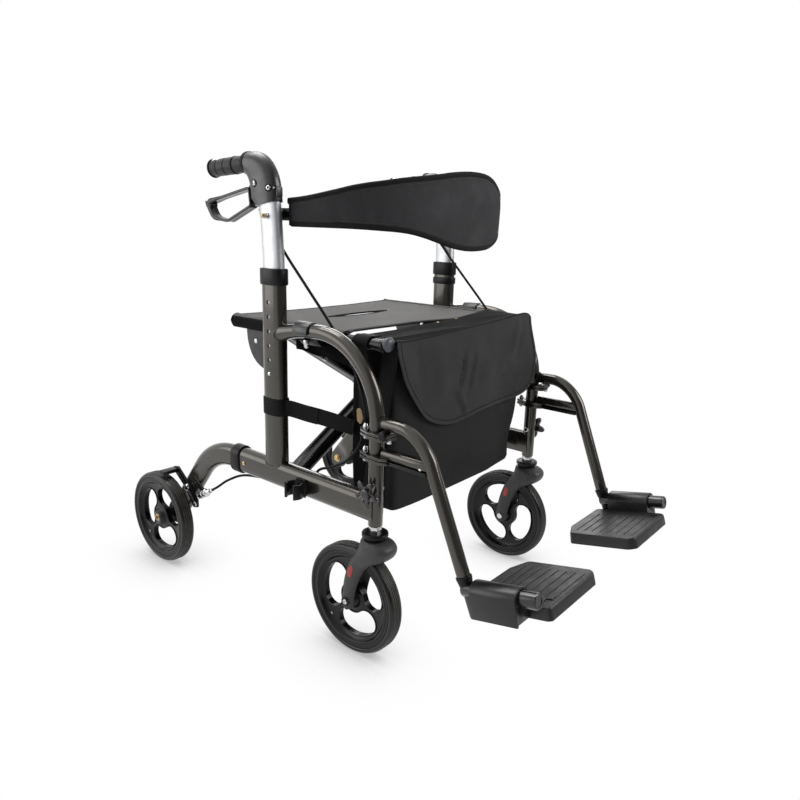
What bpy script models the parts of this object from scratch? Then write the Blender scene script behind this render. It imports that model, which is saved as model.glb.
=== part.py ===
# Four-wheel walker: a folding rollator that also serves as a transport chair.
# Metres, +Z up. The user walks towards -Y, so "right" is -X. The origin lies on
# the floor under the middle of the footprint. "Out" is the distance from the
# middle plane, "back" the distance behind the front posts.

from math import acos, atan2, cos, hypot, pi, radians, sin, sqrt

import bmesh
import bpy
from mathutils import Matrix, Vector

GAP = 0.0003  # between pieces that touch

# Side frames
POST_Y = -0.184
FRAME_OUT = 0.250
POST_DIAMETER = 0.025
POST_FOOT_Z = 0.250
ARCH_RADIUS = 0.132
ARCH_TOP_Z = 0.5566
ARCH_FALL = 0.0150  # from its top down to the upright
ARCH_FLARE = 1.40  # how much taller its end is on the upright
UPRIGHT_BACK = 0.248
UPRIGHT_LONG = 0.050
UPRIGHT_WIDE = 0.030
UPRIGHT_TOP_Z = 0.640
TUBE_WALL = 0.002
LOWER_TUBE_Z = 0.280
LOWER_TUBE_TALL = 0.050
LOWER_TUBE_WIDE = 0.030
LOWER_TUBE_REAR = 0.350
HEIGHT_HOLES = 6
HEIGHT_PITCH = 0.0256
HEIGHT_HOLE_Z = 0.4695
HEIGHT_HOLE_DIAMETER = 0.008

# Rear leg
LEG_SOCKET_DEPTH = 0.030
LEG_STRAIGHT = 0.030  # from the lower tube's end to the bend
LEG_BEND_RADIUS = 0.135
LEG_FOOT_TALL = 0.054
LEG_FOOT_WIDE = 0.015
LEG_FOOT_SHIFT = 0.006
LEG_COLLAR_LAP = 0.006
LEG_COLLAR_LONG = 0.026
LEG_COLLAR_WALL = 0.0035

# Wheels
WHEEL_RADIUS = 0.100
WHEEL_WIDTH = 0.028
TYRE_DEPTH = 0.010
RIM_DEPTH = 0.012
WEB_THICKNESS = 0.009
HUB_RADIUS = 0.015
CASTER_HUB_WIDTH = 0.031
KIDNEY_MIDDLE = 0.048
KIDNEY_HALF_WIDTH = 0.0185
KIDNEY_HALF_ANGLE = 27.0
SPOKES = 3
WHEEL_STEPS = 24
KIDNEY_TURN = 21.0
REAR_AXLE_BACK = 0.589
REAR_WHEEL_OUT = 0.291
AXLE_DIAMETER = 0.010
AXLE_HEAD_DIAMETER = 0.016
AXLE_HEAD = 0.0022

# Casters
CASTER_TRAIL = 0.045
STEM_DIAMETER = 0.012
STEM_IN_POST = 0.035
STEM_STEPS = 12
STEM_NUT = 0.013
STEM_NUT_DIAMETER = 0.022
DUST_CAP = 0.012
DUST_CAP_DIAMETER = 0.041
FORK_GAP = 0.004  # over the tyre
FORK_CHEEK_GAP = 0.0022  # beside the tyre
FORK_LEG = 0.0070
FORK_HOOD_FORWARD = 0.045
FORK_HOOD_HALF_WIDTH = 0.0265
CASTER_AXLE_DIAMETER = 0.008
CASTER_AXLE_HEAD = 0.003

# Sliding handles
HANDLE_PLAY = 0.0005
HANDLE_FOOT_Z = 0.430
HANDLE_TOP_DROP = 0.043  # below the grip's axis
HANDLE_LEAN = 0.009  # how far its bent upper end lies back
COLLAR_WALL = 0.003
COLLAR_BELOW = 0.017
COLLAR_ABOVE = 0.016
ELBOW_FOOT_DROP = 0.071  # below the grip's axis
GRIP_Z = 0.831
GRIP_START_BACK = 0.325
GRIP_LONG = 0.106
GRIP_RADIUS = 0.0160
GRIP_CORE_RADIUS = 0.011
ELBOW_RIM_RADIUS = 0.020
ELBOW_HALF_WIDTH = 0.0175
LEVER_PIVOT_BACK = 0.2905
LEVER_PIVOT_DROP = 0.0325  # below the grip's axis
LEVER_WIDE = 0.018
LEVER_THICK = 0.005
LEVER_PIN_RADIUS = 0.003
LEVER_EYE_RADIUS = 0.0065
LEVER_EYE_WIDE = 0.010
BUTTON_DIAMETER = 0.0074
BUTTON_PROUD = 0.0022
BUTTON_TRAVEL = 0.004
BUTTON_LONG = 0.0082

# Rear brake
BRAKE_PIVOT_UP_LEG = 0.100  # from the axle, along the leg
BRAKE_FOOT_BELOW_PIVOT = 0.0074  # along the leg
BRAKE_FOOT_BELOW_LEG = 0.0419  # from its middle line
BARREL_START = (0.1566, 0.0539)  # up the leg from the axle, and below the leg's middle line
BARREL_END = (0.1175, 0.0379)
BRAKE_PIVOT_RADIUS = 0.004
BRAKE_PLATE = 0.004
BRAKE_HEAD = 0.004
BRAKE_SHOE_GAP = 0.0045
BARREL_RADIUS = 0.006
BARREL_BORE_RADIUS = 0.004  # the wire swings in it
BARREL_BORE_DEEP = 0.008
CABLE_DIAMETER = 0.005
CABLE_POINTS = 32
WIRE_RADIUS = 0.0008

# Cross braces, seat rails and their parts
BRACE_PIVOT_OUT = 0.222
BRACE_PIVOT_Z = 0.281
BRACE_WIDE = 0.042
BRACE_THICK = 0.022
BRACE_A_BACK = 0.223
BRACE_SPACING = 0.044
BRACE_SLEEVE_RADIUS = 0.010
BRACE_PIN_RADIUS = 0.004
LUG_THICK = 0.005
LUG_RADIUS = 0.011
RAIL_OUT = 0.218
RAIL_Z = 0.545
RAIL_DIAMETER = 0.021
RAIL_FRONT_BACK = 0.013
RAIL_REAR_BACK = 0.405
RAIL_CAP_DIAMETER = 0.026
RAIL_CAP_LONG = 0.014
GUSSET_RADIUS = 0.073
GUSSET_BACK = 0.2885
GUSSET_THICK = 0.003
REST_BACK = 0.171
REST_LONG = 0.054
REST_WALL = 0.003
CRADLE_PLAY = 0.002

# Swing-away footrests
HANGER_DIAMETER = 0.022
HANGER_WALL = 0.002
HANGER_TOP_Z = 0.424
HANGER_START = 0.016  # ahead of the post
HANGER_BEND_RADIUS = 0.070
HANGER_BEND_AHEAD = 0.047
HANGER_LEAN = 67.6  # how far the bend turns down, in degrees
HANGER_FOOT_Z = 0.2215
HANGER_TOE_IN = 0.0043
RING_THICK = 0.010
UPPER_RING_Z = 0.400
LOWER_RING_Z = 0.360
RING_WALL = 0.0045
RING_REAR = 0.034
RING_FRONT = 0.031
RING_BOLT_BACK = 0.025
RING_NUT = 0.009
RING_NUT_RADIUS = 0.006
STRUT_DIAMETER = 0.019
ROD_PLAY = 0.0004
ROD_IN_HANGER = 0.060
ROD_REACH_BELOW = 0.045
COUPLING_LONG = 0.016
BOSS_BELOW = 0.021  # from the hanger's end down to the boss's axis
BOSS_RADIUS = 0.0125
BOSS_LONG = 0.124
BOSS_TILT = 12.5
HOUSING_START = 0.0137
HOUSING_END = 0.0957
HOUSING_RADIUS = 0.0195
PLATE_INNER = 0.172
PLATE_REAR = 0.0105
PLATE_FRONT = 0.130
PLATE_TOP_DROP = 0.016
PLATE_SKIRT = 0.020
PLATE_SKIN = 0.004
GROOVES = 8
GROOVE_WIDE = 0.002
GROOVE_DEEP = 0.001

# Backrest
BACKREST_PIVOT_BACK = 0.250
BACKREST_PIVOT_DROP = 0.084  # below the grips' axes
ARM_OUT = 0.2255
ARM_THICK = 0.004
ARM_TALL = 0.021
ARM_FRONT_BACK = 0.206
BAND_HALF_WIDTH = 0.2262
BAND_REACH = 0.230
BAND_EXPONENT = 2.6
BAND_THICK = 0.008
BAND_END_BACK = 0.227
BAND_MIDDLE_RISE = 0.079  # above the pivots, at its middle
BAND_MIDDLE_DROP = 0.054

# Seat and bag
SEAT_HALF_WIDTH = 0.222
SEAT_FRONT_BACK = 0.076
SEAT_REAR_BACK = 0.380
SEAT_THICK = 0.0042
SEAT_SAG = 0.004
SLOT_BACK = 0.280
SLOT_LONG = 0.144
SLOT_WIDE = 0.008
BAG_HALF_WIDTH = 0.203
BAG_FRONT_BACK = 0.002
BAG_REAR_BACK = 0.095
BAG_FOOT_Z = 0.246
BAG_TOP_Z = 0.566
FLAP_THICK = 0.007
FLAP_FOOT_Z = 0.400
FLAP_HALF_WIDTH = 0.214

# Star knob and cane holder
KNOB_Z = 0.312
KNOB_RADIUS = 0.022
KNOB_LOBES = 5
KNOB_THICK = 0.013
KNOB_BOLT_RADIUS = 0.003
CLIP_BACK = 0.163
CLIP_Z = 0.2765
CLIP_TALL = 0.027
CLIP_BORE_RADIUS = 0.0125
CLIP_WALL = 0.004
CLIP_MOUTH = 50.0

# What follows from the sizes above
AXLE_Z = WHEEL_RADIUS
HANDLE_TOP_Z = GRIP_Z - HANDLE_TOP_DROP
ELBOW_FOOT_Z = GRIP_Z - ELBOW_FOOT_DROP
LEVER_PIVOT_Z = GRIP_Z - LEVER_PIVOT_DROP
BACKREST_PIVOT_Z = GRIP_Z - BACKREST_PIVOT_DROP
BAND_MIDDLE_TOP_Z = BACKREST_PIVOT_Z + BAND_MIDDLE_RISE
BAND_MIDDLE_FOOT_Z = BACKREST_PIVOT_Z - BAND_MIDDLE_DROP
RIM_OUTER = WHEEL_RADIUS - TYRE_DEPTH
RIM_INNER = RIM_OUTER - RIM_DEPTH
POST_RADIUS = POST_DIAMETER / 2
BRACE_B_BACK = BRACE_A_BACK + BRACE_SPACING
LEG_TALL = LOWER_TUBE_TALL - 2 * TUBE_WALL - 2 * GAP
LEG_WIDE = LOWER_TUBE_WIDE - 2 * TUBE_WALL - 2 * GAP
LEG_BEND_BACK = LOWER_TUBE_REAR + LEG_STRAIGHT
HANDLE_LONG = UPRIGHT_LONG - 2 * TUBE_WALL - 2 * HANDLE_PLAY
HANDLE_WIDE = UPRIGHT_WIDE - 2 * TUBE_WALL - 2 * HANDLE_PLAY
FORK_SLOT_RADIUS = WHEEL_RADIUS + FORK_GAP
FORK_SLOT_HALF = WHEEL_WIDTH / 2 + FORK_CHEEK_GAP
FORK_HALF_WIDTH = FORK_SLOT_HALF + FORK_LEG
DUST_CAP_TOP = POST_FOOT_Z - GAP - STEM_NUT - GAP
FORK_TOP_Z = DUST_CAP_TOP - DUST_CAP

X_AXIS = Vector((1, 0, 0))
Y_AXIS = Vector((0, 1, 0))
Z_AXIS = Vector((0, 0, 1))
SIDES = {"right": -1, "left": 1}


def at(side, out, back, z):
    return Vector((side * out, POST_Y + back, z))


# Materials: name, colour, roughness, metallic
FINISHES = {
    "bronze_paint": ((0.105, 0.098, 0.088), 0.34, 0.75),
    "satin_aluminium": ((0.62, 0.63, 0.64), 0.30, 0.95),
    "chrome": ((0.72, 0.72, 0.72), 0.12, 1.0),
    "black_paint": ((0.012, 0.012, 0.012), 0.28, 0.1),
    "black_plastic": ((0.018, 0.018, 0.018), 0.45, 0.0),
    "elbow_plastic": ((0.045, 0.046, 0.048), 0.42, 0.0),
    "grip_rubber": ((0.030, 0.030, 0.032), 0.60, 0.0),
    "tyre_rubber": ((0.055, 0.050, 0.046), 0.80, 0.0),
    "rim_plastic": ((0.010, 0.010, 0.010), 0.22, 0.0),
    "seat_fabric": ((0.150, 0.150, 0.148), 0.90, 0.0),
    "black_fabric": ((0.014, 0.014, 0.014), 0.85, 0.0),
}


def finish(name):
    material = bpy.data.materials.get(name)
    if material is None:
        colour, roughness, metallic = FINISHES[name]
        material = bpy.data.materials.new(name)
        material.use_nodes = True
        shader = material.node_tree.nodes["Principled BSDF"]
        shader.inputs["Base Color"].default_value = (*colour, 1)
        shader.inputs["Roughness"].default_value = roughness
        shader.inputs["Metallic"].default_value = metallic
    return material


# Sections and outlines, as lists of (a, b)
def arc(centre, radius, start, end, steps):
    angles = [radians(start + (end - start) * i / steps) for i in range(steps + 1)]
    return [(centre[0] + radius * cos(t), centre[1] + radius * sin(t)) for t in angles]


def stadium(wide, long, steps=5):
    shift = (long - wide) / 2
    upper = arc((0, shift), wide / 2, 0, 180, steps)
    return upper + arc((0, -shift), wide / 2, 180, 360, steps)


def circle(radius, steps=14, turn=0.0):
    return arc((0, 0), radius, turn, turn + 360 * (1 - 1 / steps), steps - 1)


def superellipse(half_a, half_b, exponent=3.0, steps=16):
    points = []
    for i in range(steps):
        t = 2 * pi * (i + 0.5) / steps
        ca, sb = cos(t), sin(t)
        points.append((
            half_a * abs(ca) ** (2 / exponent) * (1 if ca > 0 else -1),
            half_b * abs(sb) ** (2 / exponent) * (1 if sb > 0 else -1),
        ))
    return points


# Solids
def solid(mesh_data):
    bmesh.ops.recalc_face_normals(mesh_data, faces=mesh_data.faces)
    mesh = bpy.data.meshes.new("shape")
    mesh_data.to_mesh(mesh)
    mesh_data.free()
    shape = bpy.data.objects.new("shape", mesh)
    bpy.context.scene.collection.objects.link(shape)
    return shape


def loft(rings, closed=False):
    """A skin over rings of points, capped at both ends or closed on itself."""
    data = bmesh.new()
    rows = [[data.verts.new(point) for point in ring] for ring in rings]
    pairs = list(zip(rows, rows[1:]))
    if closed:
        pairs.append((rows[-1], rows[0]))
    for first, second in pairs:
        for i in range(len(first)):
            j = (i + 1) % len(first)
            data.faces.new((first[i], first[j], second[j], second[i]))
    if not closed:
        data.faces.new(rows[0])
        data.faces.new(rows[-1])
    return solid(data)


def ring(centre, a_axis, b_axis, section):
    return [centre + a_axis * a + b_axis * b for a, b in section]


def rings_along(path, sections, side_axis=X_AXIS):
    """One ring for each point of a path, square to it; a runs along the side axis."""
    if not isinstance(sections[0], list):
        sections = [sections] * len(path)
    rings = []
    for i, point in enumerate(path):
        ahead = path[min(i + 1, len(path) - 1)]
        behind = path[max(i - 1, 0)]
        along = (ahead - behind).normalized()
        across = (side_axis - along * side_axis.dot(along)).normalized()
        rings.append(ring(point, across, along.cross(across), sections[i]))
    return rings


def sweep(path, sections, side_axis=X_AXIS):
    return loft(rings_along(path, sections, side_axis))


def tube(path, outer, inner, side_axis=X_AXIS):
    skins = rings_along(path, outer, side_axis) + rings_along(path, inner, side_axis)[::-1]
    return loft(skins, closed=True)


def axes_of(axis):
    other = Z_AXIS if abs(axis.z) < 0.9 else X_AXIS
    first = (other - axis * other.dot(axis)).normalized()
    return first, axis.cross(first)


def turned(profile, centre, axis, steps=16, hollow=False, turn=0.0):
    """Circles of (distance along the axis, radius), capped or closed on itself."""
    first, second = axes_of(axis)
    rings = [
        ring(centre + axis * along, first, second, circle(radius, steps, turn))
        for along, radius in profile
    ]
    return loft(rings, closed=hollow)


def rod(start, end, radius, steps=10):
    axis = end - start
    return turned([(0, radius), (axis.length, radius)], start, axis.normalized(), steps)


def plate(outline, origin, a_axis, b_axis, normal, low, high):
    return loft([
        ring(origin + normal * level, a_axis, b_axis, outline) for level in (low, high)
    ])


def block(low, high):
    outline = [(low.x, low.y), (high.x, low.y), (high.x, high.y), (low.x, high.y)]
    return plate(outline, Vector(), X_AXIS, Y_AXIS, Z_AXIS, low.z, high.z)


def boolean(base, tool, operation):
    step = base.modifiers.new(operation.lower(), "BOOLEAN")
    step.operation = operation
    step.solver = "EXACT"
    step.object = tool
    graph = bpy.context.evaluated_depsgraph_get()
    mesh = bpy.data.meshes.new_from_object(base.evaluated_get(graph))
    base.modifiers.clear()
    base.data = mesh
    bpy.data.objects.remove(tool)
    return base


def fuse(base, *tools):
    for tool in tools:
        boolean(base, tool, "UNION")
    return base


def cut(base, *tools):
    for tool in tools:
        boolean(base, tool, "DIFFERENCE")
    return base


# Pivots: an empty on each joint's axis, which its pieces hang from
def pivot(name, place, parent=None):
    empty = bpy.data.objects.new("pivot_" + name, None)
    empty.empty_display_size = 0.02
    bpy.context.scene.collection.objects.link(empty)
    empty.parent = parent
    empty.location = place - (world_of(parent) if parent else Vector())
    return empty


def world_of(empty):
    place = Vector(empty.location)
    while empty.parent:
        empty = empty.parent
        place += empty.location
    return place


def piece(shape, name, finish_name, carrier, sharp=40):
    """Names a solid, gives it its finish and moves its origin to its pivot."""
    shape.name = name
    shape.data.name = name
    shape.data.transform(Matrix.Translation(-world_of(carrier)))
    shape.parent = carrier
    shape.data.materials.clear()
    shape.data.materials.append(finish(finish_name))
    shape.data.shade_smooth()
    shape.data.set_sharp_from_angle(angle=radians(sharp))
    return shape


# Side frame
def arch_path(side):
    back = ARCH_RADIUS
    centre = (back, ARCH_TOP_Z - ARCH_RADIUS)
    run = UPRIGHT_BACK - UPRIGHT_LONG / 2 + 0.017 - back
    points = [(back + run * (1 - t), ARCH_TOP_Z - ARCH_FALL * (1 - t) ** 2) for t in (0, 0.2, 0.45, 0.72, 0.9)]
    points += arc(centre, ARCH_RADIUS, 90, 180, 8)
    points.append((0, POST_FOOT_Z))
    return [at(side, FRAME_OUT, b, z) for b, z in points]


def arch_sections(grow=0.0):
    plain = circle(POST_RADIUS + grow)
    flared = [[(a * (1 + 0.1 * t), b * (1 + t)) for a, b in plain] for t in (ARCH_FLARE - 1, ARCH_FLARE / 2 - 0.5)]
    return flared + [plain] * (len(arch_path(1)) - len(flared))


def post_cutter(side, gap=2 * GAP):
    low = at(side, FRAME_OUT, 0, POST_FOOT_Z - 0.02)
    return turned([(0, POST_RADIUS + gap), (0.3, POST_RADIUS + gap)], low, Z_AXIS, 16)


def lower_tube_cutter(side):
    section = stadium(LOWER_TUBE_WIDE + 2 * GAP, LOWER_TUBE_TALL + 2 * GAP)
    span = (0.1, LOWER_TUBE_REAR + 0.1)
    return sweep([at(side, FRAME_OUT, b, LOWER_TUBE_Z) for b in span], section)


def upright_cutter(side):
    section = stadium(UPRIGHT_WIDE + 2 * GAP, UPRIGHT_LONG + 2 * GAP)
    return sweep([at(side, FRAME_OUT, UPRIGHT_BACK, z) for z in (0.4, 0.62)], section)


def make_upright(side):
    foot = LOWER_TUBE_Z + (LOWER_TUBE_TALL - LOWER_TUBE_WIDE) / 2 - 0.004
    path = [at(side, FRAME_OUT, UPRIGHT_BACK, z) for z in (foot, UPRIGHT_TOP_Z)]
    inner = stadium(UPRIGHT_WIDE - 2 * TUBE_WALL, UPRIGHT_LONG - 2 * TUBE_WALL)
    shape = tube(path, stadium(UPRIGHT_WIDE, UPRIGHT_LONG), inner)
    cut(shape, lower_tube_cutter(side))
    flank = FRAME_OUT + UPRIGHT_WIDE / 2
    for number in range(HEIGHT_HOLES):
        z = HEIGHT_HOLE_Z + number * HEIGHT_PITCH
        ends = [at(side, flank + shift, UPRIGHT_BACK, z) for shift in (-2 * TUBE_WALL, TUBE_WALL)]
        cut(shape, rod(*ends, HEIGHT_HOLE_DIAMETER / 2, 8))
    return shape


def make_lower_tube(side, brace_back):
    inner = stadium(LOWER_TUBE_WIDE - 2 * TUBE_WALL, LOWER_TUBE_TALL - 2 * TUBE_WALL)
    path = [at(side, FRAME_OUT, b, LOWER_TUBE_Z) for b in (0.004, LOWER_TUBE_REAR)]
    shape = tube(path, stadium(LOWER_TUBE_WIDE, LOWER_TUBE_TALL), inner)
    cut(shape, post_cutter(side))
    root = FRAME_OUT - LOWER_TUBE_WIDE / 2 + TUBE_WALL / 2
    lug = [(root, BRACE_PIVOT_Z - LUG_RADIUS), (root, BRACE_PIVOT_Z + 0.004)]
    lug += arc((BRACE_PIVOT_OUT, BRACE_PIVOT_Z), LUG_RADIUS, 75, 270, 6)
    reach = BRACE_WIDE / 2 + GAP
    for low in (brace_back - reach - LUG_THICK, brace_back + reach):
        origin = Vector((0, POST_Y, 0))
        fuse(shape, plate(lug, origin, X_AXIS * side, Z_AXIS, Y_AXIS, low, low + LUG_THICK))
    ends = [at(side, BRACE_PIVOT_OUT, brace_back + shift, BRACE_PIVOT_Z) for shift in (-0.04, 0.04)]
    return cut(shape, rod(*ends, BRACE_PIN_RADIUS + GAP))


def make_arch_post(side):
    shape = sweep(arch_path(side), arch_sections())
    cut(shape, upright_cutter(side))
    foot = at(side, FRAME_OUT, 0, POST_FOOT_Z)
    top = foot + Z_AXIS * (STEM_IN_POST + GAP)
    cut(shape, rod(foot - Z_AXIS * 0.01, top, STEM_DIAMETER / 2 + GAP, STEM_STEPS))
    ends = [at(side, FRAME_OUT + shift, 0, KNOB_Z) for shift in (-0.02, 0.02)]
    return cut(shape, rod(*ends, KNOB_BOLT_RADIUS + GAP))


def leg_turn():
    """How far the leg bends down, so that its straight end points at the axle."""
    run = REAR_AXLE_BACK - LEG_BEND_BACK
    rise = AXLE_Z - (LOWER_TUBE_Z - LEG_BEND_RADIUS)
    touch = atan2(rise, run) + acos(LEG_BEND_RADIUS / hypot(run, rise))
    return pi / 2 - touch


def on_leg(distance):
    """A point this far up the leg from the axle, as (back, z)."""
    turn = leg_turn()
    return REAR_AXLE_BACK - cos(turn) * distance, AXLE_Z + sin(turn) * distance


def make_rear_leg(side):
    turn = leg_turn()
    plain = stadium(LEG_WIDE, LEG_TALL)
    stations = [(LOWER_TUBE_REAR - LEG_SOCKET_DEPTH, LOWER_TUBE_Z, 0.0, LEG_WIDE, LEG_TALL)]
    for step in range(7):
        t = turn * step / 6
        stations.append((
            LEG_BEND_BACK + LEG_BEND_RADIUS * sin(t),
            LOWER_TUBE_Z - LEG_BEND_RADIUS * (1 - cos(t)), 0.0, LEG_WIDE, LEG_TALL,
        ))
    radius = LEG_FOOT_TALL / 2
    for up, share in ((0.066, 0.0), (0.036, 0.8), (0.012, 1.0), (0.0, 1.0)):
        wide = LEG_WIDE + (LEG_FOOT_WIDE - LEG_WIDE) * share
        tall = LEG_TALL + (LEG_FOOT_TALL - LEG_TALL) * share
        stations.append((*on_leg(up), LEG_FOOT_SHIFT * share, wide, tall))
    for angle in (30, 55, 75):
        tall = max(2 * radius * cos(radians(angle)), LEG_FOOT_WIDE * 1.05)
        stations.append((*on_leg(-radius * sin(radians(angle))), LEG_FOOT_SHIFT, LEG_FOOT_WIDE, tall))
    path = [at(side, FRAME_OUT + shift, b, z) for b, z, shift, _, _ in stations]
    shape = sweep(path, [stadium(wide, tall) for _, _, _, wide, tall in stations])
    axle = [at(side, FRAME_OUT + shift, REAR_AXLE_BACK, AXLE_Z) for shift in (-0.03, 0.04)]
    cut(shape, rod(*axle, AXLE_DIAMETER / 2 + GAP))
    return fuse(shape, brake_bolt(side), cable_stop(side))


def brake_bolt(side):
    """The bolt on the leg's outer flank that the brake plate turns on."""
    back, z = on_leg(BRAKE_PIVOT_UP_LEG)
    flank = FRAME_OUT + LEG_WIDE / 2
    seat = BRAKE_PLATE + 2 * GAP
    profile = [(-0.004, BRAKE_PIVOT_RADIUS), (seat, BRAKE_PIVOT_RADIUS),
               (seat, 1.8 * BRAKE_PIVOT_RADIUS), (seat + BRAKE_HEAD, 1.5 * BRAKE_PIVOT_RADIUS)]
    return turned(profile, at(side, flank, back, z), X_AXIS * side, 10)


def under_leg(up, below):
    """A point up the leg from the axle and below its middle line, as (back, z)."""
    back, z = on_leg(up)
    turn = leg_turn()
    return back - sin(turn) * below, z - cos(turn) * below


def cable_line():
    """The adjuster's axis below the leg, as (back, z) of its two ends."""
    return under_leg(*BARREL_START), under_leg(*BARREL_END)


def cable_stop(side):
    """The adjuster barrel and the tab that holds it to the leg."""
    out = FRAME_OUT + LEG_WIDE / 2
    start, end = [at(side, out, *place) for place in cable_line()]
    axis = (end - start).normalized()
    long = (end - start).length
    profile = [(0, 0.7 * BARREL_RADIUS), (long * 0.35, 0.7 * BARREL_RADIUS),
               (long * 0.35, BARREL_RADIUS), (long, BARREL_RADIUS)]
    barrel = turned(profile, start, axis, 10)
    cut(barrel, rod(end - axis * BARREL_BORE_DEEP, end + axis * 0.002, BARREL_BORE_RADIUS, 8))
    seat = on_leg(BRAKE_PIVOT_UP_LEG + 0.030)
    tab = sweep([(start + end) / 2, at(side, out - 0.001, *seat)], superellipse(0.0015, 0.007, 4, 8))
    return fuse(barrel, tab)


def collar(centres, sections):
    """A sleeve of rings: the outside first, then back along the bore."""
    return loft([ring(c, X_AXIS, axis, s) for (c, axis), s in zip(centres, sections)], closed=True)


def make_leg_collar(side):
    front = LOWER_TUBE_REAR - LEG_COLLAR_LAP
    rear = front + LEG_COLLAR_LONG
    edge = LEG_COLLAR_WALL / 3
    outer = stadium(LOWER_TUBE_WIDE + 2 * LEG_COLLAR_WALL, LOWER_TUBE_TALL + 2 * LEG_COLLAR_WALL)
    chamfer = stadium(LOWER_TUBE_WIDE + 2 * LEG_COLLAR_WALL - 2 * edge,
                      LOWER_TUBE_TALL + 2 * LEG_COLLAR_WALL - 2 * edge)
    on_tube = stadium(LOWER_TUBE_WIDE + 2 * GAP, LOWER_TUBE_TALL + 2 * GAP)
    on_leg_end = stadium(LEG_WIDE + 2 * GAP, LEG_TALL + 2 * GAP)
    step = LOWER_TUBE_REAR + GAP
    stations = [(front, chamfer), (front + edge, outer), (rear - edge, outer), (rear, chamfer),
                (rear, on_leg_end), (step, on_leg_end), (step, on_tube), (front, on_tube)]
    centres = [(at(side, FRAME_OUT, b, LOWER_TUBE_Z), Z_AXIS) for b, _ in stations]
    return collar(centres, [section for _, section in stations])


def make_height_collar(side):
    low = UPRIGHT_TOP_Z - COLLAR_BELOW
    high = UPRIGHT_TOP_Z + COLLAR_ABOVE
    outer = stadium(UPRIGHT_WIDE + 2 * COLLAR_WALL, UPRIGHT_LONG + 2 * COLLAR_WALL)
    lip = stadium(UPRIGHT_WIDE + COLLAR_WALL, UPRIGHT_LONG + COLLAR_WALL)
    on_upright = stadium(UPRIGHT_WIDE + 2 * GAP, UPRIGHT_LONG + 2 * GAP)
    on_handle = stadium(HANDLE_WIDE + 2 * GAP, HANDLE_LONG + 2 * GAP)
    step = UPRIGHT_TOP_Z + GAP
    stations = [(low, lip), (low + 0.002, outer), (high - 0.002, outer), (high, lip),
                (high, on_handle), (step, on_handle), (step, on_upright), (low, on_upright)]
    centres = [(at(side, FRAME_OUT, UPRIGHT_BACK, z), Y_AXIS) for z, _ in stations]
    return collar(centres, [section for _, section in stations])


# Handle
def handle_back(z):
    """The handle tube's middle line: straight in the upright, bent back above it."""
    bend = UPRIGHT_TOP_Z + COLLAR_ABOVE + 0.002
    share = max(0.0, (z - bend) / (HANDLE_TOP_Z - bend))
    return UPRIGHT_BACK + HANDLE_LEAN * share ** 1.4


def handle_solid(side, low, high, grow=0.0):
    bend = UPRIGHT_TOP_Z + COLLAR_ABOVE + 0.002
    heights = [low] if low >= bend else [low, bend]
    heights += [heights[-1] + (high - heights[-1]) * step / 4 for step in (1, 2, 3, 4)]
    path = [at(side, FRAME_OUT, handle_back(z), z) for z in heights]
    return sweep(path, stadium(HANDLE_WIDE + 2 * grow, HANDLE_LONG + 2 * grow))


def make_handle_tube(side):
    shape = handle_solid(side, HANDLE_FOOT_Z, HANDLE_TOP_Z)
    flank = FRAME_OUT + UPRIGHT_WIDE / 2
    deep = flank + BUTTON_PROUD - BUTTON_LONG - BUTTON_TRAVEL - GAP
    ends = [at(side, out, UPRIGHT_BACK, HEIGHT_HOLE_Z) for out in (deep, flank)]
    return cut(shape, rod(*ends, BUTTON_DIAMETER / 2 + GAP))


def make_snap_button(side):
    tip = FRAME_OUT + UPRIGHT_WIDE / 2 + BUTTON_PROUD
    radius = BUTTON_DIAMETER / 2
    profile = [(0, radius), (BUTTON_LONG - radius / 2, radius), (BUTTON_LONG - radius / 6, 0.75 * radius),
               (BUTTON_LONG, 0.35 * radius)]
    foot = at(side, tip - BUTTON_LONG, UPRIGHT_BACK, HEIGHT_HOLE_Z)
    return turned(profile, foot, X_AXIS * side, 8)


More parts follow.
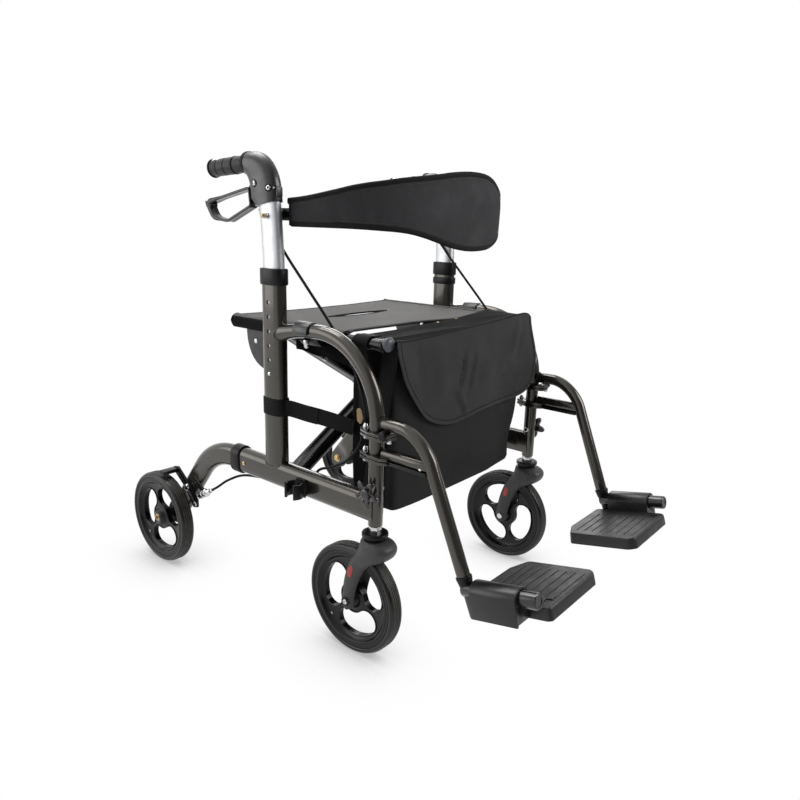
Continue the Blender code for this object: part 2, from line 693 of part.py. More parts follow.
def make_elbow(side):
    """A moulded elbow: sections that turn from the tube's end to the grip's."""
    rim_back, foot = GRIP_START_BACK, ELBOW_FOOT_Z
    heel = handle_back(foot) - HANDLE_LONG / 2 - 0.005
    toe = LEVER_PIVOT_BACK + LEVER_EYE_RADIUS
    top = GRIP_Z + ELBOW_RIM_RADIUS
    under = GRIP_Z - ELBOW_RIM_RADIUS
    outer_centre = (rim_back - 0.025, foot + 0.020)
    inner_centre = (rim_back, foot + 0.015)
    outer = [(heel, foot), (heel, outer_centre[1])]
    inner = [(toe - 0.001, foot), (toe + 0.002, inner_centre[1])]
    for high, low in ((30, 25), (55, 45), (75, 65), (90, 80)):
        outer.append((outer_centre[0] - (outer_centre[0] - heel) * cos(radians(high)),
                      outer_centre[1] + (top - outer_centre[1]) * sin(radians(high))))
        inner.append((inner_centre[0] - (inner_centre[0] - toe - 0.002) * cos(radians(low)),
                      inner_centre[1] + (under - inner_centre[1]) * sin(radians(low))))
    outer.append((rim_back, top))
    inner.append((rim_back, under))
    rings = []
    for i, (a, b) in enumerate(zip(outer, inner)):
        share = i / (len(outer) - 1)
        upper, lower = at(side, FRAME_OUT, *a), at(side, FRAME_OUT, *b)
        span = upper - lower
        half = ELBOW_HALF_WIDTH + (ELBOW_RIM_RADIUS - ELBOW_HALF_WIDTH) * share
        section = superellipse(half, span.length / 2, 3.6 - 1.6 * share, 12)
        rings.append(ring((upper + lower) / 2, X_AXIS, span.normalized(), section))
    shape = loft(rings)
    cut(shape, handle_solid(side, foot - 0.01, HANDLE_TOP_Z + GAP, GAP))
    rim = at(side, FRAME_OUT, rim_back, GRIP_Z)
    recess = ELBOW_RIM_RADIUS - GRIP_RADIUS + 0.002
    cut(shape, rod(rim - Y_AXIS * recess, rim + Y_AXIS * 0.01, GRIP_RADIUS + 0.001, 20))
    core = rim + Y_AXIS * (GRIP_LONG - 0.007)
    fuse(shape, rod(rim - Y_AXIS * (recess + 0.006), core, GRIP_CORE_RADIUS, 12))
    half = LEVER_EYE_WIDE / 2 + 0.0005
    slot = block(
        at(side, FRAME_OUT, LEVER_PIVOT_BACK - LEVER_EYE_RADIUS - 0.0015, foot + 0.018) - X_AXIS * half,
        at(side, FRAME_OUT, rim_back + 0.004, LEVER_PIVOT_Z + LEVER_EYE_RADIUS + 0.001) + X_AXIS * half,
    )
    cut(shape, slot)
    ends = [at(side, FRAME_OUT + shift, LEVER_PIVOT_BACK, LEVER_PIVOT_Z)
            for shift in (0.001 - ELBOW_HALF_WIDTH, ELBOW_HALF_WIDTH - 0.001)]
    return fuse(shape, rod(*ends, LEVER_PIN_RADIUS, 10))


def make_grip(side):
    """A moulded rubber grip with finger grooves and a thicker end."""
    start = ELBOW_RIM_RADIUS - GRIP_RADIUS + 0.002 - GAP
    long = GRIP_LONG + start
    bore = GRIP_CORE_RADIUS + GAP
    deep = start + GRIP_LONG - 0.007 + GAP
    radius = GRIP_RADIUS
    profile = [(deep, bore), (0, bore), (0, radius), (0.024, radius), (0.026, radius * 0.88), (0.028, radius)]
    for groove in (0.045, 0.060, 0.075):
        profile += [(groove - 0.003, radius), (groove, radius * 0.92), (groove + 0.003, radius)]
    profile += [(long - 0.010, radius * 0.98), (long - 0.006, radius * 1.08), (long - 0.002, radius * 1.06),
                (long, radius * 0.8)]
    origin = at(side, FRAME_OUT, GRIP_START_BACK - start, GRIP_Z)
    return turned(profile, origin, Y_AXIS, 12)


def rounded(corners, steps=3):
    """A closed outline through corners given as (a, b, radius)."""
    points = []
    for i, (a, b, radius) in enumerate(corners):
        here = Vector((a, b))
        before = (Vector(corners[i - 1][:2]) - here).normalized()
        after = (Vector(corners[(i + 1) % len(corners)][:2]) - here).normalized()
        half = before.angle(after) / 2
        centre = here + (before + after).normalized() * radius / sin(half)
        first = here + before * radius / abs(sin(half)) * cos(half) - centre
        turn = first.angle_signed(here + after * radius / abs(sin(half)) * cos(half) - centre)
        for step in range(steps + 1):
            spoke = first.copy()
            spoke.rotate(Matrix.Rotation(-turn * step / steps, 2))
            points.append(tuple(centre + spoke))
    return points


def make_brake_lever(side):
    """A looped lever: a flat band round the finger gap, and the eye it turns on."""
    root = (LEVER_PIVOT_BACK + 0.0175, LEVER_PIVOT_Z - 0.0105)
    half = LEVER_THICK / 2
    loop = rounded([
        (root[0], root[1], 0.005),
        (root[0] + 0.126, root[1] - 0.019, 0.008),
        (root[0] + 0.108, root[1] - 0.046, 0.022),
        (root[0] + 0.066, root[1] - 0.052, 0.016),
        (root[0] - 0.001, root[1] - 0.029, 0.006),
    ])
    path = [at(side, FRAME_OUT, *point) for point in loop]
    flat = [(-LEVER_WIDE / 2, -half), (LEVER_WIDE / 2, -half), (LEVER_WIDE / 2, half), (-LEVER_WIDE / 2, half)]
    rings = []
    for i, point in enumerate(path):
        along = (path[(i + 1) % len(path)] - path[i - 1]).normalized()
        rings.append(ring(point, X_AXIS, along.cross(X_AXIS), flat))
    shape = loft(rings, closed=True)
    hub = (LEVER_PIVOT_BACK, LEVER_PIVOT_Z)
    lug = arc(hub, LEVER_EYE_RADIUS, 61, 241, 6)
    lug += [(root[0] + 0.001, root[1] - 0.006), (root[0] + 0.004, root[1] + 0.001)]
    wide = LEVER_EYE_WIDE / 2
    origin = at(side, FRAME_OUT, 0, 0)
    fuse(shape, plate(lug, origin, Y_AXIS, Z_AXIS, X_AXIS, -wide, wide))
    ends = [at(side, FRAME_OUT + shift, *hub) for shift in (-0.02, 0.02)]
    return cut(shape, rod(*ends, LEVER_PIN_RADIUS + GAP, 10))


# Rear brake
def make_brake_arm(side):
    """The plate on the leg, the shoe over the tyre and the wire that pulls it."""
    flank = FRAME_OUT + LEG_WIDE / 2 + GAP
    hub = Vector(on_leg(BRAKE_PIVOT_UP_LEG))
    shoe_top = AXLE_Z + WHEEL_RADIUS + BRAKE_SHOE_GAP + 0.0075
    shoe_back = (REAR_AXLE_BACK - 0.032, REAR_AXLE_BACK - 0.012)
    wire_end = Vector(cable_line()[1])
    foot = Vector(under_leg(BRAKE_PIVOT_UP_LEG - BRAKE_FOOT_BELOW_PIVOT, BRAKE_FOOT_BELOW_LEG))
    corners = [
        (foot.x - 0.007, foot.y - 0.006, 0.003), (foot.x + 0.009, foot.y - 0.010, 0.003),
        (hub.x + 0.010, hub.y - 0.004, 0.004), (shoe_back[1], shoe_top - 0.008, 0.002),
        (shoe_back[1], shoe_top, 0.002), (shoe_back[0] + 0.002, shoe_top + 0.004, 0.004),
        (hub.x - 0.009, hub.y + 0.006, 0.006), (foot.x - 0.007, foot.y + 0.010, 0.003),
    ]
    origin = at(side, 0, 0, 0)
    out = X_AXIS * side
    shape = plate(rounded(corners, 2), origin, Y_AXIS, Z_AXIS, out, flank, flank + BRAKE_PLATE)
    under = AXLE_Z + sqrt(WHEEL_RADIUS ** 2 - (REAR_AXLE_BACK - shoe_back[1]) ** 2) + BRAKE_SHOE_GAP
    bar = [(shoe_back[0], under), (shoe_back[1], under), (shoe_back[1], shoe_top), (shoe_back[0], shoe_top)]
    shoe_end = REAR_WHEEL_OUT + WHEEL_WIDTH / 2 - 0.002
    fuse(shape, plate(bar, origin, Y_AXIS, Z_AXIS, out, flank + 0.001, shoe_end))
    level = flank - GAP
    start = at(side, level + BRAKE_PLATE / 2, foot.x, foot.y)
    end = at(side, level, *wire_end)
    fuse(shape, rod(start, end + (end - start).normalized() * 0.002, WIRE_RADIUS, 8))
    place = at(side, flank, *hub)
    return cut(shape, rod(place - out * 0.01, place + out * 0.01, BRAKE_PIVOT_RADIUS + GAP))


def smooth_curve(points, count):
    """Points at even steps along a smooth curve through the route's own points."""
    def spline(i, t):
        p0, p1 = points[max(i - 1, 0)], points[i]
        p2, p3 = points[i + 1], points[min(i + 2, len(points) - 1)]
        return 0.5 * (2 * p1 + (p2 - p0) * t + (2 * p0 - 5 * p1 + 4 * p2 - p3) * t * t
                      + (3 * p1 - p0 - 3 * p2 + p3) * t ** 3)

    fine = [spline(i, step / 20) for i in range(len(points) - 1) for step in range(20)]
    fine.append(points[-1])
    marks = [0.0]
    for first, second in zip(fine, fine[1:]):
        marks.append(marks[-1] + (second - first).length)
    result, k = [], 0
    for step in range(count):
        target = marks[-1] * step / (count - 1)
        while k < len(fine) - 2 and marks[k + 1] < target:
            k += 1
        share = (target - marks[k]) / (marks[k + 1] - marks[k])
        result.append(fine[k].lerp(fine[k + 1], min(share, 1)))
    return result


CABLE_ROUTE = [  # out, back, z: from the elbow, between arch and rail, along the lower tube
    (0.2430, 0.2900, ELBOW_FOOT_Z - 0.0018),
    (0.2428, 0.2893, ELBOW_FOOT_Z - 0.0100),
    (0.2345, 0.2700, ELBOW_FOOT_Z - 0.0300),
    (0.2340, 0.2250, 0.6790),
    (0.2330, 0.1710, 0.6190),
    (0.2330, 0.1180, 0.5610),
    (0.2340, 0.0650, 0.4980),
    (0.2380, 0.0380, 0.4400),
    (0.2395, 0.0390, 0.4100),
    (0.2400, 0.0480, 0.3750),
    (0.2395, 0.0790, 0.3400),
    (0.2390, 0.1150, 0.3200),
    (0.2365, 0.1480, 0.3060),
    (0.2300, 0.1700, 0.2830),
    (0.2280, 0.1880, 0.2620),
    (0.2280, 0.2250, 0.2530),
    (0.2285, 0.2950, 0.2460),
    (0.2330, 0.3700, 0.2360),
]
CABLE_UNDER_LEG = [(0.2470, 0.2081, 0.0678), (0.2580, 0.1827, 0.0625)]  # out, up the leg, below it


def make_brake_cable(side):
    curve = bpy.data.curves.new("cable", "CURVE")
    curve.dimensions = "3D"
    curve.bevel_depth = CABLE_DIAMETER / 2
    curve.bevel_resolution = 2
    curve.use_fill_caps = True
    (back, z), (mouth_back, mouth_z) = cable_line()
    axis = Vector((0, mouth_back - back, mouth_z - z)).normalized()
    end = at(side, FRAME_OUT + LEG_WIDE / 2, back, z) - axis * 3 * GAP
    route = [at(side, *point) for point in CABLE_ROUTE]
    route += [at(side, out, *under_leg(*place)) for out, *place in CABLE_UNDER_LEG]
    route += [end - axis * 0.008, end]
    points = smooth_curve(route, CABLE_POINTS)
    spline = curve.splines.new("POLY")
    spline.points.add(len(points) - 1)
    for place, point in zip(spline.points, points):
        place.co = (*point, 1)
    shape = bpy.data.objects.new("shape", curve)
    bpy.context.scene.collection.objects.link(shape)
    graph = bpy.context.evaluated_depsgraph_get()
    mesh = bpy.data.meshes.new_from_object(shape.evaluated_get(graph))
    bpy.data.objects.remove(shape)
    made = bpy.data.objects.new("shape", mesh)
    bpy.context.scene.collection.objects.link(made)
    return made


# Wheels
def kidney():
    """One opening between two spokes, as (a, b) about the axle."""
    half, angle = KIDNEY_HALF_WIDTH, KIDNEY_HALF_ANGLE
    points = arc((0, 0), KIDNEY_MIDDLE + half, -angle, angle, 3)
    end = (KIDNEY_MIDDLE * cos(radians(angle)), KIDNEY_MIDDLE * sin(radians(angle)))
    points += arc(end, half, angle, angle + 180, 3)[1:-1]
    points += arc((0, 0), KIDNEY_MIDDLE - half, angle, -angle, 2)
    points += arc((end[0], -end[1]), half, 180 - angle, 360 - angle, 3)[1:-1]
    return points


def make_rim(side, centre, inner_hub, outer_hub, bore):
    """A moulded wheel: hub, web with openings and the ring that carries the tyre."""
    web = WEB_THICKNESS / 2
    half = WHEEL_WIDTH / 2 - 0.001
    profile = [
        (-inner_hub, bore), (-inner_hub, HUB_RADIUS), (-web, HUB_RADIUS + 0.005),
        (-web, RIM_INNER - 0.005), (-half, RIM_INNER), (-half, RIM_OUTER),
        (half, RIM_OUTER), (half, RIM_INNER), (web, RIM_INNER - 0.005),
        (web, HUB_RADIUS + 0.005), (outer_hub, HUB_RADIUS), (outer_hub, bore),
    ]
    shape = turned(profile, centre, X_AXIS * side, WHEEL_STEPS, hollow=True)
    for number in range(SPOKES):
        turn = Matrix.Rotation(radians(KIDNEY_TURN + number * 360 / SPOKES), 3, "X")
        a_axis, b_axis = turn @ Y_AXIS, turn @ Z_AXIS
        cut(shape, plate(kidney(), centre, a_axis, b_axis, X_AXIS, -0.02, 0.02))
    return shape


def make_tyre(side, centre):
    half = WHEEL_WIDTH / 2
    seat = RIM_OUTER + GAP
    profile = [
        (-half + 0.001, seat), (-half, seat + 0.5 * TYRE_DEPTH), (-half + 0.006, WHEEL_RADIUS),
        (half - 0.006, WHEEL_RADIUS), (half, seat + 0.5 * TYRE_DEPTH), (half - 0.001, seat),
    ]
    return turned(profile, centre, X_AXIS * side, WHEEL_STEPS, hollow=True)


def caster_centre(side):
    return at(side, FRAME_OUT, CASTER_TRAIL, AXLE_Z)


def rear_centre(side):
    return at(side, REAR_WHEEL_OUT, REAR_AXLE_BACK, AXLE_Z)


def make_fork(side):
    """Crown with a hood ahead of the stem, and two legs that sweep back to the axle."""
    top, hood, wide = FORK_TOP_Z, FORK_HOOD_FORWARD, FORK_HOOD_HALF_WIDTH
    cap = DUST_CAP_DIAMETER / 2
    axle = AXLE_Z
    leg = FORK_HALF_WIDTH
    stations = [  # z, front, rear, half width
        (top + 0.001, -cap + 0.002, cap - 0.002, cap - 0.002),
        (top - 0.004, -hood + 0.006, cap, 0.92 * wide),
        (top - 0.012, -hood, cap + 0.001, wide),
        (top - 0.020, -hood + 0.005, cap + 0.006, wide),
        (top - 0.028, -0.027, cap + 0.011, wide),
        (top - 0.040, -0.010, cap + 0.019, 0.98 * wide),
        (top - 0.054, 0.005, CASTER_TRAIL + 0.002, leg + 0.0015),
        (axle + 0.043, CASTER_TRAIL - 0.026, CASTER_TRAIL + 0.011, leg + 0.0005),
        (axle + 0.012, CASTER_TRAIL - 0.017, CASTER_TRAIL + 0.0155, leg),
        (axle - 0.004, CASTER_TRAIL - 0.016, CASTER_TRAIL + 0.016, leg),
        (axle - 0.012, CASTER_TRAIL - 0.011, CASTER_TRAIL + 0.012, leg - 0.0005),
        (axle - 0.016, CASTER_TRAIL - 0.005, CASTER_TRAIL + 0.006, leg - 0.001),
    ]
    rings = []
    for z, front, rear, half in stations:
        centre = at(side, FRAME_OUT, (front + rear) / 2, z)
        rings.append(ring(centre, X_AXIS, Y_AXIS, superellipse(half, (rear - front) / 2, 2.8)))
    shape = loft(rings)
    hub = caster_centre(side)
    shift = X_AXIS * FORK_SLOT_HALF
    cut(shape, rod(hub - shift, hub + shift, FORK_SLOT_RADIUS, 20))
    cap_profile = [(-0.002, 0.82 * cap), (0.45 * DUST_CAP, 0.88 * cap), (0.5 * DUST_CAP, cap),
                   (0.92 * DUST_CAP, cap), (DUST_CAP, 0.93 * cap)]
    fuse(shape, turned(cap_profile, at(side, FRAME_OUT, 0, FORK_TOP_Z), Z_AXIS, 20))
    stem_foot = at(side, FRAME_OUT, 0, FORK_TOP_Z - 0.020)
    cut(shape, rod(stem_foot, stem_foot + Z_AXIS * 0.05, STEM_DIAMETER / 2 + GAP, STEM_STEPS))
    shift = X_AXIS * 0.04
    return cut(shape, rod(hub - shift, hub + shift, CASTER_AXLE_DIAMETER / 2 + GAP))


def make_caster_stem(side):
    """The stem in the post and the crown, with the lock nut between them."""
    foot = at(side, FRAME_OUT, 0, FORK_TOP_Z - 0.020 + GAP)
    stem = rod(foot, at(side, FRAME_OUT, 0, POST_FOOT_Z + STEM_IN_POST), STEM_DIAMETER / 2, STEM_STEPS)
    nut = turned([(0, STEM_NUT_DIAMETER / 2), (STEM_NUT, STEM_NUT_DIAMETER / 2)],
                 at(side, FRAME_OUT, 0, DUST_CAP_TOP + GAP), Z_AXIS, 6)
    return fuse(stem, nut)


def make_caster_axle(side):
    half = FORK_HALF_WIDTH + GAP
    head = CASTER_AXLE_DIAMETER * 0.85
    profile = [(-half - CASTER_AXLE_HEAD, 0.9 * head), (-half, head), (-half, CASTER_AXLE_DIAMETER / 2),
               (half, CASTER_AXLE_DIAMETER / 2), (half, head), (half + CASTER_AXLE_HEAD, 0.9 * head)]
    return turned(profile, caster_centre(side), X_AXIS * side, 10)


def leg_foot_span():
    """The inner and outer faces of the leg's flattened end."""
    middle = FRAME_OUT + LEG_FOOT_SHIFT
    return middle - LEG_FOOT_WIDE / 2, middle + LEG_FOOT_WIDE / 2


def make_rear_axle(side):
    inner, _ = leg_foot_span()
    outer = REAR_WHEEL_OUT + WHEEL_WIDTH / 2 - 0.0015 + GAP
    radius, head = AXLE_DIAMETER / 2, AXLE_HEAD_DIAMETER / 2
    profile = [(inner - GAP - 0.006, 0.9 * head), (inner - GAP, head), (inner - GAP, radius),
               (outer, radius), (outer, head), (outer + AXLE_HEAD, 0.85 * head)]
    return turned(profile, at(side, 0, REAR_AXLE_BACK, AXLE_Z), X_AXIS * side, 10)


def make_star_knob(side):
    """A lobed knob on the bolt through the post."""
    outline = []
    for i in range(4 * KNOB_LOBES):
        t = 2 * pi * i / (4 * KNOB_LOBES)
        radius = KNOB_RADIUS * (0.80 + 0.20 * cos(KNOB_LOBES * t))
        outline.append((radius * cos(t), radius * sin(t)))
    base = FRAME_OUT + POST_RADIUS + GAP
    out = X_AXIS * side
    centre = at(side, 0, 0, KNOB_Z)
    levels = ((base + 0.003, 0.7), (base + 0.006, 1.0), (base + KNOB_THICK + 0.002, 0.9))
    shape = loft([
        ring(centre + out * level, Y_AXIS, Z_AXIS, [(a * share, b * share) for a, b in outline])
        for level, share in levels
    ])
    inner = FRAME_OUT - POST_RADIUS - GAP
    bolt = [(inner - 0.003, KNOB_BOLT_RADIUS * 1.5), (inner, KNOB_BOLT_RADIUS * 1.9), (inner, KNOB_BOLT_RADIUS),
            (base, KNOB_BOLT_RADIUS), (base, 0.007), (base + 0.005, 0.007)]
    return fuse(shape, turned(bolt, centre, out, 10))


# Braces
def double_barrel():
    """Two round tubes side by side, as one outline; a runs across the pair."""
    radius = BRACE_THICK / 2
    shift = BRACE_WIDE / 2 - radius
    valley = 62
    return (arc((shift, 0), radius, -180 + valley, 180 - valley, 6)
            + arc((-shift, 0), radius, valley, 360 - valley, 6))


def make_brace(lean, back):
    """A brace from one lower tube to the other side's seat rail, with that rail on it."""
    low = at(-lean, BRACE_PIVOT_OUT, back, BRACE_PIVOT_Z)
    high = at(lean, RAIL_OUT, back, RAIL_Z)
    shape = sweep([low, high], double_barrel(), Y_AXIS)
    half = Y_AXIS * (BRACE_WIDE / 2)
    fuse(shape, rod(low - half, low + half, BRACE_SLEEVE_RADIUS))
    stud = half + Y_AXIS * (LUG_THICK + 0.002)
    fuse(shape, rod(low - stud, low + stud, BRACE_PIN_RADIUS))
    fuse(shape, make_rail(lean))
    return fuse(shape, make_gusset(lean))


def make_rail(side):
    radius = RAIL_DIAMETER / 2
    cap = RAIL_CAP_DIAMETER / 2
    front, rear = RAIL_FRONT_BACK, RAIL_REAR_BACK
    profile = [
        (front - RAIL_CAP_LONG, 0.35 * cap), (front - 0.93 * RAIL_CAP_LONG, 0.65 * cap),
        (front - 0.7 * RAIL_CAP_LONG, 0.9 * cap), (front - 0.35 * RAIL_CAP_LONG, cap), (front, cap),
        (front, radius), (rear - 0.002, radius), (rear, radius - 0.002),
    ]
    return turned(profile, at(side, RAIL_OUT, 0, RAIL_Z), Y_AXIS, 12)


def make_gusset(side):
    """The quarter-round side plate under the rail's rear part."""
    corner = (GUSSET_BACK, RAIL_Z - 0.6 * RAIL_DIAMETER / 2)
    outline = [corner] + arc(corner, GUSSET_RADIUS, 0, -90, 8)
    half = GUSSET_THICK / 2
    return plate(outline, at(side, RAIL_OUT, 0, 0), Y_AXIS, Z_AXIS, X_AXIS, -half, half)


def brace_centre():
    """Where the braces cross: out and z."""
    low, high = BRACE_PIVOT_OUT, RAIL_OUT
    share = low / (low + high)
    return Vector((0, POST_Y, BRACE_PIVOT_Z + share * (RAIL_Z - BRACE_PIVOT_Z)))


def make_braces():
    """Brace A carries the centre bolt, whose shank turns in brace B."""
    centre = brace_centre()
    brace_a = make_brace(1, BRACE_A_BACK)
    brace_b = make_brace(-1, BRACE_B_BACK)
    front = BRACE_A_BACK - BRACE_WIDE / 2
    rear = BRACE_B_BACK + BRACE_WIDE / 2
    cut(brace_b, rod(centre + Y_AXIS * (front - 0.01), centre + Y_AXIS * (rear + 0.01), BRACE_PIN_RADIUS + GAP))
    head = BRACE_PIN_RADIUS * 2
    bolt = [(front - 0.004, 0.9 * head), (front, head), (front, BRACE_PIN_RADIUS), (rear + GAP, BRACE_PIN_RADIUS),
            (rear + GAP, head), (rear + 0.005, head)]
    fuse(brace_a, turned(bolt, centre, Y_AXIS, 10))
    return brace_a, brace_b


def make_seat_rest(side):
    """The clamp on the arch, with the open cradle that the rail rests in."""
    arch_z = ARCH_TOP_Z
    rail, bore = RAIL_DIAMETER / 2 + 2 * GAP, POST_RADIUS + GAP
    ring_out = bore + REST_WALL
    floor = RAIL_Z - rail - REST_WALL
    outboard = RAIL_OUT + rail + CRADLE_PLAY
    inboard = RAIL_OUT - rail - REST_WALL - 0.001
    outline = arc((FRAME_OUT, arch_z - 0.002), ring_out, 120, -90, 9)
    outline += [(FRAME_OUT - 0.012, floor - 0.004), (inboard + 0.006, floor), (inboard, floor + 0.006),
                (inboard, RAIL_Z - 0.001), (FRAME_OUT - ring_out, RAIL_Z + 0.006)]
    low, high = REST_BACK - REST_LONG / 2, REST_BACK + REST_LONG / 2
    shape = plate(outline, at(side, 0, 0, 0), X_AXIS * side, Z_AXIS, Y_AXIS, low, high)
    cut(shape, sweep(arch_path(side)[:9], arch_sections(GAP)[:9]))
    channel = arc((RAIL_OUT, RAIL_Z), rail, 180, 360, 8)
    channel[-1] = (outboard, RAIL_Z)
    channel += [(outboard, RAIL_Z + 0.03), (RAIL_OUT - rail, RAIL_Z + 0.03)]
    return cut(shape, plate(channel, at(side, 0, 0, 0), X_AXIS * side, Z_AXIS, Y_AXIS, low - 0.01, high + 0.01))


# Footrests
def hanger_line(side):
    """Middle line of the hanger tube, from beside the post down to its open end."""
    bend = (-HANGER_BEND_AHEAD, HANGER_TOP_Z - HANGER_BEND_RADIUS)
    points = [at(side, FRAME_OUT, -HANGER_START, HANGER_TOP_Z)]
    points += [at(side, FRAME_OUT, b, z) for b, z in arc(bend, HANGER_BEND_RADIUS, 90, 90 + HANGER_LEAN, 7)]
    drop = points[-1].z - HANGER_FOOT_Z
    ahead = drop / sin(radians(HANGER_LEAN)) * cos(radians(HANGER_LEAN))
    points.append(points[-1] + Vector((-side * HANGER_TOE_IN, -ahead, -drop)))
    return points


def rod_axis(side):
    first, last = hanger_line(side)[-2:]
    return (last - first).normalized()


def boss_frame(side):
    """Where the rod meets the boss, and the boss's forward, inboard and upward axes."""
    origin = hanger_line(side)[-1] + rod_axis(side) * BOSS_BELOW
    tilt = radians(BOSS_TILT)
    forward = Vector((0, -cos(tilt), sin(tilt)))
    return origin, forward, X_AXIS * -side, Vector((0, sin(tilt), cos(tilt)))


def hinge_ring(side, z):
    """One of the hanger's two rings about the post."""
    half = POST_RADIUS + GAP + RING_WALL
    tail = RING_REAR - RING_BOLT_BACK
    outline = arc((RING_BOLT_BACK, 0), tail, 60, -60, 4) + arc((0, 0), half, -50, -90, 2)
    outline += [(-0.7 * RING_FRONT, -half), (-RING_FRONT, -0.6 * half), (-RING_FRONT, 0.6 * half),
                (-0.7 * RING_FRONT, half)] + arc((0, 0), half, 90, 50, 2)
    low = z - RING_THICK / 2
    shape = plate(outline, at(side, FRAME_OUT, 0, 0), Y_AXIS, X_AXIS, Z_AXIS, low, low + RING_THICK)
    nut, reach = RING_NUT_RADIUS, RING_THICK / 2 + RING_NUT
    profile = [(-reach, 0.5 * nut), (-reach + 0.004, nut), (reach - 0.004, nut), (reach, 0.5 * nut)]
    return fuse(shape, turned(profile, at(side, FRAME_OUT, RING_BOLT_BACK, z), Z_AXIS, 8))


def make_hanger(side):
    line = hanger_line(side)
    shape = sweep(line, circle(HANGER_DIAMETER / 2, 12))
    end, axis = line[-1], rod_axis(side)
    bore = HANGER_DIAMETER / 2 - HANGER_WALL
    cut(shape, rod(end - axis * (ROD_IN_HANGER + 0.003), end + axis * 0.01, bore, 12))
    strut_z = LOWER_RING_Z + 0.008
    reach = (line[-2].z - strut_z) / tan_lean() - line[-2].y + POST_Y
    strut = [at(side, FRAME_OUT, b, strut_z) for b in (-HANGER_START, -reach - 0.004)]
    fuse(shape, rod(*strut, STRUT_DIAMETER / 2, 12))
    under = strut_z - STRUT_DIAMETER / 2
    fuse(shape, block(at(side, FRAME_OUT, -reach + 0.006, under - 0.002) - X_AXIS * 0.008,
                      at(side, FRAME_OUT, -HANGER_START, under + 0.001) + X_AXIS * 0.008))
    fuse(shape, hinge_ring(side, UPPER_RING_Z), hinge_ring(side, LOWER_RING_Z))
    low = UPPER_RING_Z + RING_THICK / 2 - 0.001
    fuse(shape, block(at(side, FRAME_OUT, -RING_FRONT + 0.001, low) - X_AXIS * 0.008,
                      at(side, FRAME_OUT, -HANGER_START - 0.002, HANGER_TOP_Z - 0.008) + X_AXIS * 0.008))
    return cut(shape, post_cutter(side))


def tan_lean():
    return sin(radians(HANGER_LEAN)) / cos(radians(HANGER_LEAN))


def make_footrest_rod(side):
    end, axis = hanger_line(side)[-1], rod_axis(side)
    radius = HANGER_DIAMETER / 2 - HANGER_WALL - ROD_PLAY
    long = BOSS_BELOW + ROD_REACH_BELOW
    profile = [(-ROD_IN_HANGER, radius), (GAP, radius), (GAP, 0.0128), (0.005, 0.0128),
               (COUPLING_LONG, 0.0105), (COUPLING_LONG + 0.002, radius)]
    shape = turned(profile, end, axis, 12)
    low = [end + axis * (COUPLING_LONG + 0.001), end + axis * (long - 0.004), end + axis * long]
    flat = stadium(0.0120, 0.0190, 4)
    flat = [(b, a) for a, b in flat]
    fuse(shape, sweep(low, [flat, flat, [(0.7 * a, 0.7 * b) for a, b in flat]]))
    origin, forward, _, _ = boss_frame(side)
    boss = [(-0.006, BOSS_RADIUS - 0.002), (-0.003, BOSS_RADIUS), (BOSS_LONG - 0.002, BOSS_RADIUS),
            (BOSS_LONG, BOSS_RADIUS - 0.002)]
    return fuse(shape, turned(boss, origin, forward, 16))


def footplate_outline(inset):
    near, far = HOUSING_RADIUS - 0.0045, PLATE_INNER
    rear, front = -PLATE_REAR, PLATE_FRONT
    return rounded([
        (near + inset, rear + inset, 0.006), (far - 0.040, rear + inset, 0.014),
        (far - inset, rear + 0.018, 0.010), (far - inset, front - 0.012, 0.012),
        (far - 0.010, front - inset, 0.010), (near + inset, front - inset, 0.008),
    ], 2)


def make_footplate(side):
    """The housing round the boss and the ribbed tread beside it."""
    origin, forward, inboard, upward = boss_frame(side)
    radius, drop = HOUSING_RADIUS, PLATE_TOP_DROP
    foot = drop + PLATE_SKIRT
    outline = [(-radius - 0.0015, -foot - 0.001), (-radius - 0.0015, 0.002), (-0.017, 0.012)]
    outline += [(-0.009, 0.0185), (0, radius + 0.0005), (0.009, 0.0185), (0.016, 0.012), (radius - 0.0005, 0.002),
                (radius, -drop), (radius, -foot + 0.002), (-0.0165, -foot + 0.002), (-0.0165, -foot - 0.001)]
    shape = plate(outline, origin, inboard, upward, forward, HOUSING_START, HOUSING_END)
    levels = ((-foot, 0.0), (-drop - 0.004, 0.001), (-drop - 0.001, 0.002), (-drop, 0.0035))
    tread = loft([
        ring(origin + upward * level, inboard, forward, footplate_outline(inset)) for level, inset in levels
    ])
    hollow = [(radius + 0.004, -PLATE_REAR + 0.007), (PLATE_INNER - 0.044, -PLATE_REAR + 0.007),
              (PLATE_INNER - 0.007, 0.014), (PLATE_INNER - 0.007, PLATE_FRONT - 0.016),
              (PLATE_INNER - 0.014, PLATE_FRONT - 0.007), (radius + 0.004, PLATE_FRONT - 0.007)]
    cut(tread, plate(hollow, origin, inboard, forward, upward, -foot - 0.01, -drop - PLATE_SKIN))
    pitch = (PLATE_FRONT - 0.024) / (GROOVES - 1)
    for number in range(GROOVES):
        start = 0.012 + number * pitch - GROOVE_WIDE / 2
        groove = [(0.050, start), (0.150, start), (0.150, start + GROOVE_WIDE), (0.050, start + GROOVE_WIDE)]
        cut(tread, plate(groove, origin, inboard, forward, upward, -drop - GROOVE_DEEP, 0))
    fuse(shape, tread)
    return cut(shape, rod(origin, origin + forward * (BOSS_LONG + 0.02), BOSS_RADIUS + GAP, 16))


# Backrest
def band_point(turn):
    """Middle line of the band, from its middle (0) towards an end (1), as (out, back)."""
    angle = turn * pi / 2
    share = 2 / BAND_EXPONENT
    out = BAND_HALF_WIDTH * sin(angle) ** share if angle > 0 else 0.0
    reach = BAND_REACH * max(cos(angle), 0.0) ** share
    return out, BACKREST_PIVOT_BACK - 0.002 - reach


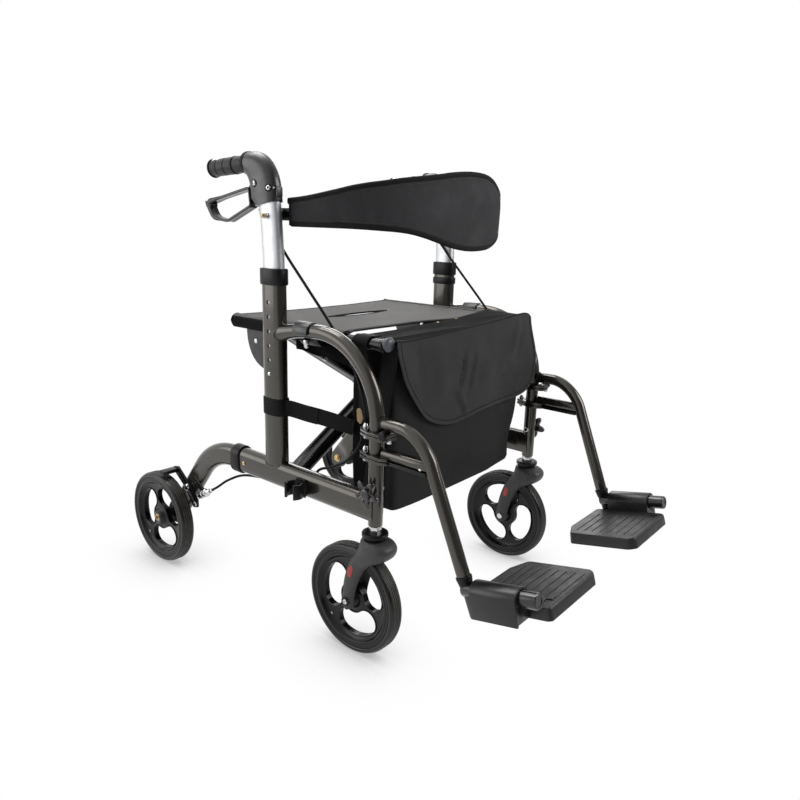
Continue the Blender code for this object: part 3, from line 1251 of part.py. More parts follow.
def band_heights(out):
    u = out / BAND_HALF_WIDTH
    t = min(out / (0.84 * BAND_HALF_WIDTH), 1)
    top = BAND_MIDDLE_TOP_Z - 0.030 * u ** 2 - 0.024 * u ** 14
    return BAND_MIDDLE_FOOT_Z + 0.035 * t * t * (3 - 2 * t), top


def make_backrest():
    """The padded band, from arm to arm round the front."""
    end = band_end_turn()
    turns = [0, 0.10, 0.20, 0.30, 0.40, 0.50, 0.58, 0.66, 0.74, 0.82, 0.89, 0.94]
    turns = [t * end for t in turns] + [end]
    places = [(-1, t) for t in turns[:0:-1]] + [(1, t) for t in turns]
    line = []
    for side, t in places:
        out, back = band_point(t)
        line.append((side, out, back))
    rings = []
    for i, (side, out, back) in enumerate(line):
        ahead, behind = line[min(i + 1, len(line) - 1)], line[max(i - 1, 0)]
        along = at(ahead[0], ahead[1], ahead[2], 0) - at(behind[0], behind[1], behind[2], 0)
        across = along.normalized().cross(Z_AXIS)
        foot, top = band_heights(out)
        crown = BAND_THICK * (0.5 + 0.25 * (1 - out / BAND_HALF_WIDTH))
        tall = top - foot
        half = 0.35 * BAND_THICK
        section = [(half, 0), (crown, 0.16 * tall), (crown, 0.84 * tall), (half, tall),
                   (-half, tall), (-crown, 0.84 * tall), (-crown, 0.16 * tall), (-half, 0)]
        rings.append(ring(at(side, out, back, foot), across, Z_AXIS, section))
    shape = loft(rings)
    for side in SIDES.values():
        cut(shape, arm_bar(side, GAP))
    return shape


def band_end_turn():
    reach = (BACKREST_PIVOT_BACK - 0.002 - BAND_END_BACK) / BAND_REACH
    return acos(reach ** (BAND_EXPONENT / 2)) / (pi / 2)


def arm_bar(side, grow=0.0):
    half, tall = ARM_THICK / 2 + grow, ARM_TALL / 2 + grow
    rear = BACKREST_PIVOT_BACK + 0.012
    outline = rounded([
        (ARM_FRONT_BACK - grow, BACKREST_PIVOT_Z - tall, 0.004), (rear, BACKREST_PIVOT_Z - tall, 0.009),
        (rear, BACKREST_PIVOT_Z + tall, 0.009), (ARM_FRONT_BACK - grow, BACKREST_PIVOT_Z + tall, 0.004),
    ], 3)
    return plate(outline, at(side, ARM_OUT, 0, 0), Y_AXIS, Z_AXIS, X_AXIS * side, -half, half)


def make_backrest_arm(side):
    flank = FRAME_OUT - HANDLE_WIDE / 2 - GAP
    ends = [at(side, out, BACKREST_PIVOT_BACK, BACKREST_PIVOT_Z) for out in (ARM_OUT, flank)]
    return fuse(arm_bar(side), rod(*ends, 0.008, 16))


# Seat and bag
def make_seat():
    """A sling from rail to rail, sagging a little, with a hand slot."""
    across = [-1, -0.94, -0.75, -0.5, -0.25, 0, 0.25, 0.5, 0.75, 0.94, 1]
    count = 8
    low = RAIL_Z + RAIL_DIAMETER / 2 + GAP
    data = bmesh.new()
    skins = []
    for lift in (0, SEAT_THICK):
        rows = []
        for step in range(count + 1):
            back = SEAT_FRONT_BACK + (SEAT_REAR_BACK - SEAT_FRONT_BACK) * step / count
            row = []
            for share in across:
                sag = SEAT_SAG * max(0.0, 1 - (share / 0.94) ** 2) * sin(pi * step / count)
                row.append(data.verts.new((share * SEAT_HALF_WIDTH, POST_Y + back, low + lift - sag)))
            rows.append(row)
        skins.append(rows)
    wide = len(across)
    for rows in skins:
        for step in range(count):
            for i in range(wide - 1):
                data.faces.new((rows[step][i], rows[step][i + 1], rows[step + 1][i + 1], rows[step + 1][i]))
    below, above = skins
    for step in range(count):
        for i in (0, wide - 1):
            data.faces.new((below[step][i], below[step + 1][i], above[step + 1][i], above[step][i]))
    for i in range(wide - 1):
        for step in (0, count):
            data.faces.new((below[step][i], below[step][i + 1], above[step][i + 1], above[step][i]))
    slot = stadium(SLOT_WIDE, SLOT_LONG)
    centre = Vector((0, POST_Y + SLOT_BACK, low))
    return cut(solid(data), plate(slot, centre, Y_AXIS, X_AXIS, Z_AXIS, -0.02, 0.02))


def make_bag():
    """The bag under the seat's front, its flap and the panel that joins it to the seat."""
    middle = (BAG_FRONT_BACK + BAG_REAR_BACK) / 2
    deep = (BAG_REAR_BACK - BAG_FRONT_BACK) / 2
    top = RAIL_Z + RAIL_DIAMETER / 2 - 0.003
    stations = [(BAG_FOOT_Z, 0.90, 0.72), (BAG_FOOT_Z + 0.006, 0.96, 0.88), (BAG_FOOT_Z + 0.030, 0.99, 0.98),
                (0.32, 1.0, 1.0), (0.40, 1.0, 0.99), (0.48, 0.995, 0.96), (top - 0.03, 0.99, 0.90), (top, 0.985, 0.82)]
    rings = []
    for z, wide, thick in stations:
        section = superellipse(BAG_HALF_WIDTH * wide, deep * thick, 6, 20)
        rings.append(ring(Vector((0, POST_Y + middle, z)), X_AXIS, Y_AXIS, section))
    shape = loft(rings)
    wide, narrow = FLAP_HALF_WIDTH, BAG_HALF_WIDTH - 0.002
    step = RAIL_Z - RAIL_CAP_DIAMETER / 2 - 0.004
    outline = [(-wide + 0.014, FLAP_FOOT_Z + 0.003), (-wide, FLAP_FOOT_Z + 0.018), (-wide, step - 0.004),
               (-narrow, step), (-narrow, BAG_TOP_Z - 0.002), (narrow, BAG_TOP_Z - 0.002), (narrow, step),
               (wide, step - 0.004), (wide, FLAP_FOOT_Z + 0.018), (wide - 0.014, FLAP_FOOT_Z + 0.003),
               (0.1, FLAP_FOOT_Z), (-0.1, FLAP_FOOT_Z)]
    front = BAG_FRONT_BACK - FLAP_THICK
    fuse(shape, plate(outline, Vector((0, POST_Y, 0)), X_AXIS, Z_AXIS, Y_AXIS, front, BAG_FRONT_BACK + 0.003))
    panel_low = Vector((-narrow - 0.001, POST_Y + front + 0.003, top - 0.006))
    panel_high = Vector((narrow + 0.001, POST_Y + SEAT_FRONT_BACK - GAP, BAG_TOP_Z))
    return fuse(shape, block(panel_low, panel_high))


def make_cane_holder(side):
    """A spring clip with an upright axis, open outwards, on the lower tube's flank."""
    flank = FRAME_OUT + LOWER_TUBE_WIDE / 2 + GAP
    outer = CLIP_BORE_RADIUS + CLIP_WALL
    middle = flank + 0.002 + outer
    outline = arc((0, 0), outer, CLIP_MOUTH, 360 - CLIP_MOUTH, 14)
    outline += arc((0, 0), CLIP_BORE_RADIUS, 360 - CLIP_MOUTH, CLIP_MOUTH, 14)
    low = CLIP_Z - CLIP_TALL / 2
    out = X_AXIS * side
    shape = plate(outline, at(side, middle, CLIP_BACK, 0), out, Y_AXIS, Z_AXIS, low, low + CLIP_TALL)
    pad = block(Vector((-0.004, -0.009, low + 0.003)), Vector((0.004, 0.009, low + CLIP_TALL - 0.003)))
    pad.data.transform(Matrix.Translation(at(side, flank + 0.004, CLIP_BACK, 0)))
    return fuse(shape, pad)


def add_side(name, side, base, brace_back):
    """Every piece of one side, hung from the empty that carries that side's frame."""
    def add(shape, what, finish_name, carrier=base, sharp=40):
        return piece(shape, f"{name}_{what}", finish_name, carrier, sharp)

    add(make_upright(side), "upright", "bronze_paint")
    add(make_lower_tube(side, brace_back), "lower_tube", "bronze_paint")
    add(make_arch_post(side), "arch_post", "bronze_paint")
    add(make_rear_leg(side), "rear_leg", "bronze_paint")
    add(make_leg_collar(side), "leg_collar", "black_plastic")
    add(make_height_collar(side), "height_collar", "black_plastic")
    add(make_caster_stem(side), "caster_stem", "chrome")
    add(make_rear_axle(side), "rear_axle", "chrome")
    add(make_seat_rest(side), "seat_rest", "black_plastic")
    add(make_brake_cable(side), "brake_cable", "black_plastic")

    handle = pivot(f"{name}_height", at(side, FRAME_OUT, UPRIGHT_BACK, UPRIGHT_TOP_Z), base)
    add(make_handle_tube(side), "handle_tube", "satin_aluminium", handle)
    add(make_elbow(side), "elbow", "elbow_plastic", handle)
    add(make_grip(side), "grip", "grip_rubber", handle)
    lever = pivot(f"{name}_lever", at(side, FRAME_OUT, LEVER_PIVOT_BACK, LEVER_PIVOT_Z), handle)
    add(make_brake_lever(side), "brake_lever", "black_plastic", lever)
    button = pivot(f"{name}_button", at(side, FRAME_OUT + UPRIGHT_WIDE / 2, UPRIGHT_BACK, HEIGHT_HOLE_Z), handle)
    add(make_snap_button(side), "snap_button", "chrome", button)
    arm = pivot(f"{name}_backrest", at(side, ARM_OUT, BACKREST_PIVOT_BACK, BACKREST_PIVOT_Z), handle)
    add(make_backrest_arm(side), "backrest_arm", "black_paint", arm)

    brake = pivot(f"{name}_brake", at(side, FRAME_OUT + LEG_WIDE / 2, *on_leg(BRAKE_PIVOT_UP_LEG)), base)
    add(make_brake_arm(side), "brake_arm", "black_paint", brake)
    rear = pivot(f"{name}_rear_wheel", rear_centre(side), base)
    _, leg_face = leg_foot_span()
    hub_inner = REAR_WHEEL_OUT - leg_face - GAP - 0.0004
    hub_outer = WHEEL_WIDTH / 2 - 0.0015
    rim = make_rim(side, rear_centre(side), hub_inner, hub_outer, AXLE_DIAMETER / 2 + GAP)
    add(rim, "rear_rim", "rim_plastic", rear)
    add(make_tyre(side, rear_centre(side)), "rear_tyre", "tyre_rubber", rear)

    swivel = pivot(f"{name}_caster", at(side, FRAME_OUT, 0, FORK_TOP_Z), base)
    add(make_fork(side), "fork", "black_plastic", swivel)
    add(make_caster_axle(side), "caster_axle", "chrome", swivel)
    wheel = pivot(f"{name}_caster_wheel", caster_centre(side), swivel)
    half = CASTER_HUB_WIDTH / 2
    rim = make_rim(side, caster_centre(side), half, half, CASTER_AXLE_DIAMETER / 2 + GAP)
    add(rim, "caster_rim", "rim_plastic", wheel)
    add(make_tyre(side, caster_centre(side)), "caster_tyre", "tyre_rubber", wheel)

    knob = pivot(f"{name}_knob", at(side, FRAME_OUT + POST_RADIUS, 0, KNOB_Z), base)
    add(make_star_knob(side), "star_knob", "black_plastic", knob)
    hanger = pivot(f"{name}_hanger", at(side, FRAME_OUT, 0, UPPER_RING_Z), base)
    add(make_hanger(side), "hanger", "bronze_paint", hanger)
    reach = pivot(f"{name}_footrest", boss_frame(side)[0], hanger)
    add(make_footrest_rod(side), "footrest_rod", "bronze_paint", reach)
    tread = pivot(f"{name}_footplate", boss_frame(side)[0], reach)
    add(make_footplate(side), "footplate", "black_plastic", tread)
    return arm


def main():
    for leftover in list(bpy.data.objects):
        bpy.data.objects.remove(leftover)
    frame = pivot("frame", Vector())
    fold = pivot("fold", at(-1, BRACE_PIVOT_OUT, BRACE_A_BACK, BRACE_PIVOT_Z), frame)
    middle = brace_centre() + Y_AXIS * (BRACE_A_BACK + BRACE_B_BACK) / 2
    cross = pivot("fold_centre", middle, fold)
    left = pivot("fold_left", at(1, BRACE_PIVOT_OUT, BRACE_B_BACK, BRACE_PIVOT_Z), cross)
    seat = pivot("seat_lift", Vector((0, POST_Y + (SEAT_FRONT_BACK + SEAT_REAR_BACK) / 2, RAIL_Z)), frame)
    brace_a, brace_b = make_braces()
    piece(brace_a, "cross_brace_a", "black_paint", fold)
    piece(brace_b, "cross_brace_b", "black_paint", cross)
    arm = add_side("right", SIDES["right"], frame, BRACE_A_BACK)
    add_side("left", SIDES["left"], left, BRACE_B_BACK)
    piece(make_backrest(), "backrest", "black_fabric", arm)
    piece(make_seat(), "seat", "seat_fabric", seat)
    piece(make_bag(), "bag", "black_fabric", seat)
    piece(make_cane_holder(SIDES["right"]), "cane_holder", "black_plastic", frame)


main()
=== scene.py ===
from math import acos, asin, atan2, cos, hypot, pi, radians, sin, sqrt

import bmesh
import bpy
from mathutils import Matrix, Vector, noise


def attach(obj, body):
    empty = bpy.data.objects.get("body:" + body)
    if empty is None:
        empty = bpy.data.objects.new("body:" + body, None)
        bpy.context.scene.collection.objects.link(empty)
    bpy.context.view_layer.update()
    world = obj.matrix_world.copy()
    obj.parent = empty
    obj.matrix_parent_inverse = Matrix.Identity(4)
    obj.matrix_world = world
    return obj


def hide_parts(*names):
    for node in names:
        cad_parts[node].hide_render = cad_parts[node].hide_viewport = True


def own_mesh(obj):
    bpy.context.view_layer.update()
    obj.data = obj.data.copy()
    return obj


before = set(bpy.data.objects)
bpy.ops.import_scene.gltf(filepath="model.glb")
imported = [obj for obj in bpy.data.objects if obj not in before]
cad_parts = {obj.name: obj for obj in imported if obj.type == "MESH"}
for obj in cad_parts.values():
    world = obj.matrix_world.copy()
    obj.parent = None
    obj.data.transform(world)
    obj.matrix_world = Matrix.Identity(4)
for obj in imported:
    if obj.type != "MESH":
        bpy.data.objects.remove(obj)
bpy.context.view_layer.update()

sides = {"right": -1, "left": 1}
xAxis, yAxis, zAxis = Vector((1, 0, 0)), Vector((0, 1, 0)), Vector((0, 0, 1))
postY = -0.184  # the front posts; "back" is counted from here


def spot(side, out, back, z):
    return Vector((side * out, postY + back, z))


def linked(name, data):
    made = bpy.data.objects.new(name, data)
    bpy.context.scene.collection.objects.link(made)
    return made


# Node trees: an input takes a number, a socket or a wire
def feed(tree, inlet, value):
    value = value.socket if isinstance(value, Wire) else value
    if isinstance(value, bpy.types.NodeSocket):
        tree.links.new(value, inlet)
    else:
        inlet.default_value = value


def addNode(tree, kind, settings=None, inputs=None):
    made = tree.nodes.new(kind)
    for name, value in (settings or {}).items():
        setattr(made, name, value)
    for name, value in (inputs or {}).items():
        feed(tree, made.inputs[name], value)
    return made


# Shader sockets that take plain arithmetic
class Wire:
    def __init__(self, maker, socket):
        self.maker, self.socket = maker, socket

    def sum(self, operation, *others):
        made = self.maker.node("Math", {"operation": operation}, dict(enumerate((self, *others))))
        return Wire(self.maker, made.outputs[0])

    def __add__(self, other):
        return self.sum("ADD", other)

    def __sub__(self, other):
        return self.sum("SUBTRACT", other)

    def __rsub__(self, other):
        made = self.maker.node("Math", {"operation": "SUBTRACT"}, {0: other, 1: self})
        return Wire(self.maker, made.outputs[0])

    def __mul__(self, other):
        return self.sum("MULTIPLY", other)

    def sine(self):
        return self.sum("SINE")

    def size(self):
        return self.sum("ABSOLUTE")

    def most(self, other):
        return self.sum("MAXIMUM", other)


class Finish:
    sockets = {"coat": "Coat Weight", "coatRoughness": "Coat Roughness", "sheen": "Sheen Weight",
               "sheenRoughness": "Sheen Roughness", "specular": "Specular IOR Level"}

    def __init__(self, name, colour, roughness, metallic=0.0, **constants):
        self.slot = "black_plastic"
        self.material = bpy.data.materials.new(name)
        self.material.use_nodes = True
        self.tree = self.material.node_tree
        self.tree.nodes.clear()
        self.shader = self.node("BsdfPrincipled")
        output = self.node("OutputMaterial")
        self.tree.links.new(self.shader.outputs[0], output.inputs[0])
        self.set("Base Color", (*colour, 1))
        self.set("Roughness", roughness)
        self.set("Metallic", metallic)
        for key, value in constants.items():
            self.set(self.sockets[key], value)

    def node(self, kind, settings=None, inputs=None):
        return addNode(self.tree, "ShaderNode" + kind, settings, inputs)

    def wire(self, made, output=0):
        return Wire(self, made.outputs[output])

    def set(self, socket, value):
        feed(self.tree, self.shader.inputs[socket], value)

    def places(self, stretch=(1, 1, 1), surface=False):
        if surface:
            start = self.wire(self.node("UVMap", {"uv_map": "surface"}))
        else:
            start = self.wire(self.node("TexCoord"), "Object")
        return self.wire(self.node("Mapping", None, {"Vector": start, "Scale": stretch}))

    def parts(self, vector):
        made = self.node("SeparateXYZ", None, {0: vector})
        return [self.wire(made, i) for i in range(3)]

    def grain(self, scale, detail, places=None):
        return self.wire(self.node("TexNoise", None, {"Vector": places or self.places(), "Scale": scale,
                                                      "Detail": detail}))

    def band(self, value, low, high, newLow=0.0, newHigh=1.0):
        return self.wire(self.node("MapRange", {"interpolation_type": "SMOOTHSTEP"},
                                   {0: value, 1: low, 2: high, 3: newLow, 4: newHigh}))

    def mixed(self, share, first, second):
        def colour(value):
            return value if isinstance(value, Wire) else (*value, 1)[:4]
        made = self.node("Mix", {"data_type": "RGBA"}, {0: share, 6: colour(first), 7: colour(second)})
        return self.wire(made, 2)

    def edges(self, low, high):
        return self.band(self.wire(self.node("NewGeometry"), "Pointiness"), low, high)

    def bump(self, height, distance, strength):
        return self.wire(self.node("Bump", None, {"Height": height, "Distance": distance,
                                                  "Strength": strength}))


# Finishes
def framePaint(name, colour, edgeTone, roughness=0.3, metallic=0.72, coat=0.45, specular=0.5):
    made = Finish(name, colour, roughness, metallic, coat=coat, coatRoughness=0.07, specular=specular)
    flake, cloud = made.grain(1400, 2), made.grain(9, 4)
    tone = made.mixed(made.band(cloud, 0.3, 0.7, 0.0, 0.35), colour, tuple(c * 1.22 for c in colour))
    tone = made.mixed(made.band(flake, 0.62, 0.78, 0.0, 0.16), tone, tuple(min(c * 2.2, 1) for c in colour))
    # paint worn through on the edges
    edgeMask = made.edges(0.56, 0.7) * made.band(made.grain(60, 5), 0.48, 0.62)
    made.set("Base Color", made.mixed(edgeMask * 0.3, tone, edgeTone))
    made.set("Roughness", made.band(made.grain(34, 4), 0.25, 0.75, roughness - 0.03, roughness + 0.04))
    made.set("Normal", made.bump(flake * 0.5 + made.grain(260, 3) * 0.5, 0.00003, 0.22))
    return made


def mouldedPlastic(name, colour, roughness, grainSize=2200, depth=0.00012, coat=0.0, edgeTone=None,
                   specular=0.22):
    made = Finish(name, colour, roughness, coat=coat, coatRoughness=0.2, specular=specular)
    fine, cloud = made.grain(grainSize, 2), made.grain(22, 4)
    tone = made.mixed(made.band(cloud, 0.3, 0.7, 0.0, 0.5), colour, tuple(c * 1.28 + 0.002 for c in colour))
    if edgeTone:
        # edges lighten towards the edge colour: wear on most plastics, painted highlights on the
        # footplate's groove and rib edges
        edgeMask = made.edges(0.54, 0.66) * made.band(made.grain(90, 4), 0.4, 0.6)
        tone = made.mixed(edgeMask * 0.6, tone, edgeTone)
    made.set("Base Color", tone)
    made.set("Roughness", made.band(made.grain(48, 3), 0.25, 0.75, roughness - 0.05, roughness + 0.08))
    made.set("Normal", made.bump(fine, depth, 0.6))
    return made


def platedMetal(name, colour, roughness, brushed=(1, 1, 1), scratch=0.25):
    made = Finish(name, colour, roughness, 1.0)
    lines = made.grain(420, 3, places=made.places(stretch=brushed))
    stain = made.grain(70, 5)
    made.set("Base Color", made.mixed(made.band(stain, 0.4, 0.8, 0.0, 0.3), colour,
                                      tuple(c * 0.72 for c in colour)))
    made.set("Roughness", made.band(lines * 0.7 + stain * 0.3, 0.3, 0.7, roughness, roughness + 0.12))
    made.set("Normal", made.bump(lines, 0.00003, scratch))
    return made


def rubber(name, colour, roughness, dusty):
    made = Finish(name, colour, roughness, specular=0.2)
    fine, cloud = made.grain(1500, 3), made.grain(40, 5)
    tone = made.mixed(made.band(cloud, 0.42, 0.72, 0.0, 0.45), colour, dusty)
    made.set("Base Color", tone)
    made.set("Roughness", made.band(cloud, 0.2, 0.8, roughness - 0.08, roughness + 0.08))
    made.set("Normal", made.bump(fine * 0.7 + cloud * 0.3, 0.00018, 0.7))
    return made


def wovenCloth(name, colour, lighter, pitch, surface=True, sheen=0.03, depth=0.00022, roughness=0.82,
               specular=0.14, front=None):
    made = Finish(name, colour, roughness, sheen=sheen, sheenRoughness=0.4, specular=specular)
    across, along, _ = made.parts(made.places(surface=surface))
    k = 2 * pi / pitch
    warp, weft = (across * k).sine(), (along * k).sine()
    over = made.band((across * (k / 2)).sine() * (along * (k / 2)).sine(), -0.1, 0.1)
    threads = over * warp.size() + (1 - over) * weft.size()
    slub = made.grain(900, 3) * 0.5 + made.grain(130, 4) * 0.5
    tone = made.mixed(made.band(threads * 0.6 + slub * 0.4, 0.2, 0.9, 0.0, 1.0), colour, lighter)
    if front:  # the front panel takes the lighter front tone; the dark base left on the sides is painted shade
        ahead = 1 - made.band(made.parts(made.places())[1], postY + 0.022, postY + 0.03)
        tone = made.mixed(ahead * 0.85, tone, front)
    rubbed = made.band(made.grain(14, 5), 0.45, 0.75, 0.0, 0.35)
    made.set("Base Color", made.mixed(rubbed, tone, tuple(min(c * 1.35 + 0.004, 1) for c in lighter)))
    made.set("Roughness", made.band(slub, 0.2, 0.8, roughness - 0.06, roughness + 0.08))
    made.set("Normal", made.bump(threads * 0.75 + slub * 0.25, depth, 0.7))
    return made


def webbing(name, colour, lighter, rib=0.0016):
    made = Finish(name, colour, 0.68, sheen=0.01, sheenRoughness=0.4, specular=0.1)
    along, across, _ = made.parts(made.places(surface=True))
    ribs = (along * (2 * pi / rib)).sine().size()
    chevron = ((across * 2600).sine().size() + (along * 1900).sine()).sine().size()
    weave = ribs * 0.6 + chevron * 0.4
    made.set("Base Color", made.mixed(made.band(weave, 0.2, 0.9), colour, lighter))
    made.set("Normal", made.bump(weave, 0.0003, 0.7))
    return made


def reflectorRed():
    made = Finish("reflector_red", (0.4, 0.01, 0.008), 0.3, coat=0.15, coatRoughness=0.08)
    _, b, c = made.parts(made.places())
    cells = ((b * 2400).sine() * (c * 2400).sine()).size()
    made.set("Base Color", made.mixed(cells, (0.3, 0.006, 0.005), (0.52, 0.02, 0.014)))
    made.set("Normal", made.bump(cells, 0.0002, 0.5))
    return made


bronzePaint = framePaint("bronze_frame_paint", (0.06, 0.055, 0.048), (0.3, 0.28, 0.25), 0.22, 0.78)
blackPaint = framePaint("black_gloss_paint", (0.007, 0.007, 0.008), (0.06, 0.06, 0.06), 0.24, 0.0, 0.1,
                        0.25)
silverTube = platedMetal("satin_silver_tube", (0.62, 0.63, 0.65), 0.4, (8, 8, 0.3))
chromed = platedMetal("bright_chrome", (0.62, 0.62, 0.63), 0.09)
brassed = platedMetal("yellow_zinc", (0.54, 0.41, 0.21), 0.2)
blackPlastic = mouldedPlastic("black_moulded_plastic", (0.006, 0.006, 0.0065), 0.3,
                              edgeTone=(0.05, 0.05, 0.05))
forkPlastic = mouldedPlastic("matte_fork_plastic", (0.048, 0.048, 0.047), 0.44, 1500, 0.0002, specular=0.3)
elbowPlastic = mouldedPlastic("satin_elbow_plastic", (0.011, 0.0115, 0.0125), 0.34, 2600, 0.00006, coat=0.1,
                              specular=0.6)
greyPlastic = mouldedPlastic("grey_cap_plastic", (0.095, 0.102, 0.115), 0.34, coat=0.2)
rimGloss = mouldedPlastic("gloss_rim_plastic", (0.006, 0.006, 0.0065), 0.2, 900, 0.00003, coat=0.16,
                          specular=0.16)
leverPlastic = mouldedPlastic("lever_gloss_plastic", (0.008, 0.008, 0.01), 0.22, 2400, 0.00006, coat=0.3,
                              edgeTone=(0.2, 0.21, 0.24))
# its pale edge tone paints highlights along the footplate's groove and rib edges
treadPlastic = mouldedPlastic("footplate_plastic", (0.014, 0.014, 0.0135), 0.4, 900, 0.00016, specular=0.45,
                              edgeTone=(0.3, 0.3, 0.29))
cableSheath = mouldedPlastic("cable_sheath", (0.004, 0.004, 0.0042), 0.42, 700, 0.00012, specular=0.12)
gripRubber = rubber("soft_grip_rubber", (0.03, 0.03, 0.032), 0.4, (0.05, 0.05, 0.052))
tyreSide = mouldedPlastic("black_tyre_sidewall", (0.007, 0.007, 0.0068), 0.26, 900, 0.00004, coat=0.2,
                          specular=0.25)
tyreRubber = rubber("grey_tyre_rubber", (0.042, 0.039, 0.034), 0.55, (0.11, 0.1, 0.085))
seatCloth = wovenCloth("grey_seat_cloth", (0.114, 0.112, 0.109), (0.158, 0.155, 0.15), 0.0011,
                       surface=False)
bagCloth = wovenCloth("black_bag_cloth", (0.015, 0.015, 0.0155), (0.042, 0.042, 0.043), 0.0009, sheen=0.05,
                      roughness=0.54)
# the near-black base is painted shade on the bag's sides; only the front panel keeps the lighter front tone
shadedShellCloth = wovenCloth("black_bag_shell_painted_shade", (0.0026, 0.0026, 0.0026), (0.008, 0.008, 0.0082), 0.0009,
                        sheen=0.0, roughness=0.7, specular=0.04, front=(0.032, 0.032, 0.031))
# a darker copy of the bag cloth: painted shade on the upward-facing top panel
shadedPanelCloth = wovenCloth("black_bag_top_painted_shade", (0.005, 0.005, 0.0052), (0.013, 0.013, 0.0134), 0.0009, sheen=0.0,
                        roughness=0.78, specular=0.05)
bandCloth = wovenCloth("black_backrest_cloth", (0.027, 0.027, 0.028), (0.064, 0.064, 0.066), 0.0008,
                       sheen=0.0, roughness=0.8, specular=0.04)
bindingTape = webbing("black_binding_tape", (0.005, 0.005, 0.005), (0.018, 0.018, 0.019))
strapWebbing = webbing("black_strap_webbing", (0.003, 0.003, 0.003), (0.014, 0.014, 0.0145))
bandThread = wovenCloth("brown_thread", (0.06, 0.052, 0.045), (0.13, 0.115, 0.1), 0.0008, surface=False)
threadCloth = wovenCloth("black_thread", (0.02, 0.02, 0.021), (0.06, 0.06, 0.062), 0.0008, surface=False)
reflector = reflectorRed()
darkThread = wovenCloth("dark_thread", (0.004, 0.004, 0.004), (0.012, 0.012, 0.012), 0.0008, surface=False)
knobGloss = mouldedPlastic("gloss_knob_plastic", (0.006, 0.006, 0.0065), 0.2, 900, 0.00003, coat=0.5,
                           specular=0.4)
housingPlastic = mouldedPlastic("footplate_housing_plastic", (0.01, 0.01, 0.0095), 0.32, 900, 0.00005,
                                coat=0.1, specular=0.4)
tanLeather = mouldedPlastic("tan_leather_tab", (0.36, 0.25, 0.14), 0.55, 700, 0.0003)
paleDot = mouldedPlastic("pale_valve_dot", (0.62, 0.62, 0.6), 0.35)

# The slot that each finish takes; the others take black_plastic
slots = {"bronze_paint": [bronzePaint], "black_paint": [blackPaint], "satin_aluminium": [silverTube],
         "chrome": [chromed, brassed], "elbow_plastic": [elbowPlastic], "rim_plastic": [rimGloss, paleDot],
         "grip_rubber": [gripRubber], "tyre_rubber": [tyreSide, tyreRubber], "seat_fabric": [seatCloth],
         "black_fabric": [bagCloth, shadedShellCloth, shadedPanelCloth, bandCloth, bindingTape, strapWebbing,
                          bandThread, threadCloth, darkThread, tanLeather]}
for slotName, finishes in slots.items():
    for finish in finishes:
        finish.slot = slotName
print("finishes made:", len(bpy.data.materials))


# Outlines, as lists of (a, b)
def arc(centre, radius, start, end, steps):
    angles = [radians(start + (end - start) * i / steps) for i in range(steps + 1)]
    return [(centre[0] + radius * cos(t), centre[1] + radius * sin(t)) for t in angles]


def stadium(wide, long, steps=14, straights=2):
    shift = (long - wide) / 2
    upper = arc((0, shift), wide / 2, 0, 180, steps)
    lower = arc((0, -shift), wide / 2, 180, 360, steps)
    down = [(-wide / 2, shift - 2 * shift * i / (straights + 1)) for i in range(1, straights + 1)]
    up = [(wide / 2, -shift + 2 * shift * i / (straights + 1)) for i in range(1, straights + 1)]
    return upper + down + lower + up


def circle(radius, steps=32):
    return arc((0, 0), radius, 0, 360 * (1 - 1 / steps), steps - 1)


def signed(value, power):
    return abs(value) ** power * (1 if value > 0 else -1)


def superellipse(halfA, halfB, exponent, steps):
    angles = [2 * pi * (i + 0.5) / steps for i in range(steps)]
    return [(halfA * signed(cos(t), 2 / exponent), halfB * signed(sin(t), 2 / exponent)) for t in angles]


def rounded(corners, steps=6):
    points = []
    for i, (a, b, radius) in enumerate(corners):
        here = Vector((a, b))
        before = (Vector(corners[i - 1][:2]) - here).normalized()
        after = (Vector(corners[(i + 1) % len(corners)][:2]) - here).normalized()
        half = before.angle(after) / 2
        centre = here + (before + after).normalized() * radius / sin(half)
        first = here + before * radius / abs(sin(half)) * cos(half) - centre
        last = here + after * radius / abs(sin(half)) * cos(half) - centre
        turn = first.angle_signed(last)
        for step in range(steps + 1):
            spoke = first.copy()
            spoke.rotate(Matrix.Rotation(-turn * step / steps, 2))
            points.append(tuple(centre + spoke))
    return points


def smoothPath(points, count):
    fine = []
    for i in range(len(points) - 1):
        p0, p1 = points[max(i - 1, 0)], points[i]
        p2, p3 = points[i + 1], points[min(i + 2, len(points) - 1)]
        for step in range(24):
            t = step / 24
            fine.append(0.5 * (2 * p1 + (p2 - p0) * t + (2 * p0 - 5 * p1 + 4 * p2 - p3) * t * t
                               + (3 * p1 - p0 - 3 * p2 + p3) * t ** 3))
    fine.append(points[-1].copy())
    marks = [0.0]
    for first, second in zip(fine, fine[1:]):
        marks.append(marks[-1] + (second - first).length)
    result, k = [], 0
    for step in range(count):
        target = marks[-1] * step / (count - 1)
        while k < len(fine) - 2 and marks[k + 1] < target:
            k += 1
        share = (target - marks[k]) / max(marks[k + 1] - marks[k], 1e-9)
        result.append(fine[k].lerp(fine[k + 1], min(share, 1)))
    return result


def clamped(t):
    return min(max(t, 0), 1)


def eased(t):
    t = clamped(t)
    return t * t * (3 - 2 * t)


def bell(*offsets):
    return 2.718 ** -sum(offset ** 2 for offset in offsets)


def wavy(x, y, z):
    return noise.noise(Vector((x, y, z)))


def between(table, x):
    if x <= table[0][0]:
        return table[0][1]
    for (x0, y0), (x1, y1) in zip(table, table[1:]):
        if x <= x1:
            return y0 + (y1 - y0) * (x - x0) / (x1 - x0)
    return table[-1][1]


# Meshes. Every skin gets a UV map in metres, along the path and round the section.
def meshed(data, name="shape"):
    mesh = bpy.data.meshes.new(name)
    data.to_mesh(mesh)
    data.free()
    return linked(name, mesh)


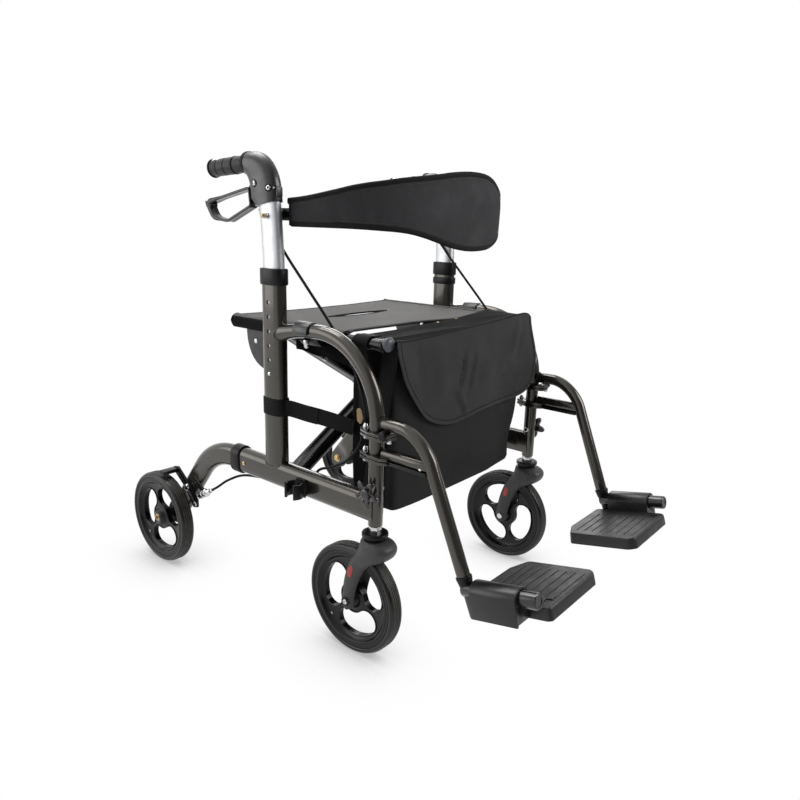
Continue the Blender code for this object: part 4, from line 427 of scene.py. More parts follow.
def skin(rings, loop=False, openRing=False):
    data = bmesh.new()
    surface = data.loops.layers.uv.new("surface")
    rows = [[data.verts.new(point) for point in ring] for ring in rings]
    along, run = [], 0.0
    for i, ring in enumerate(rings):
        if i:
            run += sum((Vector(a) - Vector(b)).length for a, b in zip(ring, rings[i - 1])) / len(ring)
        along.append(run)
    count = len(rings[0])
    longest = max(rings, key=lambda ring: sum((Vector(a) - Vector(b)).length
                                              for a, b in zip(ring, ring[1:])))
    around = [0.0]
    for i in range(count):
        around.append(around[-1] + (Vector(longest[(i + 1) % count]) - Vector(longest[i])).length)
    pairs = [(i, i + 1) for i in range(len(rows) - 1)]
    if loop:
        pairs.append((len(rows) - 1, 0))
    for i, j in pairs:
        ahead = along[j] if j else along[-1] + 0.01
        for k in range(count - 1 if openRing else count):
            m = (k + 1) % count
            face = data.faces.new((rows[i][k], rows[i][m], rows[j][m], rows[j][k]))
            for corner, place in zip(face.loops, ((along[i], around[k]), (along[i], around[k + 1]),
                                                  (ahead, around[k + 1]), (ahead, around[k]))):
                corner[surface].uv = place
    if not loop and not openRing:
        for row in (rows[0], rows[-1]):
            face = data.faces.new(row)
            first = row[0].co
            axis = (row[1].co - first).normalized()
            face.normal_update()
            other = face.normal.cross(axis)
            for corner in face.loops:
                corner[surface].uv = ((corner.vert.co - first).dot(axis),
                                      (corner.vert.co - first).dot(other))
    if not openRing:
        bmesh.ops.recalc_face_normals(data, faces=data.faces)
    return meshed(data)


def ring(centre, aAxis, bAxis, section):
    return [centre + aAxis * a + bAxis * b for a, b in section]


def ringsAlong(path, sections, sideAxis=xAxis):
    if not isinstance(sections[0], list):
        sections = [sections] * len(path)
    rings = []
    for i, point in enumerate(path):
        ahead, behind = path[min(i + 1, len(path) - 1)], path[max(i - 1, 0)]
        forward = (ahead - behind).normalized()
        across = (sideAxis - forward * sideAxis.dot(forward)).normalized()
        rings.append(ring(point, across, forward.cross(across), sections[i]))
    return rings


def sweep(path, sections, sideAxis=xAxis, loop=False):
    return skin(ringsAlong(path, sections, sideAxis), loop=loop)


def pipe(path, outer, inner, sideAxis=xAxis):
    return skin(ringsAlong(path, outer, sideAxis) + ringsAlong(path, inner, sideAxis)[::-1], loop=True)


def axesOf(axis):
    other = zAxis if abs(axis.z) < 0.9 else xAxis
    first = (other - axis * other.dot(axis)).normalized()
    return first, axis.cross(first)


def turned(profile, centre, axis, steps=40, hollow=False):
    first, second = axesOf(axis)
    rings = [ring(centre + axis * along, first, second, circle(radius, steps)) for along, radius in profile]
    return skin(rings, loop=hollow)


def rod(start, end, radius, steps=24):
    axis = end - start
    return turned([(0, radius), (axis.length, radius)], start, axis.normalized(), steps)


def plate(outline, origin, aAxis, bAxis, normal, low, high):
    return skin([ring(origin + normal * level, aAxis, bAxis, outline) for level in (low, high)])


def box(low, high):
    return plate([(low.x, low.y), (high.x, low.y), (high.x, high.y), (low.x, high.y)], Vector(),
                 xAxis, yAxis, zAxis, low.z, high.z)


def applied(shape):
    bpy.context.view_layer.update()
    graph = bpy.context.evaluated_depsgraph_get()
    mesh = bpy.data.meshes.new_from_object(shape.evaluated_get(graph))
    shape.modifiers.clear()
    shape.data = mesh
    return shape


def trimmed(shape, *tools):
    for tool in tools:
        step = shape.modifiers.new("trim", "BOOLEAN")
        step.operation, step.solver, step.object = "DIFFERENCE", "EXACT", tool
        applied(shape)
        bpy.data.objects.remove(tool)
    return shape


def joined(*shapes):
    data = bmesh.new()
    for shape in shapes:
        data.from_mesh(shape.data)
    for shape in shapes:
        bpy.data.objects.remove(shape)
    return meshed(data)


def smoothed(shape, levels):
    step = shape.modifiers.new("smooth", "SUBSURF")
    step.levels = step.render_levels = levels
    return applied(shape)


def easedEdges(shape, width, angle=35):
    step = shape.modifiers.new("edges", "BEVEL")
    step.width, step.segments, step.limit_method, step.angle_limit = width, 2, "ANGLE", radians(angle)
    step.miter_outer = "MITER_ARC"
    return applied(shape)


def settle(shape, name, finish, body, *nodes, edge=0.0, edgeAngle=35, sharp=38, slot=None):
    if edge:
        easedEdges(shape, edge, edgeAngle)
    shape.name = shape.data.name = name
    shape.data.materials.clear()
    shape.data.materials.append(finish.material)
    shape.data.shade_smooth()
    shape.data.set_sharp_from_angle(angle=radians(sharp))
    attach(shape, body)
    if nodes:
        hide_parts(*nodes)
    return shape


# Geometry Nodes trees
class Pattern:
    def __init__(self, name, sizes):
        self.tree = bpy.data.node_groups.new(name, "GeometryNodeTree")
        panel = self.tree.interface
        panel.new_socket("Geometry", in_out="INPUT", socket_type="NodeSocketGeometry")
        panel.new_socket("Geometry", in_out="OUTPUT", socket_type="NodeSocketGeometry")
        self.sockets = {}
        for label, (kind, value) in {**sizes, "Finish": ("Material", None)}.items():
            made = panel.new_socket(label, in_out="INPUT", socket_type="NodeSocket" + kind)
            if value is not None:
                made.default_value = value
            self.sockets[label] = made.identifier
        self.inlet = self.tree.nodes.new("NodeGroupInput")
        self.outlet = self.tree.nodes.new("NodeGroupOutput")

    def size(self, label):
        return self.inlet.outputs[label]

    def node(self, kind, settings=None, inputs=None):
        return addNode(self.tree, kind, settings, inputs).outputs

    def maths(self, operation, first, second):
        return self.node("ShaderNodeMath", {"operation": operation}, {0: first, 1: second})[0]

    def close(self, geometry):
        real = self.node("GeometryNodeRealizeInstances", None, {0: geometry})[0]
        coloured = self.node("GeometryNodeSetMaterial", None,
                             {"Geometry": real, "Material": self.size("Finish")})[0]
        self.tree.links.new(coloured, self.outlet.inputs[0])

    def grow(self, base, finish, **values):
        step = base.modifiers.new("pattern", "NODES")
        step.node_group = self.tree
        step[self.sockets["Finish"]] = finish.material
        for label, value in values.items():
            step[self.sockets[label]] = value
        return applied(base)


def pointCloud(places):
    mesh = bpy.data.meshes.new("places")
    mesh.from_pydata([place for place, _ in places], [], [])
    facing = mesh.attributes.new("facing", "FLOAT_VECTOR", "POINT")
    for item, (_, direction) in zip(facing.data, places):
        item.vector = direction
    return linked("places", mesh)


def wirePath(points, loop=False):
    mesh = bpy.data.meshes.new("path")
    edges = [(i, i + 1) for i in range(len(points) - 1)] + ([(len(points) - 1, 0)] if loop else [])
    mesh.from_pydata([tuple(point) for point in points], edges, [])
    return linked("path", mesh)


def headPattern():
    made = Pattern("fastener heads", {"Head": ("Object", None), "Radius": ("Float", 0.005),
                                      "Height": ("Float", 0.003)})
    head = made.node("GeometryNodeObjectInfo", {"transform_space": "ORIGINAL"},
                     {"Object": made.size("Head")})[-1]
    facing = made.node("GeometryNodeInputNamedAttribute", {"data_type": "FLOAT_VECTOR"},
                       {"Name": "facing"})[0]
    turn = made.node("FunctionNodeAlignRotationToVector", {"axis": "Z"}, {"Vector": facing})[0]
    scale = made.node("ShaderNodeCombineXYZ", None,
                      {0: made.size("Radius"), 1: made.size("Radius"), 2: made.size("Height")})[0]
    placed = made.node("GeometryNodeInstanceOnPoints", None,
                       {"Points": made.inlet.outputs[0], "Instance": head, "Rotation": turn,
                        "Scale": scale})[0]
    made.close(placed)
    return made


def rowPattern():
    made = Pattern("row along a path", {"Pitch": ("Float", 0.004), "Long": ("Float", 0.003),
                                        "Thick": ("Float", 0.0004), "Seed": ("Int", 7),
                                        "Loose": ("Float", 0.0)})
    line = made.node("GeometryNodeMeshToCurve", None, {0: made.inlet.outputs[0]})[0]
    even = made.node("GeometryNodeResampleCurve", {"mode": "LENGTH"},
                     {"Curve": line, "Length": made.size("Pitch")})[0]
    bead = made.node("GeometryNodeMeshIcoSphere", None, {"Radius": 1.0, "Subdivisions": 2})[0]
    tangent = made.node("GeometryNodeInputTangent")[0]
    turn = made.node("FunctionNodeAlignRotationToVector", {"axis": "X"}, {"Vector": tangent})[0]
    low = made.maths("SUBTRACT", 1.0, made.size("Loose"))
    drift = made.node("FunctionNodeRandomValue", {"data_type": "FLOAT"},
                      {2: low, 3: 1.0, "Seed": made.size("Seed")})[1]
    half = made.maths("MULTIPLY", made.maths("MULTIPLY", made.size("Long"), 0.5), drift)
    scale = made.node("ShaderNodeCombineXYZ", None,
                      {0: half, 1: made.size("Thick"), 2: made.size("Thick")})[0]
    placed = made.node("GeometryNodeInstanceOnPoints", None,
                       {"Points": even, "Instance": bead, "Rotation": turn, "Scale": scale})[0]
    made.close(placed)
    return made


def beadRow(line, finish, pitch, long, thick, loop=False, **more):
    return rowPattern().grow(wirePath(line, loop), finish, Pitch=pitch, Long=long, Thick=thick, **more)


def cablePattern():
    made = Pattern("sheath along a path", {"Radius": ("Float", 0.0025), "Sides": ("Int", 20),
                                           "Step": ("Float", 0.004)})
    line = made.node("GeometryNodeMeshToCurve", None, {0: made.inlet.outputs[0]})[0]
    even = made.node("GeometryNodeResampleCurve", {"mode": "LENGTH"},
                     {"Curve": line, "Length": made.size("Step")})[0]
    section = made.node("GeometryNodeCurvePrimitiveCircle", None,
                        {"Resolution": made.size("Sides"), "Radius": made.size("Radius")})[0]
    sheath = made.node("GeometryNodeCurveToMesh", None,
                       {"Curve": even, "Profile Curve": section, "Fill Caps": True})[0]
    made.close(sheath)
    return made


def ribPattern():
    made = Pattern("ribs in a row", {"Count": ("Int", 8), "Pitch": ("Vector", (0, 0.015, 0)),
                                     "Size": ("Vector", (0.1, 0.002, 0.001))})
    bar = made.node("GeometryNodeMeshCube", None, {"Size": made.size("Size")})[0]
    row = made.node("GeometryNodeMeshLine", {"mode": "OFFSET"},
                    {"Count": made.size("Count"), "Offset": made.size("Pitch")})[0]
    placed = made.node("GeometryNodeInstanceOnPoints", None, {"Points": row, "Instance": bar})[0]
    made.close(placed)
    return made


# Side frames
upright = {"back": 0.248, "wide": 0.03, "long": 0.05, "wall": 0.002, "foot": 0.288, "top": 0.64,
           "holes": 6, "firstHole": 0.4695, "pitch": 0.0256, "holeRadius": 0.004}
arch = {"out": 0.25, "radius": 0.132, "top": 0.5566, "fall": 0.015, "tube": 0.0125, "flare": 1.4,
        "foot": 0.25}
lowerTube = {"z": 0.28, "wide": 0.03, "tall": 0.05, "front": -0.004, "rear": 0.35, "wall": 0.002}
rearLeg = {"wide": 0.0254, "tall": 0.0454, "bendBack": 0.38, "bend": 0.135, "axleBack": 0.589, "axleZ": 0.1,
           "footTall": 0.054, "footWide": 0.015, "footShift": 0.006}
brace = {"pivotOut": 0.222, "pivotZ": 0.281, "wide": 0.042, "thick": 0.022, "backs": (0.223, 0.267),
         "railOut": 0.218, "railZ": 0.545, "rail": 0.0105, "railFront": 0.013, "railRear": 0.405}


def midSpot(side, back, z):
    return spot(side, arch["out"], back, z)


def archLine(side):
    run = upright["back"] - upright["long"] / 2 + 0.017 - arch["radius"]
    points = [(arch["radius"] + run * (1 - t), arch["top"] - arch["fall"] * (1 - t) ** 2)
              for t in (0, 0.1, 0.2, 0.32, 0.45, 0.58, 0.72, 0.84, 0.93)]
    points += arc((arch["radius"], arch["top"] - arch["radius"]), arch["radius"], 90, 180, 30)
    points += [(0, z) for z in (0.38, 0.33, arch["foot"])]
    return [midSpot(side, b, z) for b, z in points]


def archSections(path):
    plain = circle(arch["tube"], 36)
    sections = []
    for i in range(len(path)):
        grow = (arch["flare"] - 1) * max(0.0, 1 - i / 3.2)
        sections.append([(a * (1 + 0.1 * grow), b * (1 + grow)) for a, b in plain])
    return sections


def legTurn():
    run = rearLeg["axleBack"] - rearLeg["bendBack"]
    rise = rearLeg["axleZ"] - (lowerTube["z"] - rearLeg["bend"])
    return pi / 2 - (atan2(rise, run) + acos(rearLeg["bend"] / hypot(run, rise)))


def onLeg(up, below=0.0):
    turn = legTurn()
    return (rearLeg["axleBack"] - cos(turn) * up - sin(turn) * below,
            rearLeg["axleZ"] + sin(turn) * up - cos(turn) * below)


def tubeOval(tube, grow=0.0):
    return superellipse(tube["wide"] / 2 + grow, tube["long"] / 2 + grow, 2.6, 72)


def makeUpright(side, name):
    path = [midSpot(side, upright["back"], upright["foot"] + (upright["top"] - upright["foot"]) * i / 24)
            for i in range(25)]
    wall = upright["wall"]
    shape = pipe(path, tubeOval(upright), tubeOval(upright, -wall))
    flank = arch["out"] + upright["wide"] / 2
    cutters = []
    for number in range(upright["holes"]):
        z = upright["firstHole"] + number * upright["pitch"]
        cutters.append(rod(spot(side, flank - 0.006, upright["back"], z),
                           spot(side, flank + 0.004, upright["back"], z), upright["holeRadius"], 20))
    trimmed(shape, joined(*cutters))
    settle(shape, f"{name}Upright", bronzePaint, f"{name}_side", f"{name}_upright")


def makeLowerTube(side, name, braceBack):
    wall = lowerTube["wall"]
    path = [midSpot(side, lowerTube["front"] + (lowerTube["rear"] - lowerTube["front"]) * i / 16,
                    lowerTube["z"]) for i in range(17)]
    shape = pipe(path, stadium(lowerTube["wide"], lowerTube["tall"]),
                 stadium(lowerTube["wide"] - 2 * wall, lowerTube["tall"] - 2 * wall))
    trimmed(shape, rod(midSpot(side, 0, 0.24), midSpot(side, 0, 0.32), arch["tube"] + 0.0003, 48))
    root = arch["out"] - lowerTube["wide"] / 2 + 0.001
    lug = [(root, 0.268), (root, 0.287)] + arc((brace["pivotOut"], brace["pivotZ"]), 0.011, 72, 270, 18)
    lugs = []
    for low in (braceBack - 0.0263, braceBack + 0.0213):
        made = plate(lug, Vector((0, postY, 0)), xAxis * side, zAxis, yAxis, low, low + 0.005)
        lugs.append(easedEdges(made, 0.0006))
    settle(joined(shape, *lugs), f"{name}LowerTube", bronzePaint, f"{name}_side", f"{name}_lower_tube")


def makeArchPost(side, name):
    path = archLine(side)
    shape = sweep(path, archSections(path))
    settle(shape, f"{name}ArchPost", bronzePaint, f"{name}_side", f"{name}_arch_post", edge=0.0012)


def makeRearLeg(side, name):
    turn = legTurn()
    stations = [(0.322, lowerTube["z"], 0.0, rearLeg["wide"], rearLeg["tall"]),
                (0.352, lowerTube["z"], 0.0, rearLeg["wide"], rearLeg["tall"])]
    for step in range(25):
        t = turn * step / 24
        stations.append((rearLeg["bendBack"] + rearLeg["bend"] * sin(t),
                         lowerTube["z"] - rearLeg["bend"] * (1 - cos(t)), 0.0, rearLeg["wide"],
                         rearLeg["tall"]))
    for up in (0.075, 0.066, 0.058, 0.05, 0.042, 0.034, 0.026, 0.018, 0.01, 0.0):
        share = eased((0.066 - up) / 0.046)
        stations.append((*onLeg(up), rearLeg["footShift"] * share,
                         rearLeg["wide"] + (rearLeg["footWide"] - rearLeg["wide"]) * share,
                         rearLeg["tall"] + (rearLeg["footTall"] - rearLeg["tall"]) * share))
    for angle in (14, 28, 42, 54, 64, 73, 80):
        tall = max(rearLeg["footTall"] * cos(radians(angle)), rearLeg["footWide"] * 1.02)
        stations.append((*onLeg(-rearLeg["footTall"] / 2 * sin(radians(angle))), rearLeg["footShift"],
                         rearLeg["footWide"], tall))
    path = [spot(side, arch["out"] + shift, b, z) for b, z, shift, _, _ in stations]
    shape = sweep(path, [stadium(wide, tall, 12) for _, _, _, wide, tall in stations])
    settle(shape, f"{name}RearLeg", bronzePaint, f"{name}_side", f"{name}_rear_leg", edge=0.001)


def bandStations(side, profile):
    return [(midSpot(side, upright["back"], z), tubeOval(upright, grow)) for z, grow in profile]


def makeCollar(name, label, axis, stations, *nodes):
    shape = skin([ring(centre, xAxis, axis, section) for centre, section in stations], loop=True)
    settle(shape, f"{name}{label}", blackPlastic, f"{name}_side", *nodes, edge=0.0004)


def makeCollars(side, name):
    wall, lip = 0.0035, 0.0016
    wide, tall = lowerTube["wide"], lowerTube["tall"]
    sleeve = [(0.344, wall - lip), (0.3452, wall - 0.0004), (0.3465, wall), (0.3675, wall),
              (0.3688, wall - 0.0004), (0.37, wall - lip), (0.37, -0.0018), (0.3503, -0.0018),
              (0.3503, 0.0003), (0.344, 0.0003)]
    stations = [(midSpot(side, back, lowerTube["z"]), stadium(wide + 2 * grow, tall + 2 * grow))
                for back, grow in sleeve]
    makeCollar(name, "LegCollar", zAxis, stations, f"{name}_leg_collar")
    upper = [(0.6272, 0.0015), (0.628, 0.0026), (0.6294, 0.003), (0.653, 0.003), (0.6548, 0.0026),
             (0.656, 0.0015), (0.656, -0.0022), (0.6403, -0.0022), (0.6403, 0.0003), (0.6272, 0.0003)]
    makeCollar(name, "HeightCollar", yAxis, bandStations(side, upper), f"{name}_height_collar")
    if side > 0:  # a second band below the collar, on the left side only
        second = [(0.607, 0.001), (0.608, 0.0024), (0.621, 0.0024), (0.622, 0.001), (0.622, 0.0003),
                  (0.607, 0.0003)]
        makeCollar(name, "SecondBand", yAxis, bandStations(side, second))


def makeSeatRest(side, name):
    archZ, rest = arch["top"], 0.003
    rail, bore = brace["rail"] + 0.0006, arch["tube"] + 0.0003
    outer = bore + rest
    floor = brace["railZ"] - rail - rest
    inboard, outboard = brace["railOut"] - rail - rest - 0.001, brace["railOut"] + rail + 0.002
    origin, across = spot(side, 0, 0, 0), xAxis * side
    path = archLine(side)[:24]
    pivot = (arch["out"], archZ - 0.002)
    saddle = arc(pivot, outer + 0.0008, 165, -14, 30) + arc(pivot, bore - 0.004, -14, 165, 10)
    saddle = trimmed(plate(saddle, origin, across, zAxis, yAxis, 0.149, 0.184), sweep(path, circle(bore)))
    settle(saddle, f"{name}RestSaddle", elbowPlastic, f"{name}_side", edge=0.0009, edgeAngle=50,
           slot="black_plastic")
    outline = [(arch["out"] - 0.004, archZ - outer - 0.001), (arch["out"] - 0.014, floor - 0.002),
               (inboard + 0.006, floor), (inboard + 0.0015, floor + 0.002), (inboard, floor + 0.006),
               (inboard, brace["railZ"] - 0.001), (arch["out"] - outer, brace["railZ"] + 0.006),
               (arch["out"] - 0.008, archZ - 0.006)]
    shape = plate(outline, origin, across, zAxis, yAxis, 0.144, 0.192)
    channel = arc((brace["railOut"], brace["railZ"]), rail, 180, 360, 24)
    channel[-1] = (outboard, brace["railZ"])
    channel += [(outboard, brace["railZ"] + 0.03), (brace["railOut"] - rail, brace["railZ"] + 0.03)]
    trimmed(shape, sweep(path, circle(bore)), plate(channel, origin, across, zAxis, yAxis, 0.13, 0.21))
    settle(shape, f"{name}SeatRest", blackPlastic, f"{name}_side", f"{name}_seat_rest", edge=0.0009,
           edgeAngle=50)


for name, side in sides.items():
    makeUpright(side, name)
    makeLowerTube(side, name, brace["backs"][side > 0])
    makeArchPost(side, name)
    makeRearLeg(side, name)
    makeCollars(side, name)
    makeSeatRest(side, name)
print("side frames made")


# Cross braces with the seat rails
def doubleBarrel(radius=0.011, valley=62, steps=22):
    shift = brace["wide"] / 2 - radius
    return (arc((shift, 0), radius, -180 + valley, 180 - valley, steps)
            + arc((-shift, 0), radius, valley, 360 - valley, steps))


def makeBrace(lean, letter, body, back):
    low = spot(-lean, brace["pivotOut"], back, brace["pivotZ"])
    high = spot(lean, brace["railOut"], back, brace["railZ"])
    path = [low.lerp(high, i / 20) for i in range(21)]
    bar = sweep(path, doubleBarrel(), yAxis)
    half = yAxis * (brace["wide"] / 2)
    sleeve = easedEdges(rod(low - half, low + half, 0.01, 32), 0.0008)
    stud = half + yAxis * 0.007
    pin = easedEdges(rod(low - stud, low + stud, 0.004, 20), 0.0006)
    corner = (0.2885, brace["railZ"] - 0.0063)
    long, angles = 0.08, [pi / 2 * i / 36 for i in range(37)]
    outline = [corner] + [(corner[0] + long * cos(t) ** 0.78, corner[1] - long * sin(t) ** 0.86)
                          for t in angles]
    gusset = easedEdges(plate(outline, spot(lean, brace["railOut"], 0, 0), yAxis, zAxis, xAxis, -0.0015,
                              0.0015), 0.0007)
    front, rear = brace["railFront"], brace["railRear"]
    place = spot(lean, brace["railOut"], 0, brace["railZ"])
    profile = [(front, brace["rail"] - 0.001), (front + 0.001, brace["rail"])]
    profile += [(front + (rear - front) * i / 12, brace["rail"]) for i in range(1, 12)]
    profile.append((rear - 0.0015, brace["rail"]))
    rail = turned(profile, place, yAxis, 36)
    settle(gusset, f"gussetPlate{letter}", forkPlastic, body, slot="black_paint")
    settle(joined(bar, sleeve, rail), f"crossBrace{letter}", blackPaint, body,
           f"cross_brace_{letter.lower()}")
    settle(pin, f"bracePin{letter}", chromed, body)
    dome = turned([(0.0004, 0.003), (0.0008, 0.006), (0.0018, 0.0088), (0.0036, 0.0111), (0.0056, 0.0122),
                   (0.0072, 0.0123), (0.0082, 0.0116), (0.0084, 0.0094), (0.015, 0.0092), (0.015, 0.0085)],
                  place + zAxis * 0.0034, yAxis, 40)
    settle(dome, f"railCap{letter}", greyPlastic, body)
    band = turned([(0.0138, 0.0088), (0.014, 0.0112), (0.0148, 0.0116), (0.0196, 0.0116), (0.0206, 0.0112),
                   (0.0208, 0.01)], place, yAxis, 40)
    settle(band, f"railRing{letter}", rimGloss, body, slot="black_plastic")
    plug = turned([(rear - 0.0018, 0.0098), (rear - 0.0016, 0.0108), (rear - 0.0006, 0.0108), (rear, 0.01),
                   (rear + 0.0003, 0.007), (rear + 0.0004, 0.002)], place, yAxis, 36)
    settle(plug, f"railPlug{letter}", blackPlastic, body)


makeBrace(1, "A", "brace_a", brace["backs"][0])
makeBrace(-1, "B", "brace_b", brace["backs"][1])
reach = brace["pivotOut"] + brace["railOut"]
crossZ = brace["pivotZ"] + (brace["railZ"] - brace["pivotZ"]) * brace["pivotOut"] / reach
front, rear = brace["backs"][0] - brace["wide"] / 2, brace["backs"][1] + brace["wide"] / 2
crossBolt = turned([(front - 0.0042, 0.004), (front - 0.0038, 0.0068), (front - 0.001, 0.008),
                    (front - 0.001, 0.0098), (front, 0.0098), (front, 0.004), (rear + 0.0003, 0.004),
                    (rear + 0.0003, 0.0098), (rear + 0.0013, 0.0098), (rear + 0.0013, 0.0078),
                    (rear + 0.005, 0.0078), (rear + 0.0062, 0.005)], Vector((0, postY, crossZ)), yAxis, 24)
settle(crossBolt, "crossBolt", chromed, "brace_a", edge=0.0003)
print("cross braces made")

# Handles: sliding tube, elbow, grip and brake lever
handle = {"foot": 0.43, "top": 0.788, "lean": 0.009, "wide": 0.025, "long": 0.045, "bend": 0.658,
          "gripZ": 0.831, "elbowFoot": 0.76, "rimBack": 0.3085, "rim": 0.0188, "half": 0.0172}
lever = {"back": 0.2905, "z": 0.7985, "eye": 0.0065, "wide": 0.018, "thick": 0.005}
grip = {"start": 0.0057, "long": 0.111, "radius": 0.0145, "droop": 3.2}


def handleBack(z):
    share = max(0.0, (z - handle["bend"]) / (handle["top"] - handle["bend"]))
    return upright["back"] + handle["lean"] * share ** 1.4


def makeHandleTube(side, name):
    heights = [handle["foot"], 0.5, 0.58] + [0.655 + (handle["top"] - 0.655) * i / 18 for i in range(19)]
    path = [midSpot(side, handleBack(z), z) for z in heights]
    shape = sweep(path, tubeOval(handle))
    settle(shape, f"{name}HandleTube", silverTube, f"{name}_handle", f"{name}_handle_tube", edge=0.0008)


def elbowRings(side, steps=34):
    foot, rimBack = handle["elbowFoot"], handle["rimBack"]
    heel = handleBack(foot) - handle["long"] / 2 - 0.0008
    toe = lever["back"] + lever["eye"] - 0.0025
    top, under = handle["gripZ"] + handle["rim"], handle["gripZ"] - handle["rim"]
    outerCentre, innerCentre = (rimBack - 0.017, foot + 0.02), (rimBack + 0.006, foot + 0.015)
    pairs = []
    for i in range(8):
        t = i / 8
        pairs.append(((heel, foot + 0.0075 + (outerCentre[1] - foot - 0.0075) * t),
                      (toe - 0.01 * (1 - eased(t)) + 0.002 * t, foot - 0.001 + 0.016 * t)))
    for i in range(steps - 8):
        high = 90 * i / (steps - 9)
        low = high * (0.82 + 0.07 * i / (steps - 9))
        pairs.append(((outerCentre[0] - (outerCentre[0] - heel) * cos(radians(high)),
                       outerCentre[1] + (top - outerCentre[1]) * sin(radians(high))),
                      (innerCentre[0] - (innerCentre[0] - toe - 0.002) * cos(radians(low)),
                       innerCentre[1] + (under - innerCentre[1]) * sin(radians(low)))))
    for i in range(1, 6):
        pairs.append(((outerCentre[0] + 0.017 * i / 5, top),
                      (rimBack - 0.005 + 0.001 * i, between([(0, pairs[-1][1][1]), (5, under)], i))))
    rings = []
    for i, (a, b) in enumerate(pairs):
        share = i / (len(pairs) - 1)
        upper, lower = midSpot(side, *a), midSpot(side, *b)
        span = upper - lower
        width = handle["half"] + (handle["rim"] - handle["half"]) * share
        rings.append(ring((upper + lower) / 2, xAxis, span.normalized(),
                          superellipse(width, span.length / 2, 2.7 - 0.7 * share, 56)))
    return rings


def makeElbow(side, name):
    shape = skin(elbowRings(side))
    socket = sweep([midSpot(side, handleBack(z), z) for z in (0.75, 0.765, handle["top"])],
                   tubeOval(handle, 0.0003))
    rim = midSpot(side, handle["rimBack"], handle["gripZ"])
    bore = rod(rim - yAxis * 0.0057, rim + yAxis * 0.01, grip["radius"] + 0.001, 56)
    half = 0.0055
    slotLow = midSpot(side, lever["back"] - lever["eye"] - 0.0015, handle["elbowFoot"] + 0.018)
    slotHigh = midSpot(side, handle["rimBack"] + 0.004, lever["z"] + lever["eye"] + 0.001)
    trimmed(shape, socket, bore, box(slotLow - xAxis * half, slotHigh + xAxis * half))
    core = rod(rim - yAxis * 0.011, rim + yAxis * 0.098, 0.011, 24)
    settle(core, f"{name}GripCore", silverTube, f"{name}_handle")
    corners = [(0.2288, 0.775, 0.001), (0.2335, 0.775, 0.0005), (0.235, 0.7945, 0.0005),
               (0.2292, 0.79, 0.001)]
    # a small tab on the front face
    tab = plate(rounded(corners, 3), midSpot(side, 0, 0), yAxis, zAxis, xAxis, -0.006, 0.006)
    easedEdges(tab, 0.0006)
    settle(joined(shape, tab), f"{name}Elbow", elbowPlastic, f"{name}_handle", f"{name}_elbow", edge=0.0005,
           edgeAngle=45)
    lip = handle["rim"]
    rimRing = turned([(-0.0045, grip["radius"] + 0.0008), (-0.0045, lip - 0.0002), (-0.0036, lip + 0.0008),
                      (0.002, lip + 0.001), (0.0034, lip), (0.0036, grip["radius"] + 0.0006)], rim, yAxis,
                     56, hollow=True)
    settle(rimRing, f"{name}ElbowRim", cableSheath, f"{name}_handle")


def makeGrip(side, name):
    radius, long = grip["radius"], grip["long"]
    droop = radians(grip["droop"])
    axis = Vector((0, cos(droop), -sin(droop)))
    start = midSpot(side, handle["rimBack"], handle["gripZ"]) - axis * grip["start"]
    profile = [(0.0006, 0.0125), (0.0, 0.0135), (0.0, radius - 0.0016), (0.001, radius - 0.0006),
               (0.006, radius - 0.0004)]
    profile += [(0.025, radius - 0.0002), (0.034, radius + 0.0004), (0.0372, radius + 0.0005),
                (0.0378, radius * 0.86), (0.0402, radius * 0.86), (0.0408, radius + 0.0009),
                (0.042, radius + 0.0012), (0.05, radius + 0.0006)]
    for groove in (0.0645, 0.0865):
        profile += [(groove - 0.006, radius + 0.0006), (groove - 0.0014, radius + 0.0004),
                    (groove - 0.0007, radius * 0.955), (groove + 0.0007, radius * 0.955),
                    (groove + 0.0014, radius + 0.0004), (groove + 0.006, radius + 0.0006)]
    profile += [(long - 0.01, radius + 0.0004), (long - 0.006, radius + 0.0004),
                (long - 0.0058, radius * 0.6), (long - 0.0058, radius * 0.12)]
    settle(turned(profile, start, axis, 56), f"{name}Grip", gripRubber, f"{name}_handle", f"{name}_grip")
    flange = turned([(long - 0.0062, radius * 0.5), (long - 0.0062, radius + 0.0012),
                     (long - 0.0054, radius + 0.0022), (long - 0.0036, radius + 0.0023),
                     (long - 0.0026, radius + 0.0012), (long - 0.0022, radius - 0.001),
                     (long - 0.0006, radius - 0.0026), (long, radius * 0.6), (long, radius * 0.12)], start,
                    axis, 56)
    notch = start + axis * long + Vector((-side * 0.0165, 0, 0.0035))
    trimmed(flange, rod(notch - axis * 0.007, notch + axis * 0.004, 0.0042, 20))
    settle(flange, f"{name}GripFlange", blackPlastic, f"{name}_handle", edge=0.0003)


